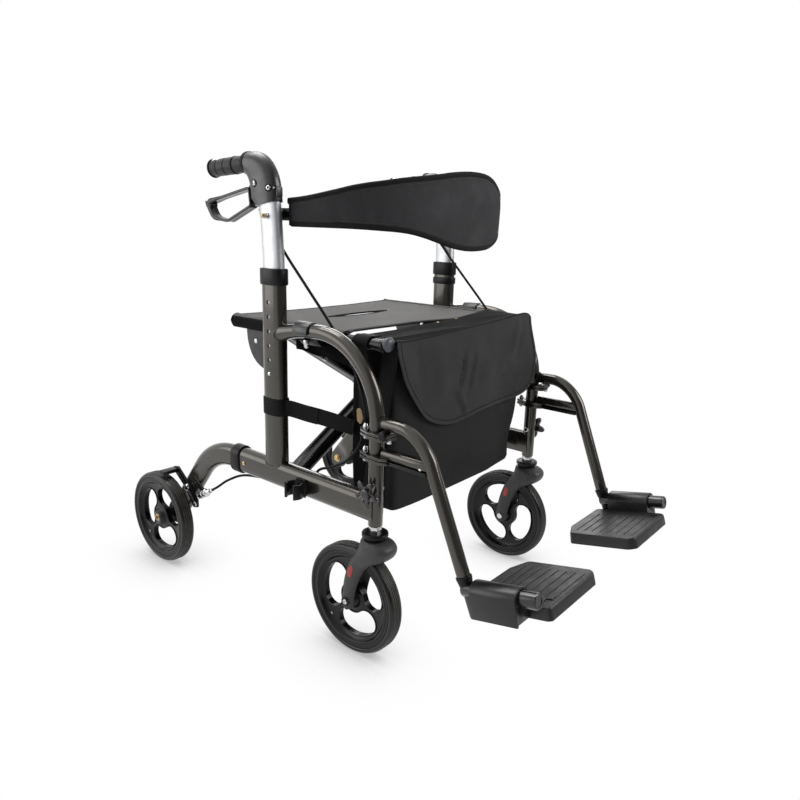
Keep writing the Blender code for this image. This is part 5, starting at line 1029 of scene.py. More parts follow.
def makeLever(side, name):
    root = (lever["back"] + 0.0125, lever["z"] - 0.0085)
    loop = rounded([(root[0], root[1], 0.005), (root[0] + 0.125, root[1] - 0.024, 0.007),
                    (root[0] + 0.106, root[1] - 0.052, 0.024), (root[0] + 0.064, root[1] - 0.057, 0.02),
                    (root[0] - 0.004, root[1] - 0.03, 0.006)], 10)
    fine = []
    for (a0, b0), (a1, b1) in zip(loop, loop[1:] + loop[:1]):
        span = hypot(a1 - a0, b1 - b0)
        steps = max(1, int(span / 0.004))
        for step in range(steps):
            t = step / steps
            fine.append((a0 + (a1 - a0) * t, b0 + (b1 - b0) * t))
    path = [midSpot(side, *point) for point in fine]
    wide = lever["wide"] / 2
    rings = []
    for i, point in enumerate(path):
        forward = (path[(i + 1) % len(path)] - path[i - 1]).normalized()
        swell = eased((fine[i][0] - root[0] - 0.075) / 0.045)  # thicker round the far end
        half = lever["thick"] / 2 * (1 + 0.9 * swell)
        edge = [(-wide, -half * 0.45), (-wide + 0.0012, -half), (-wide * 0.3, -half * 0.72)]
        lower = edge + [(-a, b) for a, b in edge[::-1]]
        flat = lower + [(-a, -b) for a, b in edge] + [(a, -b) for a, b in edge[::-1]]
        rings.append(ring(point, xAxis, forward.cross(xAxis), flat))
    band = skin(rings, loop=True)
    lug = arc((lever["back"], lever["z"]), lever["eye"], 61, 241, 22)
    lug += [(root[0] + 0.001, root[1] - 0.006), (root[0] + 0.004, root[1] + 0.001)]
    eye = easedEdges(plate(lug, midSpot(side, 0, 0), yAxis, zAxis, xAxis, -0.005, 0.005), 0.0006)
    hook = rounded([(root[0] + 0.112, root[1] - 0.027, 0.002), (root[0] + 0.13, root[1] - 0.0205, 0.002),
                    (root[0] + 0.127, root[1] - 0.031, 0.0015), (root[0] + 0.116, root[1] - 0.041, 0.002)],
                   4)
    tip = easedEdges(plate(hook, midSpot(side, 0, 0), yAxis, zAxis, xAxis, -wide + 0.001, wide - 0.001),
                     0.0006)
    settle(joined(band, eye, tip), f"{name}BrakeLever", leverPlastic, f"{name}_lever",
           f"{name}_brake_lever", edge=0.0003, edgeAngle=50)


def makeBackrestArm(side, name):
    outline = rounded([(0.206, 0.7365, 0.004), (0.262, 0.7365, 0.009), (0.262, 0.7575, 0.009),
                       (0.206, 0.7575, 0.004)], 8)
    bar = easedEdges(plate(outline, spot(side, 0.2255, 0, 0), yAxis, zAxis, xAxis * side, -0.002, 0.002),
                     0.0007)
    flank = arch["out"] - handle["wide"] / 2 - 0.0003
    boss = turned([(0, 0.0085), (0.001, 0.0085), (flank - 0.2255 - 0.0008, 0.0082),
                   (flank - 0.2255, 0.0075)], spot(side, 0.2255, 0.25, 0.747), xAxis * side, 28)
    settle(joined(bar, boss), f"{name}BackrestArm", blackPaint, f"{name}_backrest", f"{name}_backrest_arm")


for name, side in sides.items():
    makeHandleTube(side, name)
    makeElbow(side, name)
    makeGrip(side, name)
    makeLever(side, name)
    makeBackrestArm(side, name)
    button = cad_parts[f"{name}_snap_button"].data
    button.materials.clear()
    button.materials.append(chromed.material)
print("handles made")

# Wheels, forks and the rear brake
wheel = {"radius": 0.1, "wide": 0.028, "tyre": 0.01, "rimDeep": 0.012, "web": 0.009, "hub": 0.015,
         "pocketMiddle": 0.0485, "pocketHalf": 0.0206, "pocketTurn": 15.0, "pocketAngle": 29.5, "spokes": 3}
fork = {"trail": 0.045, "top": 0.2244, "cap": 0.0226, "hood": 0.0378, "wide": 0.0265, "slot": 0.104,
        "slotHalf": 0.0162, "leg": 0.0232}
brake = {"pivotUp": 0.1, "footUp": 0.0926, "footBelow": 0.0419, "barrelStart": (0.1566, 0.0539),
         "barrelEnd": (0.1175, 0.0379)}


def pocketOutline(inset=0.0, steps=14):
    half, angle, middle = wheel["pocketHalf"] - inset, wheel["pocketAngle"], wheel["pocketMiddle"]
    points = arc((0, 0), middle + half, -angle, angle, steps)
    end = (middle * cos(radians(angle)), middle * sin(radians(angle)))
    points += arc(end, half, angle, angle + 180, steps)[1:-1]
    points += arc((0, 0), middle - half, angle, -angle, steps)
    points += arc((end[0], -end[1]), half, 180 - angle, 360 - angle, steps)[1:-1]
    return points


def makeRim(side, centre, inner, outer, bore, label, body, node, start):
    web, half = wheel["web"] / 2, wheel["wide"] / 2 - 0.001
    ro, hub = wheel["radius"] - wheel["tyre"], wheel["hub"]
    ri = ro - wheel["rimDeep"]
    flank = [(-web - 0.001, hub + 0.0035), (-web, hub + 0.006), (-web, ri - 0.007),
             (-web - 0.001, ri - 0.0045), (-half + 0.0035, ri - 0.0005), (-half + 0.001, ri + 0.0008),
             (-half, ri + 0.0022), (-half, ri + 0.006), (-half + 0.0006, ri + 0.0068),
             (-half + 0.0006, ri + 0.0078), (-half, ri + 0.0086), (-half, ro - 0.0012), (-half + 0.001, ro)]
    profile = [(-inner, bore), (-inner, hub - 0.0015), (-inner + 0.0012, hub)] + flank
    profile += [(-a, b) for a, b in flank[::-1]] + [(outer - 0.0012, hub), (outer, hub - 0.0015),
                                                    (outer, bore)]
    shape = turned(profile, centre, xAxis * side, 96, hollow=True)
    cutters, lips = [], []
    for number in range(wheel["spokes"]):
        turn = Matrix.Rotation(radians(start + number * 360 / wheel["spokes"]), 3, "X")
        a, b = turn @ yAxis, turn @ zAxis
        cutters.append(plate(pocketOutline(), centre, a, b, xAxis, -0.02, 0.02))
        outerRing, innerRing = pocketOutline(-0.0022), pocketOutline(0.0)
        crest = [(p[0] * 0.5 + q[0] * 0.5, p[1] * 0.5 + q[1] * 0.5) for p, q in zip(outerRing, innerRing)]
        levels = [(web + 0.0002, outerRing), (web + 0.0016, crest), (web + 0.001, innerRing)]
        both = [ring(centre + xAxis * level, a, b, outline) for level, outline in levels]
        both += [ring(centre - xAxis * level, a, b, outline) for level, outline in levels[::-1]]
        lips.append(skin(both, loop=True))
    trimmed(shape, *cutters)
    settle(joined(shape, *lips), label, rimGloss, body, node, sharp=42)
    angle, reach = radians(start + 60 + 2 * 120), 0.075
    place = centre + xAxis * side * (web + 0.0002) + yAxis * reach * cos(angle) + zAxis * reach * sin(angle)
    dot = turned([(-0.001, 0.0034), (0.0006, 0.0034), (0.001, 0.0026), (0.0011, 0.0008)], place,
                 xAxis * side, 20)
    settle(dot, f"{label}Dot", paleDot, body)


def makeTyre(side, centre, label, body, node):
    half, seat, radius = wheel["wide"] / 2, wheel["radius"] - wheel["tyre"] + 0.0003, wheel["radius"]
    profile = [(-half + 0.0015, seat), (-half + 0.0004, seat + 0.0012), (-half, seat + 0.003),
               (-half + 0.0001, seat + 0.005), (-half + 0.0012, radius - 0.0028),
               (-half + 0.0032, radius - 0.001), (-half + 0.0052, radius - 0.0007)]
    profile += [(-a, b) for a, b in profile[::-1]]
    shape = turned(profile, centre, xAxis * side, 96, hollow=True)
    settle(shape, label, tyreSide, body, node)
    tread = [(-half + 0.005, radius - 0.0012), (-half + 0.0052, radius - 0.0003), (-half + 0.006, radius)]
    for groove in (-0.0042, 0.0, 0.0042):
        tread += [(groove - 0.0009, radius), (groove - 0.0005, radius - 0.0008),
                  (groove + 0.0005, radius - 0.0008), (groove + 0.0009, radius)]
    tread += [(-a, b) for a, b in tread[2::-1]]
    settle(turned(tread, centre, xAxis * side, 96, hollow=True), f"{label}Tread", tyreRubber, body)


def makeFork(side, name):
    top, cap, hood, wide, trail, leg = (fork[key] for key in ("top", "cap", "hood", "wide", "trail", "leg"))
    table = [(top + 0.001, -cap + 0.002, cap - 0.002, cap - 0.002),
             (top - 0.002, -hood + 0.007, cap - 0.001, 0.92 * wide), (top - 0.009, -hood, cap, wide),
             (top - 0.019, -hood + 0.0005, cap + 0.004, wide), (top - 0.029, -0.03, cap + 0.01, wide),
             (top - 0.04, -0.012, cap + 0.017, 0.98 * wide),
             (top - 0.054, 0.005, trail + 0.002, leg + 0.0015),
             (0.143, trail - 0.026, trail + 0.011, leg + 0.0005),
             (0.112, trail - 0.017, trail + 0.0155, leg), (0.096, trail - 0.016, trail + 0.016, leg),
             (0.088, trail - 0.011, trail + 0.012, leg - 0.0005),
             (0.084, trail - 0.005, trail + 0.006, leg - 0.001)]
    stations = smoothPath([Vector((front, rear, z)) for z, front, rear, _ in table], 52)
    rings = []
    for place in stations:
        front, rear, z = place
        half = between([(s[0], s[3]) for s in table[::-1]], z)
        rings.append(ring(midSpot(side, (front + rear) / 2, z), xAxis, yAxis,
                          superellipse(half, (rear - front) / 2, 2.8, 48)))
    shape = skin(rings)
    hub = midSpot(side, trail, wheel["radius"])
    trimmed(shape, rod(hub - xAxis * fork["slotHalf"], hub + xAxis * fork["slotHalf"], fork["slot"], 72))
    profile = [(-0.003, 0.8 * cap), (0.0062, 0.84 * cap), (0.0068, 0.9 * cap), (0.007, 0.98 * cap),
               (0.0078, cap), (0.012, cap), (0.0132, 0.975 * cap), (0.0137, 0.93 * cap),
               (0.0137, 0.4 * cap)]
    settle(shape, f"{name}Fork", forkPlastic, f"{name}_caster", f"{name}_fork", edge=0.0008, edgeAngle=50)
    dust = turned(profile, midSpot(side, 0, top), zAxis, 44)
    settle(dust, f"{name}DustCap", blackPlastic, f"{name}_caster", edge=0.0003)
    reach = leg + 0.0006
    for flank, label in ((1, "Outer"), (-1, "Inner")):
        place = spot(side, arch["out"] + flank * reach, 0.033, 0.162)
        lean = Vector((0, -0.3, 1)).normalized()
        across = lean.cross(xAxis).normalized()
        face = [ring(place + xAxis * side * flank * lift, across, lean,
                     superellipse(0.0055 * k, 0.0124 * k, 2.2, 32))
                for lift, k in ((-0.003, 1.0), (0.0004, 1.0), (0.0012, 0.93), (0.0016, 0.72),
                                (0.0017, 0.3))]
        settle(skin(face), f"{name}Reflector{label}", reflector, f"{name}_caster")


def makeCasterMetal(side, name):
    stem = rod(midSpot(side, 0, 0.2047), midSpot(side, 0, 0.285), 0.006, 24)
    nut = turned([(0, 0.01), (0.0006, 0.011), (0.0122, 0.011), (0.0128, 0.01)], midSpot(side, 0, 0.2367),
                 zAxis, 6)
    washer = turned([(0, 0.0128), (0.0012, 0.0128)], midSpot(side, 0, 0.236), zAxis, 32)
    settle(joined(stem, easedEdges(nut, 0.0005), washer), f"{name}StemNut", chromed, f"{name}_side",
           f"{name}_caster_stem")
    half = fork["leg"] + 0.0003
    hub = midSpot(side, fork["trail"], wheel["radius"])
    shank = rod(hub - xAxis * half, hub + xAxis * half, 0.004, 20)
    outer = xAxis * side
    cup = turned([(half - 0.0005, 0.0088), (half + 0.001, 0.0088), (half + 0.0016, 0.008),
                  (half + 0.0016, 0.006), (half + 0.0006, 0.0052), (half + 0.0006, 0.001)], hub, outer, 32)
    settle(cup, f"{name}AxleCup", rimGloss, f"{name}_caster", slot="black_plastic")
    head = turned([(half - 0.0005, 0.0046), (half + 0.0018, 0.0046), (half + 0.0024, 0.004),
                   (half + 0.0024, 0.0024), (half + 0.001, 0.0022), (half + 0.001, 0.0005)], hub, outer, 28)
    nut = turned([(half - 0.0005, 0.0068), (half + 0.0024, 0.0068), (half + 0.003, 0.006),
                  (half + 0.0031, 0.003)], hub, -outer, 6)
    settle(joined(shank, head, easedEdges(nut, 0.0004)), f"{name}CasterAxle", chromed, f"{name}_caster",
           f"{name}_caster_axle")


def makeRearMetal(side, name):
    centre = spot(side, 0, rearLeg["axleBack"], rearLeg["axleZ"])
    inner, outer = 0.2485, 0.3038
    out = xAxis * side
    shank = rod(centre + out * inner, centre + out * (outer + 0.0003), 0.005, 24)
    nut = turned([(inner - 0.0063, 0.007), (inner - 0.0058, 0.008), (inner - 0.0008, 0.008),
                  (inner - 0.0003, 0.0074)], centre, out, 6)
    washer = turned([(inner - 0.0012, 0.0105), (inner - 0.0002, 0.0105)], centre, out, 32)
    head = turned([(outer, 0.008), (outer + 0.0004, 0.008), (outer + 0.0006, 0.0066),
                   (outer + 0.0022, 0.0064), (outer + 0.0024, 0.0056), (outer + 0.0024, 0.004),
                   (outer + 0.0008, 0.0038), (outer + 0.0008, 0.0004)], centre, out, 28)
    socket = turned([(outer + 0.0004, 0.0036), (outer + 0.0012, 0.0036), (outer + 0.0012, 0.0004)], centre,
                    out, 20)
    settle(socket, f"{name}AxleSocket", cableSheath, f"{name}_side")
    settle(joined(shank, easedEdges(nut, 0.0004), washer, head), f"{name}RearAxle", brassed, f"{name}_side",
           f"{name}_rear_axle")


def makeBrake(side, name):
    flank = arch["out"] + rearLeg["wide"] / 2 + 0.0003
    hub = Vector(onLeg(brake["pivotUp"]))
    foot = Vector(onLeg(brake["footUp"], brake["footBelow"]))
    shoeTop, shoeBack = 0.212, (0.557, 0.577)
    corners = [(foot.x - 0.007, foot.y - 0.006, 0.003), (foot.x + 0.009, foot.y - 0.01, 0.003),
               (hub.x + 0.01, hub.y - 0.004, 0.004), (shoeBack[1], shoeTop - 0.008, 0.002),
               (shoeBack[1], shoeTop, 0.002), (shoeBack[0] + 0.002, shoeTop + 0.004, 0.004),
               (hub.x - 0.009, hub.y + 0.006, 0.006), (foot.x - 0.007, foot.y + 0.01, 0.003)]
    out = xAxis * side
    origin = spot(side, 0, 0, 0)
    cheek = easedEdges(plate(rounded(corners, 6), origin, yAxis, zAxis, out, flank, flank + 0.004), 0.0006)
    radius, gap = wheel["radius"], 0.0045  # the shoe's gap above the tyre
    under = radius + sqrt(radius ** 2 - 0.012 ** 2) + gap
    bar = rounded([(shoeBack[0], under, 0.002), (shoeBack[1], under, 0.002), (shoeBack[1], shoeTop, 0.003),
                   (shoeBack[0], shoeTop, 0.003)], 4)
    shoe = easedEdges(plate(bar, origin, yAxis, zAxis, out, flank + 0.001, 0.303), 0.0008)
    settle(joined(cheek, shoe), f"{name}BrakeArm", blackPaint, f"{name}_brake", f"{name}_brake_arm")
    start = spot(side, flank - 0.0003, *onLeg(*brake["barrelStart"]))
    end = spot(side, flank - 0.0003, *onLeg(*brake["barrelEnd"]))
    wire = rod(spot(side, flank + 0.0017, foot.x, foot.y), end, 0.0008, 12)
    pinch = turned([(0.003, 0.0052), (0.0062, 0.0052), (0.0068, 0.0044), (0.007, 0.0015)],
                   spot(side, flank, foot.x, foot.y), out, 6)
    settle(joined(wire, easedEdges(pinch, 0.0003)), f"{name}BrakeWire", chromed, f"{name}_brake")
    axis = (end - start).normalized()
    long = (end - start).length
    barrel = turned([(0, 0.0024), (0, 0.0044), (0.0015, 0.0052), (long * 0.26, 0.0058),
                     (long * 0.28, 0.0074), (long * 0.32, 0.0088), (long * 0.52, 0.0088),
                     (long * 0.55, 0.007), (long * 0.58, 0.0066), (long * 0.6, 0.008), (long * 0.95, 0.008),
                     (long, 0.0068), (long, 0.003), (long - 0.004, 0.003)], start, axis, 20)
    settle(barrel, f"{name}CableBarrel", chromed, f"{name}_side", edge=0.0002)
    place = spot(side, flank - 0.0013, *onLeg(0.13))
    tab = sweep([(start + end) / 2, ((start + end) / 2).lerp(place, 0.5), place],
                superellipse(0.0015, 0.007, 4, 24))
    settle(easedEdges(tab, 0.0005), f"{name}CableTab", blackPaint, f"{name}_side")
    bolt = turned([(-0.004, 0.004), (0.0045, 0.004), (0.0046, 0.0085), (0.0056, 0.0085), (0.0057, 0.0066),
                   (0.008, 0.0064), (0.0087, 0.0052), (0.0088, 0.002)], spot(side, flank, *hub), out, 28)
    settle(bolt, f"{name}BrakeBolt", chromed, f"{name}_side")


for name, side in sides.items():
    caster = midSpot(side, fork["trail"], wheel["radius"])
    rear = spot(side, 0.291, rearLeg["axleBack"], rearLeg["axleZ"])
    makeRim(side, caster, 0.0155, 0.0155, 0.0043, f"{name}CasterRim", f"{name}_caster_wheel",
            f"{name}_caster_rim", wheel["pocketTurn"] + (60 if side > 0 else 0))
    makeTyre(side, caster, f"{name}CasterTyre", f"{name}_caster_wheel", f"{name}_caster_tyre")
    makeRim(side, rear, 0.0268, 0.0125, 0.0053, f"{name}RearRim", f"{name}_rear_wheel", f"{name}_rear_rim",
            wheel["pocketTurn"])
    makeTyre(side, rear, f"{name}RearTyre", f"{name}_rear_wheel", f"{name}_rear_tyre")
    makeFork(side, name)
    makeCasterMetal(side, name)
    makeRearMetal(side, name)
    makeBrake(side, name)
print("wheels and brakes made")

# Swing-away footrests and the star knobs
hanger = {"radius": 0.011, "topZ": 0.424, "start": 0.016, "bend": 0.07, "bendAhead": 0.047, "lean": 67.6,
          "footZ": 0.2215, "toeIn": 0.0043, "rings": (0.4085, 0.37), "boltBack": 0.025, "strut": 0.0095,
          "strutZ": 0.379}
tread = {"tilt": 12.5, "below": 0.021, "boss": 0.0125, "bossLong": 0.124, "start": 0.016, "end": 0.0957,
         "housing": 0.0195, "inner": 0.172, "rear": 0.0105, "front": 0.13, "drop": 0.016, "skirt": 0.02,
         "skin": 0.004, "lines": 8}


def hangerLine(side, steps=26):
    bend = (-hanger["bendAhead"], hanger["topZ"] - hanger["bend"])
    points = [midSpot(side, -hanger["start"] - 0.0155 * i, hanger["topZ"]) for i in range(2)]
    points += [midSpot(side, b, z) for b, z in arc(bend, hanger["bend"], 90, 90 + hanger["lean"], steps)]
    drop = points[-1].z - hanger["footZ"]
    ahead = drop / sin(radians(hanger["lean"])) * cos(radians(hanger["lean"]))
    last = points[-1] + Vector((-side * hanger["toeIn"], -ahead, -drop))
    return points + [points[-1].lerp(last, i / 5) for i in range(1, 6)]


def rodAxis(side):
    first, last = hangerLine(side)[-6], hangerLine(side)[-1]
    return (last - first).normalized()


def bossFrame(side):
    origin = hangerLine(side)[-1] + rodAxis(side) * tread["below"]
    tilt = radians(tread["tilt"])
    return origin, Vector((0, -cos(tilt), sin(tilt))), xAxis * -side, Vector((0, sin(tilt), cos(tilt)))


def hingePlates(side, z):
    half = arch["tube"] + 0.006
    outline = arc((hanger["boltBack"], 0), 0.009, 60, -60, 12) + arc((0, 0), half, -50, -90, 8)
    outline += [(-0.0217, -half), (-0.031, -0.6 * half), (-0.031, 0.6 * half),
                (-0.0217, half)] + arc((0, 0), half, 90, 50, 8)
    made = []
    for low, high in ((z - 0.0058, z - 0.0007), (z + 0.0007, z + 0.0058)):  # two stacked plates
        made.append(plate(outline, midSpot(side, 0, 0), yAxis, xAxis, zAxis, low, high))
    core = [(a * 0.93, b * 0.93) for a, b in outline]
    made.append(plate(core, midSpot(side, 0, 0), yAxis, xAxis, zAxis, z - 0.003, z + 0.003))
    hole = rod(midSpot(side, 0, z - 0.02), midSpot(side, 0, z + 0.02), arch["tube"] + 0.0005, 48)
    return easedEdges(trimmed(joined(*made), hole), 0.0005, angle=45)


def makeHanger(side, name):
    line = hangerLine(side)
    raised = [p + zAxis * 0.0045 * (1 - eased(i / 22)) for i, p in enumerate(line)]
    shape = sweep(raised, circle(hanger["radius"], 36))
    end, axis = line[-1], rodAxis(side)
    trimmed(shape, rod(end - axis * 0.03, end + axis * 0.01, hanger["radius"] - 0.002, 36))
    strutZ = hanger["strutZ"]
    lean = radians(hanger["lean"])
    tanLean = sin(lean) / cos(lean)
    reach = (line[-6].z - strutZ) / tanLean - line[-6].y + postY
    strut = rod(midSpot(side, -hanger["start"], strutZ), midSpot(side, -reach - 0.004, strutZ),
                hanger["strut"], 32)
    under = strutZ - hanger["strut"]
    low = midSpot(side, -reach + 0.006, under - 0.0055)
    high = midSpot(side, -hanger["start"], under + 0.0004)
    strap = easedEdges(box(Vector((low.x - 0.008, low.y, low.z)), Vector((high.x + 0.008, high.y, high.z))),
                       0.0006)
    latchLow = hanger["rings"][0] + 0.0045
    latch = easedEdges(box(midSpot(side, -0.03, latchLow) - xAxis * 0.008,
                           midSpot(side, -0.018, hanger["topZ"] - 0.009) + xAxis * 0.008), 0.0008)
    settle(joined(shape, strut), f"{name}Hanger", bronzePaint, f"{name}_hanger", f"{name}_hanger",
           edge=0.0006)
    settle(joined(strap, latch), f"{name}HangerStrap", blackPaint, f"{name}_hanger")
    settle(joined(*[hingePlates(side, z) for z in hanger["rings"]]), f"{name}HingePlates", bronzePaint,
           f"{name}_hanger")
    plug = turned([(-0.0015, 0.0088), (0.0, 0.0112), (0.0012, 0.0118), (0.0032, 0.0118), (0.0042, 0.0108),
                   (0.0046, 0.006)], midSpot(side, -hanger["start"] + 0.0002, hanger["topZ"] + 0.0045),
                  yAxis, 36)
    settle(plug, f"{name}HangerPlug", blackPlastic, f"{name}_hanger")
    pull = turned([(-0.004, 0.003), (0.004, 0.0032), (0.0046, 0.0062), (0.0052, 0.0078), (0.009, 0.008),
                   (0.0104, 0.0072), (0.0108, 0.003)], spot(side, arch["out"] + 0.008, -0.0245, 0.4125),
                  xAxis * side, 28)
    settle(pull, f"{name}LatchPull", blackPlastic, f"{name}_hanger", edge=0.0003)


def makeFootrestRod(side, name):
    end, axis = hangerLine(side)[-1], rodAxis(side)
    radius = hanger["radius"] - 0.0024
    long = tread["below"] + 0.045
    tube = turned([(-0.06, radius), (0.02, radius)], end, axis, 32)
    low = [end + axis * (0.017 + (long - 0.021) * i / 6) for i in range(6)]
    low += [end + axis * (long - short) for short in (0.004, 0.001, 0)]
    flat = [(b, a) for a, b in stadium(0.012, 0.019, 10)]
    bar = sweep(low, [flat] * 7 + [[(0.93 * a, 0.93 * b) for a, b in flat],
                                   [(0.7 * a, 0.7 * b) for a, b in flat]])
    settle(joined(tube, bar), f"{name}FootrestRod", bronzePaint, f"{name}_footrest", f"{name}_footrest_rod",
           edge=0.0004)
    collar = turned([(0.0003, 0.009), (0.0003, 0.0122), (0.001, 0.0128), (0.005, 0.0128), (0.0056, 0.0122),
                     (0.006, 0.0118), (0.0066, 0.0122), (0.0155, 0.0106), (0.017, 0.0098),
                     (0.0178, 0.0086)], end, axis, 36)
    settle(collar, f"{name}Coupling", blackPlastic, f"{name}_footrest", edge=0.0003)
    origin, forward, _, _ = bossFrame(side)
    boss = turned([(-0.006, 0.006), (-0.006, tread["boss"] - 0.002), (-0.0052, tread["boss"] - 0.0006),
                   (-0.004, tread["boss"]), (tread["bossLong"] - 0.003, tread["boss"]),
                   (tread["bossLong"] - 0.0012, tread["boss"] - 0.0004),
                   (tread["bossLong"] - 0.0004, tread["boss"] - 0.0014),
                   (tread["bossLong"] - 0.0004, tread["boss"] - 0.0042),
                   (tread["bossLong"] - 0.0016, tread["boss"] - 0.005),
                   (tread["bossLong"] - 0.0016, 0.002)], origin, forward, 40)
    settle(boss, f"{name}Boss", knobGloss, f"{name}_footrest")


def treadOutline(inset):
    near, far, rear, front = tread["housing"] - 0.0045, tread["inner"], -tread["rear"], tread["front"]
    return rounded([(near + inset, rear + inset, 0.006), (far - 0.04, rear + inset, 0.014),
                    (far - inset, rear + 0.018, 0.01), (far - inset, front - 0.012, 0.012),
                    (far - 0.01, front - inset, 0.01), (near + inset, front - inset, 0.008)], 6)


def makeFootplate(side, name):
    origin, forward, inboard, upward = bossFrame(side)
    radius, drop = tread["housing"], tread["drop"]
    foot = drop + tread["skirt"]
    outline = [(-radius - 0.0015, -foot - 0.001)]
    outline += [(-0.001 + (radius + 0.0005) * cos(t), 0.0168 * sin(t))
                for t in [pi * (1 - i / 24) for i in range(25)]]
    outline += [(radius, -drop), (radius, -foot + 0.002), (-0.0165, -foot + 0.002),
                (-0.0165, -foot - 0.001)]
    housing = plate(outline, origin, inboard, upward, forward, tread["start"], tread["end"])
    trimmed(housing, rod(origin, origin + forward * 0.15, tread["boss"] + 0.0004, 40))
    easedEdges(housing, 0.001, angle=50)
    levels = ((-foot, 0.0), (-foot + 0.003, 0.0), (-drop - 0.008, 0.0006), (-drop - 0.004, 0.001),
              (-drop - 0.0018, 0.0015), (-drop - 0.0007, 0.0022), (-drop - 0.0002, 0.003), (-drop, 0.0042))
    top = skin([ring(origin + upward * level, inboard, forward, treadOutline(inset))
                for level, inset in levels])
    rim = [(radius + 0.004, -tread["rear"] + 0.007), (tread["inner"] - 0.044, -tread["rear"] + 0.007),
           (tread["inner"] - 0.007, 0.014), (tread["inner"] - 0.007, tread["front"] - 0.016),
           (tread["inner"] - 0.014, tread["front"] - 0.007), (radius + 0.004, tread["front"] - 0.007)]
    trimmed(top, plate(rim, origin, inboard, forward, upward, -foot - 0.01, -drop - tread["skin"]))
    recess = rounded([(0.03, tread["front"] - 0.022, 0.002), (0.046, tread["front"] - 0.022, 0.002),
                      (0.046, tread["front"] - 0.01, 0.002), (0.03, tread["front"] - 0.01, 0.002)], 4)
    trimmed(top, plate(recess, origin, inboard, forward, upward, -drop - 0.0015, -drop + 0.01))
    ribs = []
    for number in range(5):  # stiffening ribs underneath
        b = 0.016 + number * 0.024
        ribs.append(plate([(0.026, b), (0.163, b), (0.163, b + 0.0022), (0.026, b + 0.0022)], origin,
                          inboard, forward, upward, -foot + 0.003, -drop - tread["skin"] + 0.0004))
    for number in range(3):
        a = 0.055 + number * 0.036
        ribs.append(plate([(a, 0.0), (a + 0.0022, 0.0), (a + 0.0022, tread["front"] - 0.01),
                           (a, tread["front"] - 0.01)], origin, inboard, forward, upward, -foot + 0.005,
                          -drop - tread["skin"] + 0.0004))
    settle(housing, f"{name}FootHousing", housingPlastic, f"{name}_footplate", sharp=42)
    settle(joined(top, *ribs), f"{name}Footplate", treadPlastic, f"{name}_footplate", f"{name}_footplate",
           sharp=42)
    pitch = (tread["front"] - 0.024) / (tread["lines"] - 1)
    base = ribPattern().grow(wirePath([Vector(), xAxis * 0.001]), treadPlastic, Count=tread["lines"],
                             Pitch=(0.0, pitch, 0.0), Size=(0.1, 0.0018, 0.0016))
    turn = Matrix((inboard, forward, upward)).transposed().to_4x4()
    place = origin + inboard * 0.1 + forward * 0.012 - upward * (drop - 0.0002)
    base.data.transform(Matrix.Translation(place) @ turn)
    easedEdges(base, 0.0005)
    if turn.determinant() < 0:
        base.data.flip_normals()
    settle(base, f"{name}TreadLines", treadPlastic, f"{name}_footplate")


def makeStarKnob(side, name):
    base = arch["out"] + arch["tube"] + 0.0003
    out, centre = xAxis * side, spot(side, 0, 0, 0.312)
    outline = []
    for i in range(90):
        t = 2 * pi * i / 90
        radius = 0.025 * (0.75 + 0.25 * cos(5 * (t - 0.84)))
        outline.append((radius * cos(t), radius * sin(t)))
    levels = ((base + 0.003, 0.66), (base + 0.0036, 0.74), (base + 0.0052, 0.94), (base + 0.0068, 1.0),
              (base + 0.011, 1.0), (base + 0.0132, 0.96), (base + 0.0144, 0.86), (base + 0.0146, 0.74),
              (base + 0.013, 0.6), (base + 0.0126, 0.25))
    knob = skin([ring(centre + out * level, yAxis, zAxis, [(a * share, b * share) for a, b in outline])
                 for level, share in levels])
    neck = turned([(base, 0.007), (base + 0.0045, 0.007)], centre, out, 28)
    hub = turned([(base + 0.012, 0.0092), (base + 0.015, 0.009), (base + 0.0162, 0.0078),
                  (base + 0.0166, 0.005), (base + 0.016, 0.0044), (base + 0.016, 0.0008)], centre, out, 28)
    settle(joined(knob, neck, hub), f"{name}StarKnob", knobGloss, f"{name}_knob", f"{name}_star_knob")
    inner = arch["out"] - arch["tube"] - 0.0003
    bolt = turned([(inner - 0.003, 0.0035), (inner - 0.0026, 0.005), (inner - 0.0004, 0.0057),
                   (inner, 0.0057), (inner, 0.003), (base, 0.003)], centre, out, 6)
    settle(easedEdges(bolt, 0.0003), f"{name}KnobBolt", chromed, f"{name}_knob")


for name, side in sides.items():
    makeHanger(side, name)
    makeFootrestRod(side, name)
    makeFootplate(side, name)
    makeStarKnob(side, name)
print("footrests made")

# Soft goods: the seat sling, its bindings and the bag
sling = {"front": 0.088, "rear": 0.4, "hollow": 0.012, "sag": 0.0048, "thick": 0.002, "half": 0.219,
         "slotBack": 0.28, "slotLong": 0.18, "slotWide": 0.023, "binding": 0.0115, "hemEnd": 46}


def crumpling(shape):
    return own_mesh(shape)


def cloth(rows, thick, offset=0.0):
    shape = skin(rows, openRing=True)
    step = shape.modifiers.new("thickness", "SOLIDIFY")
    step.thickness, step.offset, step.use_even_offset = thick, offset, False
    return applied(shape)


def flatOval(thin, wide, steps=8):
    return [(b, a) for a, b in stadium(thin, wide, steps)]


def creased(x, z, folds):
    total = 0.0
    for x0, z0, x1, z1, wide, deep in folds:
        run = Vector((x1 - x0, z1 - z0))
        here = Vector((x - x0, z - z0))
        share = here.dot(run) / run.length_squared
        away = abs(here.x * run.y - here.y * run.x) / run.length
        fade = eased((share + 0.25) / 0.4) * eased((1.25 - share) / 0.4)
        total += deep * fade * bell(away / wide)
    return total


def frontEdge(x):
    near = eased((0.11 - x) / 0.14) * (1 - 0.5 * eased((-0.19 - x) / 0.028))
    return sling["front"] + sling["hollow"] * (1 - (x / sling["half"]) ** 2) + 0.021 * near


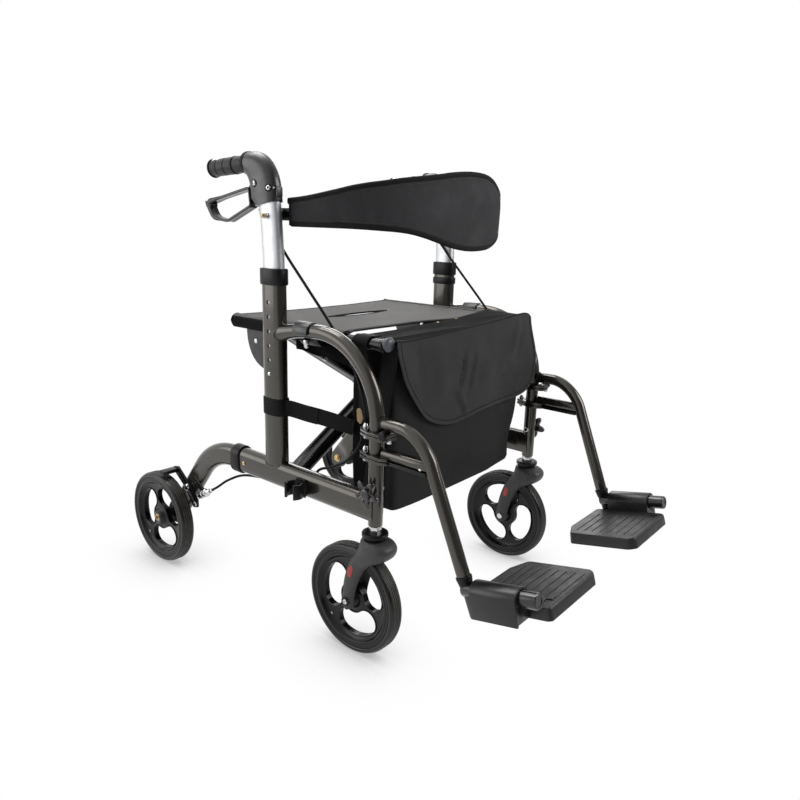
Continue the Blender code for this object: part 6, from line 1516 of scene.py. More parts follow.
def seatHeight(x, back):
    share = min(abs(x) / sling["half"], 1)
    middle = sin(pi * clamped((back - sling["front"]) / (sling["rear"] - sling["front"])))
    dip = sling["sag"] * (1 - share ** 2) * (0.6 + 0.4 * middle)
    ripple = 0.0005 * wavy(x * 16, back * 10, 0) * (1 - share ** 6)
    return brace["railZ"] + brace["rail"] + 0.0005 + sling["thick"] / 2 - dip + ripple


def onSeat(x, back, lift=0.0):
    return Vector((x, postY + back, seatHeight(x, back) + lift))


def makeSling():
    half, rows = sling["half"], []
    for i in range(73):
        t = i / 72
        row = []
        for j in range(97):
            x = -half + 2 * half * j / 96
            row.append(onSeat(x, frontEdge(x) * (1 - t) + sling["rear"] * t))
        rows.append(row)
    sheet = cloth(rows, sling["thick"])
    rise = sling["slotWide"] / 2
    lens = [(-sling["slotLong"] / 2 + sling["slotLong"] * i / 24, -rise * sin(pi * i / 24) ** 0.7)
            for i in range(25)]
    lens += [(-a, -b) for a, b in lens[1:-1]]
    trimmed(sheet, plate(lens, spot(1, 0, sling["slotBack"], 0), xAxis, yAxis, zAxis, 0.53, 0.58))
    settle(sheet, "seatSling", seatCloth, "seat", "seat")
    area = sum(face.area for face in sheet.data.polygons) / 2
    tape = flatOval(sling["thick"] + 0.0016, sling["binding"])
    edges = []
    for back, count in ((None, 60), (sling["rear"] - 0.003, 60)):
        xs = [-half + 0.002 + (2 * half - 0.004) * i / count for i in range(count + 1)]
        edges.append(sweep([onSeat(x, (frontEdge(x) + 0.003) if back is None else back) for x in xs],
                           tape if back is None else flatOval(sling["thick"] + 0.0016, 0.006), yAxis))
    rim = [onSeat(a * 1.01, sling["slotBack"] + b * 1.12, 0.0004) for a, b in lens]
    edges.append(sweep(rim, circle(0.0019, 10), zAxis, loop=True))
    binding = settle(joined(*edges), "seatBinding", bindingTape, "seat")
    hems = []
    for name, side in sides.items():
        body, radius = ("brace_b", "brace_a")[side > 0], brace["rail"] + 0.0017 + sling["thick"]
        rows, start = [], frontEdge(side * sling["half"])
        for i in range(41):
            back = start + 0.001 + (sling["rear"] - start - 0.002) * i / 40
            lift = 0.0006 * wavy(back * 30, side * 3, 0)
            rows.append([spot(side, brace["railOut"] + (radius + lift) * cos(t), back,
                              brace["railZ"] + (radius + lift) * sin(t))
                         for t in [radians(112 - (112 - sling["hemEnd"]) * k / 14) for k in range(15)]])
        hem = cloth(rows, 0.0018)
        wrap = []  # the black sleeve below the grey hem
        for i in range(41):
            back = start + 0.002 + (sling["rear"] - start - 0.004) * i / 40
            wrap.append([spot(side, brace["railOut"] + (radius - 0.0008) * cos(t), back,
                              brace["railZ"] + (radius - 0.0008) * sin(t))
                         for t in [radians(56 - 8.5 * k) for k in range(13)]])
        hems.append(settle(cloth(wrap, 0.0012), f"{name}SeatSleeve", shadedPanelCloth, body))
        hems.append(settle(hem, f"{name}SeatHem", seatCloth, body))
        low = radians(sling["hemEnd"] - 3)
        path = [spot(side, brace["railOut"] + radius * cos(low),
                     start + 0.0005 + (sling["rear"] - start - 0.001) * i / 30,
                     brace["railZ"] + radius * sin(low)) for i in range(31)]
        ends = []
        for back, wide in ((start + 0.0022, 0.005), (sling["rear"] - 0.0012, 0.0026)):
            ends.append(sweep([spot(side, brace["railOut"] + (radius + 0.0004) * cos(t), back,
                                    brace["railZ"] + (radius + 0.0004) * sin(t))
                               for t in [radians(104 - 100 * k / 12) for k in range(13)]],
                              flatOval(0.0024, wide, 6), yAxis))
        edge = joined(sweep(path, [(1.3 * a, 1.9 * b) for a, b in circle(0.0011, 12)], xAxis), *ends)
        hems.append(settle(edge, f"{name}HemBinding", bindingTape, body))
        rows = []  # the loose inner edge of the sleeve, which hangs beside the rail
        for i in range(33):
            back = 0.096 + 0.15 * i / 32
            foot = 0.497 + 0.011 * i / 32 + 0.0015 * sin(back * 90)
            rows.append([spot(side, 0.2012 - 0.0012 * sin(back * 70 + k) * k / 8, back,
                              0.55 + (foot - 0.55) * k / 8) for k in range(9)])
        hems.append(settle(cloth(rows, 0.0012), f"{name}SleeveEdge", shadedShellCloth, body))
    crumpling(sheet)
    crumpling(binding)
    round(area / (2 * half), 4)
    [binding] + hems


makeSling()
print("seat sling made")


# The bag; wide and thick are its shares of the full size over its height
bag = {"half": 0.203, "front": 0.003, "rear": 0.108, "foot": 0.251, "top": 0.5535,
       "wide": [(0, 0.925), (0.012, 0.955), (0.045, 0.975), (0.12, 0.99), (0.3, 1), (1, 1)],
       "thick": [(0, 0.8), (0.012, 0.88), (0.045, 0.94), (0.12, 0.99), (0.3, 1), (0.7, 0.99), (0.86, 0.92),
                 (0.95, 0.76), (1, 0.56)]}
flap = {"front": -0.0068, "thick": 0.0014, "tape": 0.0085,
        "seam": [(-0.2145, 0.553), (-0.19, 0.552), (-0.12, 0.5535), (-0.04, 0.557), (0.04, 0.5605),
                 (0.1, 0.5642), (0.15, 0.5678), (0.18, 0.5686), (0.1965, 0.5652), (0.2065, 0.558)],
        "near": [(-0.2145, 0.553), (-0.213, 0.533), (-0.208, 0.514), (-0.199, 0.49), (-0.1815, 0.464),
                 (-0.157, 0.436)], "foot": [(-0.157, 0.436), (-0.134, 0.4136), (-0.106, 0.3985),
                                            (-0.075, 0.3895), (-0.044, 0.3865), (-0.011, 0.3885),
                                            (0.031, 0.393), (0.075, 0.3965), (0.122, 0.3985),
                                            (0.16, 0.4025), (0.19, 0.412), (0.208, 0.429)],
        "far": [(0.2065, 0.558), (0.2088, 0.52), (0.2125, 0.49), (0.2145, 0.465), (0.214, 0.445),
                (0.208, 0.429)], "folds": [(-0.026, 0.512, -0.037, 0.452, 0.003, 0.0036),
                                           (-0.016, 0.505, -0.026, 0.45, 0.005, -0.003),
                                           (0.006, 0.508, -0.004, 0.447, 0.0034, 0.0026),
                                           (0.016, 0.505, 0.008, 0.45, 0.006, -0.0018),
                                           (-0.037, 0.447, -0.008, 0.404, 0.006, -0.0034),
                                           (-0.05, 0.44, -0.02, 0.4, 0.005, 0.0022),
                                           (0.16, 0.56, 0.128, 0.487, 0.005, -0.0032),
                                           (0.126, 0.49, 0.094, 0.466, 0.007, -0.0026),
                                           (0.176, 0.552, 0.15, 0.48, 0.008, 0.003),
                                           (-0.108, 0.535, -0.082, 0.44, 0.02, -0.003),
                                           (-0.165, 0.53, -0.14, 0.44, 0.012, 0.002),
                                           (0.06, 0.545, 0.05, 0.42, 0.024, -0.0022)]}


def seamHeight(x):
    return between(flap["seam"], x)


def flapBack(x, z):
    low = clamped((0.56 - z) / 0.12)
    flare = -0.013 * eased((x - 0.11) / 0.1) * eased((0.56 - z) / 0.09)
    flare -= 0.004 * eased((-0.11 - x) / 0.08) * low
    back = flap["front"] - 0.003 * sin(pi * low) + flare
    return back + creased(x, z, flap["folds"]) + 0.0009 * wavy(x * 22, z * 12, 5)


def onFlap(point, lift=0.0):
    return Vector((point.x, postY + flapBack(point.x, point.z) - lift, point.z))


def makeFlap():
    across, down = 100, 72
    def edge(name, count):
        return smoothPath([Vector((x, 0, z)) for x, z in flap[name]], count + 1)
    top = edge("seam", across)
    top[0], top[-1] = (Vector((flap[name][0][0], 0, flap[name][0][1])) for name in ("near", "far"))
    foot, near, far = edge("foot", across), edge("near", down), edge("far", down)
    rows = []
    for j in range(down + 1):
        t, row = j / down, []
        for i in range(across + 1):
            s = i / across
            point = (top[i] * (1 - t) + foot[i] * t + near[j] * (1 - s) + far[j] * s
                     - (top[0] * (1 - s) * (1 - t) + top[-1] * s * (1 - t) + foot[0] * (1 - s) * t
                        + foot[-1] * s * t))
            row.append(onFlap(point))
        rows.append(row)
    sheet = cloth(rows, flap["thick"])
    area = sum(face.area for face in sheet.data.polygons) / 2
    settle(sheet, "bagFlap", bagCloth, "seat", sharp=60)
    outline = smoothPath([Vector((x, 0, z)) for x, z in flap["near"] + flap["foot"][1:]
                          + flap["far"][-2::-1]], 190)
    inner, stitched = [], []
    for i, point in enumerate(outline):
        run = (outline[min(i + 2, 189)] - outline[max(i - 2, 0)]).normalized()
        inward = Vector((-run.z, 0, run.x))
        inner.append(onFlap(point + inward * flap["tape"] * 0.45))
        stitched.append(onFlap(point + inward * (flap["tape"] - 0.0012), flap["thick"] / 2 + 0.0009))
    tape = sweep(inner, stadium(flap["thick"] + 0.001, flap["tape"], 6), yAxis)
    binding = settle(tape, "flapBinding", bagCloth, "seat", sharp=60)
    stitches = beadRow(stitched, darkThread, 0.0038, 0.0036, 0.0005)
    settle(stitches, "flapStitches", darkThread, "seat")
    seam = [onFlap(point) + zAxis * 0.0012 for point in top]
    piping = settle(sweep(seam, circle(0.0013, 10), yAxis), "flapSeam", bindingTape, "seat")
    for piece in (sheet, binding, stitches, piping):
        crumpling(piece)


rearSeam = [(-0.225, 0.556), (-0.205, 0.5545), (-0.12, 0.5555), (-0.02, 0.5585), (0.06, 0.561),
            (0.12, 0.5658), (0.165, 0.57), (0.19, 0.5675), (0.21, 0.56)]
topFolds = [(-0.19, 0.06, -0.05, 0.03, 0.006, 0.0022), (-0.16, 0.02, -0.03, 0.045, 0.008, -0.0018),
            (0.1, 0.05, 0.17, 0.02, 0.007, 0.0018)]


def topHeight(x, back):
    t = clamped((back - flap["front"]) / (0.076 - flap["front"]))
    dip = -0.0078 * sin(pi * t ** 0.62) * (1 - (x / 0.22) ** 2)  # room for the folded backrest band
    return seamHeight(x) * (1 - t) + between(rearSeam, x) * t + dip + 0.6 * creased(x, back, topFolds)


def lip(x):
    return max(eased((x + 0.122) / 0.018), eased((-0.184 - x) / 0.01))


def makeBag():
    rows = []
    for i in range(57):
        t = i / 56
        back = flap["front"] + (0.075 - flap["front"]) * t
        reach = 0.2035 + 0.0085 * eased((0.004 - back) / 0.008)
        xs = [-reach + (reach + min(reach, 0.2075)) * j / 96 for j in range(97)]
        rows.append([Vector((x, postY + back, topHeight(x, back))) for x in xs])
    reach = 0.2035
    xs = [-reach + (reach + reach) * j / 96 for j in range(97)]
    # its rear lip, which tucks under the seat
    for back, sink in ((0.082, 0.0035), (0.092, 0.008), (0.102, 0.0115), (0.116, 0.0135)):
        sunk, row = min(1, sink / 0.008), []
        for x in xs:
            z = topHeight(x, 0.075) - sink * lip(x) - 0.004 * eased((x - 0.06) / 0.1) * sunk
            row.append(Vector((x, postY + 0.075 + (back - 0.075) * lip(x), z)))
        rows.append(row)
    panel = cloth(rows, flap["thick"])
    area = sum(face.area for face in panel.data.polygons) / 2
    settle(panel, "bagTopPanel", shadedPanelCloth, "seat", sharp=60)
    rings = []
    middle, deep = (bag["front"] + bag["rear"]) / 2, (bag["rear"] - bag["front"]) / 2
    stations = [0, 0.004, 0.012, 0.025, 0.045, 0.07] + [0.1 + 0.86 * i / 30 for i in range(31)] + [1.0]
    levels = [(0, 0.2), (0, 0.6), (0, 0.86), (0, 0.95)] + [(t, 1) for t in stations]
    for share, shrink in levels + [(1, 0.9), (1, 0.5), (1, 0.1)]:
        z = bag["foot"] + (bag["top"] - bag["foot"]) * share
        wide, thick = between(bag["wide"], share) * shrink, between(bag["thick"], share) * shrink
        loop = []
        for a, b in superellipse(bag["half"] * wide, deep * thick, 15.0, 160):
            edge = abs(a) / bag["half"]
            pull = 0.024 * eased((a - 0.04) / 0.15) * bell((z - 0.3) / 0.05)
            pinch = 0.01 * eased((abs(a) - 0.12) / 0.08) * sin(pi * min(share * 1.25, 1))
            pinch *= 1 - abs(b) / deep
            face = -1 if b < 0 else 1
            sway = 0.0024 * sin(a * 30 + 5 * share) * (1 - edge ** 4) * eased(share / 0.3)
            sway += 0.0016 * wavy(a * 14, z * 11, face)
            bulge = 0.0045 * (1 - edge ** 2) * sin(pi * min(share / 0.62, 1)) * face
            low = 0.004 * (1 - edge ** 2) * (1 - min(share / 0.05, 1))
            x = a - pull - pinch * (1 if a > 0 else -1)
            y = postY + middle + b + (bulge + sway) * min(abs(b) / deep, 1) ** 4
            lift = 0.006 * eased((a - 0.08) / 0.1) * (1 - min(share / 0.08, 1))
            loop.append(Vector((x, y, z - low + lift)))
        rings.append(loop)
    body = skin(rings)
    settle(body, "bagBody", shadedShellCloth, "seat", "bag", sharp=70)
    pieces = [body]
    for name, side in sides.items():
        rail, reach = brace["railOut"], brace["rail"] + 0.0026
        turns = [radians(110 - 11 * k) for k in range(13)]
        path = [(0.199, 0.5562), (0.205, 0.5572)]
        path += [(rail + reach * cos(t), brace["railZ"] + reach * sin(t)) for t in turns]
        path += [(0.226, 0.52), (0.219, 0.495), (0.211, 0.47), (0.2062, 0.445), (0.205, 0.415)]
        path = smoothPath([Vector((out, 0, z)) for out, z in path], 60)
        backs = [between([(0, 0.0585), (0.35, 0.06), (1, 0.066)], i / 59) for i in range(60)]
        loop = sweep([spot(side, p.x, b, p.z) for p, b in zip(path, backs)], flatOval(0.0018, 0.034, 6),
                     yAxis)
        strap = [(0.2048, 0.0135, 0.546), (0.205, 0.016, 0.515), (0.2052, 0.024, 0.468),
                 (0.205, 0.032, 0.421), (0.2042, 0.042, 0.36), (0.203, 0.052, 0.3), (0.1985, 0.058, 0.258)]
        points = smoothPath([spot(side, *place) for place in strap], 50)
        webbed = sweep(points, flatOval(0.0018, 0.034, 6), yAxis)
        pieces.append(settle(joined(loop, webbed), f"{name}BagLoop", strapWebbing, "seat", sharp=60))
    for piece in pieces + [panel]:
        crumpling(piece)
    round(area / 0.424, 4)


makeBag()
makeFlap()
print("bag made")


# Backrest band, a thin pad with a bound edge, and the straps round the uprights
band = {"out": 0.2262, "back": 0.248, "reach": 0.23, "power": 2 / 2.6, "end": 0.021, "thick": 0.0078,
        "tape": 0.01}


def bandPlace(turn):
    angle = abs(turn) * pi / 2
    out = band["out"] * sin(angle) ** band["power"]
    return Vector((out if turn > 0 else -out, postY + band["back"]
                   - band["reach"] * cos(angle) ** band["power"], 0))


bandLow = [(-0.2262, 0.7275), (-0.2, 0.7268), (-0.17, 0.7248), (-0.152, 0.7235), (-0.13, 0.7205),
           (-0.106, 0.7148), (-0.078, 0.707), (-0.046, 0.6988), (0.0, 0.693), (0.046, 0.693),
           (0.078, 0.6962), (0.108, 0.704), (0.132, 0.7115), (0.152, 0.718), (0.17, 0.7225), (0.2, 0.7268),
           (0.2262, 0.7275)]
bandHigh = [(-0.2262, 0.774), (-0.224, 0.7775), (-0.218, 0.7835), (-0.21, 0.789), (-0.2, 0.7945),
            (-0.186, 0.7992), (-0.17, 0.8028), (-0.152, 0.8068), (-0.13, 0.8104), (-0.106, 0.814),
            (-0.078, 0.818), (-0.046, 0.823), (0.0, 0.8272), (0.046, 0.8268), (0.078, 0.8212),
            (0.108, 0.81), (0.132, 0.8015), (0.152, 0.7985), (0.17, 0.797), (0.2, 0.7925), (0.21, 0.7885),
            (0.218, 0.7835), (0.224, 0.7775), (0.2262, 0.774)]
bandLow, bandHigh = ([(p.x, p.z) for p in smoothPath([Vector((x, 0, z)) for x, z in table], 160)]
                     for table in (bandLow, bandHigh))


def bandHeights(x):
    return between(bandLow, x), between(bandHigh, x)


def bandFrame(turn):
    place = bandPlace(turn)
    ahead = (bandPlace(min(turn + 0.004, 1)) - bandPlace(max(turn - 0.004, -1))).normalized()
    return place, Vector((ahead.y, -ahead.x, 0))  # its outward direction


def bandHalf(place):
    return band["thick"] * (0.5 + 0.22 * (1 - min(abs(place.x) / band["out"], 1)))


def makeBand():
    last = acos((band["end"] / band["reach"]) ** (1 / band["power"])) / (pi / 2)
    turns = [-last + 2 * last * i / 150 for i in range(151)]
    rings = []
    for turn in turns:
        place, outward = bandFrame(turn)
        low, high = bandHeights(place.x)
        half, loop = bandHalf(place), []
        for k in range(64):
            t = 2 * pi * (k + 0.5) / 64
            a, b = signed(cos(t), 0.9), signed(sin(t), 0.45)
            z = (low + high) / 2 + (high - low - 0.004) / 2 * b
            crown = half * a * (1 + 0.25 * (1 - b * b))
            dent = 0.0
            if a > 0:
                dent = -0.0022 * bell((turn + 0.52) / 0.035, (z - 0.752) / 0.016)
                dent -= 0.0016 * bell((turn + 0.72) / 0.025, (z - 0.745) / 0.012)
                dent += 0.0011 * wavy(turn * 7, z * 24, 3) * (1 - b * b)
            loop.append(place + outward * (crown + dent) + zAxis * z)
        rings.append(loop)
    pad = smoothed(skin(rings), 1)
    settle(pad, "backrestPad", bandCloth, "right_backrest", "backrest", sharp=70)
    pieces, lines = [], []
    for upper in (False, True):
        rings, line = [], []
        for turn in turns:
            place, outward = bandFrame(turn)
            low, high = bandHeights(place.x)
            inset = band["tape"] / 2 - 0.0006
            z = high - inset if upper else low + inset
            rings.append(ring(place + zAxis * z, outward, zAxis,
                              stadium(band["thick"] + 0.0012, band["tape"] + 0.0008, 8)))
            z = high - band["tape"] - 0.001 if upper else low + band["tape"] + 0.001
            line.append(place + outward * (bandHalf(place) + 0.0006) + zAxis * z)
        pieces.append(skin(rings))
        lines.append(line)
    for turn in (turns[0], turns[-1]):  # bound ends, with a short tongue of tape above the arm
        place, outward = bandFrame(turn)
        low, high = bandHeights(place.x)
        along = Vector((-outward.y, outward.x, 0))
        pieces.append(skin([ring(place + zAxis * z, outward, along, flatOval(0.0086, 0.0105, 8))
                            for z in (low + 0.001, low + 0.012, high - 0.012, high - 0.001)]))
        tip = place + yAxis * 0.0045 + zAxis * (high - 0.0052)
        pieces.append(skin([ring(tip - yAxis * b, xAxis, zAxis, stadium(0.0078, 0.0112, 8))
                            for b in (-0.0025, 0.008)]))
    settle(joined(*pieces), "backrestBinding", bindingTape, "right_backrest", sharp=60)
    for line, level in zip(lines, ("Lower", "Upper")):
        stitches = beadRow(line, bandThread, 0.0042, 0.0031, 0.00034)
        settle(stitches, f"backrest{level}Stitches", bandThread, "right_backrest")
    for name in ("backrestPad", "backrestBinding", "backrestLowerStitches", "backrestUpperStitches"):
        crumpling(bpy.data.objects[name])


def makeUprightStrap(side, name):
    low, high = 0.393, 0.425
    profile = [(low, 0.0005), (low + 0.0008, 0.0018), (high - 0.0008, 0.0018), (high, 0.0005),
               (high, 0.0003), (low, 0.0003)]
    rings = [ring(centre, xAxis, yAxis, section) for centre, section in bandStations(side, profile)]
    settle(skin(rings, loop=True), f"{name}StrapLoop", strapWebbing, f"{name}_side", sharp=60)
    path = smoothPath([spot(side, 0.25, 0.2212, 0.409), spot(side, 0.244, 0.21, 0.408),
                       spot(side, 0.236, 0.182, 0.404), spot(side, 0.228, 0.153, 0.401),
                       spot(side, 0.218, 0.12, 0.396), spot(side, 0.207, 0.093, 0.39)], 44)
    tail = sweep(path, stadium(0.0016, 0.03, 6))
    doubled = sweep([p + xAxis * side * 0.0016 for p in path[:22]], stadium(0.0016, 0.0305, 6))
    settle(joined(tail, doubled), f"{name}BagStrap", strapWebbing, f"{name}_side", sharp=60)
    lines = []
    for k in (19, 20.4):
        place = path[int(k)].lerp(path[int(k) + 1], k % 1) + xAxis * side * 0.0026
        ends = [place - zAxis * 0.013, place + zAxis * 0.013]
        lines.append(beadRow(ends, threadCloth, 0.0026, 0.0019, 0.0003))
    settle(joined(*lines), f"{name}StrapStitches", threadCloth, f"{name}_side")


makeBand()
for name, side in sides.items():
    makeUprightStrap(side, name)
print("backrest band and straps made")

for name, side in sides.items():  # a small tan tab on the bag's side
    tab = rounded([(0.076, 0.406, 0.004), (0.085, 0.413, 0.005), (0.086, 0.434, 0.006),
                   (0.076, 0.438, 0.006), (0.071, 0.42, 0.006)], 6)
    tab = easedEdges(plate(tab, Vector((side * 0.2066, postY, -0.008)), yAxis, zAxis, xAxis, -0.001, 0.001),
                     0.0004)
    crumpling(settle(tab, f"{name}BagTab", tanLeather, "seat"))
slotEnd = sling["slotLong"] / 2 + 0.003
places = [onSeat(x, sling["slotBack"], 0.001) for x in (slotEnd, -slotEnd)]
places += [Vector((x, postY + back, topHeight(x, back) + 0.0012))
           for x, back in ((-0.007, 0.069), (0.053, 0.07))]
eyelets = []  # small brass eyelets at the slot's ends and on the top panel's rear edge
for place in places:
    profile = [(0, 0.0014), (0.0004, 0.0024), (0.001, 0.0026), (0.0014, 0.002), (0.001, 0.0014)]
    eyelets.append(turned(profile, place, zAxis, 20, hollow=True))
crumpling(settle(joined(*eyelets), "brassEyelets", brassed, "seat"))

# Brake cables, cane clip, and the small fasteners
cable = {"radius": 0.0025,
         "route": [(0.243, 0.29, 0.7582), (0.2428, 0.2893, 0.75), (0.2345, 0.276, 0.727),
                   (0.234, 0.234, 0.679), (0.2335, 0.181, 0.626), (0.233, 0.118, 0.5625),
                   (0.234, 0.065, 0.498), (0.238, 0.038, 0.44), (0.2395, 0.039, 0.41),
                   (0.24, 0.048, 0.375), (0.2395, 0.079, 0.34), (0.239, 0.115, 0.32),
                   (0.2365, 0.148, 0.306), (0.23, 0.17, 0.283), (0.228, 0.188, 0.262),
                   (0.228, 0.225, 0.253), (0.2285, 0.295, 0.246), (0.233, 0.37, 0.236)],
         "underLeg": [(0.247, 0.2081, 0.0678), (0.258, 0.1827, 0.0625)]}


def makeCable(side, name):
    points = [spot(side, *place) for place in cable["route"]]
    points += [spot(side, out, *onLeg(up, below)) for out, up, below in cable["underLeg"]]
    first, last = onLeg(*brake["barrelStart"]), onLeg(*brake["barrelEnd"])
    axis = Vector((0, last[0] - first[0], last[1] - first[1])).normalized()
    end = spot(side, 0.2627, *first) - axis * 0.0009
    points += [end - axis * 0.008, end]
    sheath = cablePattern().grow(wirePath(smoothPath(points, 260)), cableSheath, Radius=cable["radius"],
                                 Sides=18, Step=0.0035)
    settle(sheath, f"{name}BrakeCable", cableSheath, f"{name}_side", f"{name}_brake_cable", sharp=60)
    start, ahead = points[0], (points[1] - points[0]).normalized()
    ferrules = turned([(-0.004, 0.003), (-0.004, 0.0042), (0.0, 0.0044), (0.0055, 0.0044), (0.0062, 0.004),
                       (0.0062, 0.0032), (0.012, 0.0031), (0.013, 0.0027)], start, ahead, 24)
    lower = turned([(-0.0005, 0.0029), (0.0005, 0.0036), (0.008, 0.0036), (0.0088, 0.003)],
                   end - axis * 0.009, axis, 24)
    settle(joined(ferrules, lower), f"{name}CableFerrules", chromed, f"{name}_side", edge=0.0002)


def makeCaneClip():
    outline = arc((0, 0), 0.0165, 50, 310, 40) + arc((0, 0), 0.0125, 310, 50, 40)
    pad = [(-0.0185, -0.0135), (-0.0185, 0.0135), (-0.012, 0.011), (-0.012, -0.011)]
    centre = spot(-1, 0.2838, 0.163, 0)
    clip = plate(outline, centre, -xAxis, yAxis, zAxis, 0.263, 0.29)
    back = plate(pad, centre, -xAxis, yAxis, zAxis, 0.263, 0.29)
    ribs = [plate([(-0.0172, -0.012), (-0.0172, 0.012), (-0.0145, 0.012), (-0.0145, -0.012)], centre,
                  -xAxis, yAxis, zAxis, z, z + 0.003) for z in (0.26, 0.29)]
    lips = []
    for turn in (50, -50):
        spoke = radians(turn)
        place = centre - xAxis * 0.0146 * cos(spoke) + yAxis * 0.0146 * sin(spoke)
        lips.append(rod(place + zAxis * 0.263, place + zAxis * 0.29, 0.0026, 16))
    settle(easedEdges(joined(clip, back, *ribs, *lips), 0.0006, angle=50), "caneClip", blackPlastic,
           "right_side", "cane_holder")


heads = {"hex": ([(0.0, 1.0), (0.0, 1.0), (0.75, 1.0), (0.92, 0.88), (1.0, 0.7), (1.0, 0.1)], 6),
         "cup": ([(0.0, 1.0), (0.6, 1.0), (1.0, 0.92), (1.0, 0.76), (0.5, 0.7)], 20),
         "acorn": ([(0.0, 1.0), (0.45, 1.0), (0.5, 0.86), (0.72, 0.8), (0.9, 0.58), (1.0, 0.2)], 12),
         "pan": ([(0.0, 1.0), (0.3, 1.0), (0.62, 0.9), (0.86, 0.66), (1.0, 0.36), (0.8, 0.3), (0.62, 0.24),
                  (0.62, 0.05)], 20)}


def headShape(kind):
    profile, steps = heads[kind]
    shape = turned(profile, Vector(), zAxis, steps)
    shape.hide_render = True
    return shape


def onto(label, place, direction):
    bpy.context.view_layer.update()
    _, found, normal, _ = bpy.data.objects[label].ray_cast(place, direction)
    return found - normal * 0.0004, normal


def headsOn(label, kind, finish, body, radius, height, places):
    base, head = pointCloud(places), headShape(kind)
    grown = headPattern().grow(base, finish, Head=head, Radius=radius, Height=height)
    bpy.data.objects.remove(head)
    settle(grown, label, finish, body, edge=radius * 0.05, edgeAngle=40)


def makeFasteners(side, name):
    out, root, arm = xAxis * side, f"{name}_side", f"{name}_handle"
    screws = [onto(f"{name}Elbow", spot(side, 0.35, back, z), -out)
              for back, z in ((0.2744, 0.7964), (0.2418, 0.789))]
    stud = onto(f"{name}Elbow", spot(side, 0.35, 0.2342, 0.7892), -out)
    headsOn(f"{name}ElbowScrews", "pan", chromed, arm, 0.0044, 0.003, screws)
    headsOn(f"{name}ElbowStud", "pan", chromed, arm, 0.0018, 0.0014, [stud])
    headsOn(f"{name}ElbowCups", "cup", cableSheath, arm, 0.0066, 0.0012, screws)
    headsOn(f"{name}ElbowSockets", "hex", cableSheath, arm, 0.0019, 0.0033, screws)
    tube, pivot = arch["out"] + handle["wide"] / 2, (0.25, 0.7435)
    headsOn(f"{name}BackrestBolt", "hex", chromed, arm, 0.0052, 0.005,
            [(spot(side, tube - 0.0004, *pivot), out)])
    headsOn(f"{name}BackrestNut", "acorn", brassed, arm, 0.0042, 0.0068,
            [(spot(side, tube + 0.0044, *pivot), out)])
    washer = turned([(0, 0.003), (0, 0.0064), (0.0008, 0.0064), (0.0008, 0.003)],
                    spot(side, tube - 0.0002, *pivot), out, 24, hollow=True)
    settle(washer, f"{name}BoltWasher", chromed, arm)
    low = arch["out"] + lowerTube["wide"] / 2 + 0.0033
    headsOn(f"{name}CollarScrew", "pan", brassed, root, 0.0044, 0.0022,
            [(spot(side, low - 0.0032, 0.33, 0.2795), out)])
    headsOn(f"{name}RestNut", "acorn", chromed, root, 0.0055, 0.015, [(midSpot(side, 0.166, 0.54), -zAxis)])
    inner = brace["railOut"] + 0.0013
    headsOn(f"{name}GussetRivet", "pan", chromed, "brace_b" if side < 0 else "brace_a", 0.005, 0.0022,
            [(spot(side, inner, 0.341, 0.5126), out), (spot(side, inner - 0.0026, 0.341, 0.5126), -out)])
    hinge = []
    for z in hanger["rings"]:
        hinge += [(midSpot(side, hanger["boltBack"], z + 0.0048), zAxis),
                  (midSpot(side, hanger["boltBack"], z - 0.0048), -zAxis)]
    headsOn(f"{name}HingeNuts", "acorn", chromed, f"{name}_hanger", 0.0048, 0.0088, hinge)
    latch = [(spot(side, arch["out"] + 0.0045, -0.029, hanger["rings"][0] - 0.0045), -zAxis),
             (spot(side, arch["out"] - 0.006, -0.027, hanger["rings"][0] + 0.0045), zAxis)]
    headsOn(f"{name}LatchBolts", "hex", chromed, f"{name}_hanger", 0.0044, 0.005, latch)
    headsOn(f"{name}StrutRivet", "pan", chromed, f"{name}_hanger", 0.0034, 0.0024,
            [(spot(side, arch["out"] + 0.007, -0.096, 0.3745), (out + zAxis).normalized())])
    beads = []  # weld beads, small overlapping drops round each joint
    weld = [spot(side, arch["out"] + 0.014 * cos(t),
                 upright["back"] - upright["long"] / 2 + 0.0025 + 0.01 * abs(cos(t)) ** 3,
                 arch["top"] - arch["fall"] + 0.0145 * sin(t))
            for t in [2 * pi * i / 40 for i in range(41)]]
    beads.append(beadRow(weld, bronzePaint, 0.003, 0.0052, 0.0021, Loose=0.2, Seed=3))
    top = lowerTube["z"] + sqrt(max(lowerTube["tall"] ** 2 / 4 - 0.0001, 0)) - 0.0005
    foot = [spot(side, arch["out"] + a * 1.03, upright["back"] + b * 1.02,
                 top - 0.0095 * (abs(a) / 0.015) ** 3) for a, b in tubeOval(upright)]
    beads.append(beadRow(foot, bronzePaint, 0.003, 0.0052, 0.002, loop=True, Loose=0.2, Seed=5))
    settle(joined(*beads), f"{name}Welds", bronzePaint, root, sharp=70)


for name, side in sides.items():
    makeCable(side, name)
    makeFasteners(side, name)
makeCaneClip()
braceNut = (spot(-1, 0.15, brace["backs"][1] - 0.041, 0.488), Vector((0.5, 0, -0.86)).normalized())
headsOn("braceNuts", "acorn", chromed, "brace_b", 0.0046, 0.008, [braceNut])
print("cables and fasteners made")

# Camera, floor and studio lamps
view = {"azimuth": -50.289, "elevation": 14.31, "roll": 1.629, "focal": 30.847,
        "place": (-1.0378, -0.8841, 0.7344)}


def posed(place, across, above, back):
    return Matrix.Translation(place) @ Matrix((across, above, back)).transposed().to_4x4()


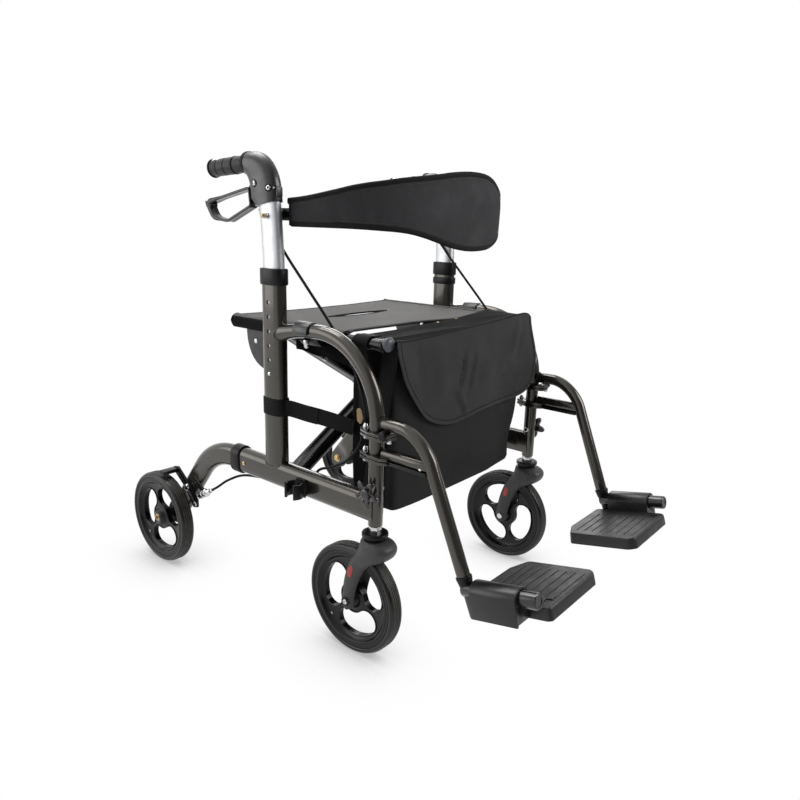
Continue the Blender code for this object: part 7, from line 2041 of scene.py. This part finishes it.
def makeCamera():
    yaw, pitch, roll = (radians(view[k]) for k in ("azimuth", "elevation", "roll"))
    back = Vector((sin(yaw) * cos(pitch), -cos(yaw) * cos(pitch), sin(pitch)))
    right = Vector((cos(yaw), sin(yaw), 0))
    up = back.cross(right)
    across, above = right * cos(roll) + up * sin(roll), up * cos(roll) - right * sin(roll)
    data = bpy.data.cameras.new("view")
    data.lens, data.sensor_width, data.sensor_fit = view["focal"], 36.0, "HORIZONTAL"
    camera = linked("view", data)
    camera.matrix_world = posed(view["place"], across, above, back)
    bpy.context.scene.camera = camera


def makeFloor():
    data = bmesh.new()
    bmesh.ops.create_grid(data, x_segments=8, y_segments=8, size=9.0)
    floor = meshed(data, "studioFloor")
    made = Finish("pale_floor", (0.8, 0.8, 0.8), 0.9, specular=0.0)
    light = made.node("LightPath")
    across, along, _ = made.parts(made.places())
    far = made.band(across * 0.15 - along * 0.98, 0.1, 1.9)  # the unlit side of the studio
    dark = made.node("AmbientOcclusion", {"samples": 12}, {"Color": (1, 1, 1, 1), "Distance": 0.16})
    shadow = made.band(made.wire(dark, "AO"), 0.3, 0.98, 0.45, 1.0)
    seen, mirrored = made.wire(light, "Is Camera Ray"), made.wire(light, "Is Glossy Ray")
    tint = made.mixed(shadow * (1 - mirrored * far * 0.82), (0.0, 0.0, 0.0), (1.0, 1.0, 1.0))
    shade = made.node("Emission", None, {"Color": tint, "Strength": 1.0})
    direct = seen.most(mirrored).most(made.wire(light, "Is Transmission Ray"))
    mix = made.node("MixShader", None, {0: direct})
    made.tree.links.new(made.shader.outputs[0], mix.inputs[1])
    made.tree.links.new(shade.outputs[0], mix.inputs[2])
    output = next(n for n in made.tree.nodes if n.type == "OUTPUT_MATERIAL")
    made.tree.links.new(mix.outputs[0], output.inputs[0])
    floor.data.materials.append(made.material)


def makeWorld():
    world = bpy.data.worlds.new("studio")
    world.use_nodes = True
    tree = world.node_tree
    tree.nodes.clear()

    def node(kind, settings=None, inputs=None):
        return addNode(tree, "ShaderNode" + kind, settings, inputs)

    path = node("LightPath")
    direction = node("TexCoord").outputs["Generated"]
    facing = node("VectorMath", {"operation": "DOT_PRODUCT"},
                  {0: direction, 1: (0.15, -0.98, -0.1)}).outputs["Value"]
    unlit = node("MapRange", {"interpolation_type": "SMOOTHSTEP"},
                 {0: facing, 1: -0.15, 2: 0.65, 3: 1.0, 4: 0.19}).outputs[0]
    plain = node("Background", None, {"Color": (0.95, 0.97, 1.0, 1), "Strength": 0.34})
    mirrored = node("Background", None, {"Color": (1, 1, 1, 1), "Strength": unlit})
    white = node("Background", None, {"Color": (1, 1, 1, 1), "Strength": 1.0})
    first = node("MixShader", None, {0: path.outputs["Is Glossy Ray"], 1: plain.outputs[0],
                                     2: mirrored.outputs[0]})
    either = node("Math", {"operation": "MAXIMUM"},
                  {0: path.outputs["Is Camera Ray"], 1: path.outputs["Is Transmission Ray"]})
    second = node("MixShader", None, {0: either.outputs[0], 1: first.outputs[0], 2: white.outputs[0]})
    node("OutputWorld", None, {0: second.outputs[0]})
    bpy.context.scene.world = world


def makeLamp(label, place, aim, size, power):
    data = bpy.data.lights.new(label, "AREA")
    data.shape, data.size, data.size_y, data.energy = "RECTANGLE", size[0], size[1], power
    lamp = linked(label, data)
    away = (Vector(place) - Vector(aim)).normalized()
    across = Vector((0, 0, 1)).cross(away).normalized()
    lamp.matrix_world = posed(place, across, away.cross(across), away)


makeCamera()
makeFloor()
makeWorld()
makeLamp("sideLamp", (-2.1, 1.7, 1.1), (0, 0.1, 0.5), (1.9, 1.7), 20)
makeLamp("keyLamp", (1.3, -2.2, 1.7), (0, 0, 0.4), (1.5, 1.5), 44)
makeLamp("topLamp", (0.0, 1.1, 2.7), (0, 0, 0.45), (1.8, 1.2), 46)
makeLamp("backLamp", (2.1, 1.7, 1.35), (0, 0, 0.5), (1.7, 0.9), 15)
bpy.context.scene.view_settings.view_transform = "Standard"
print("camera, floor and lamps set")
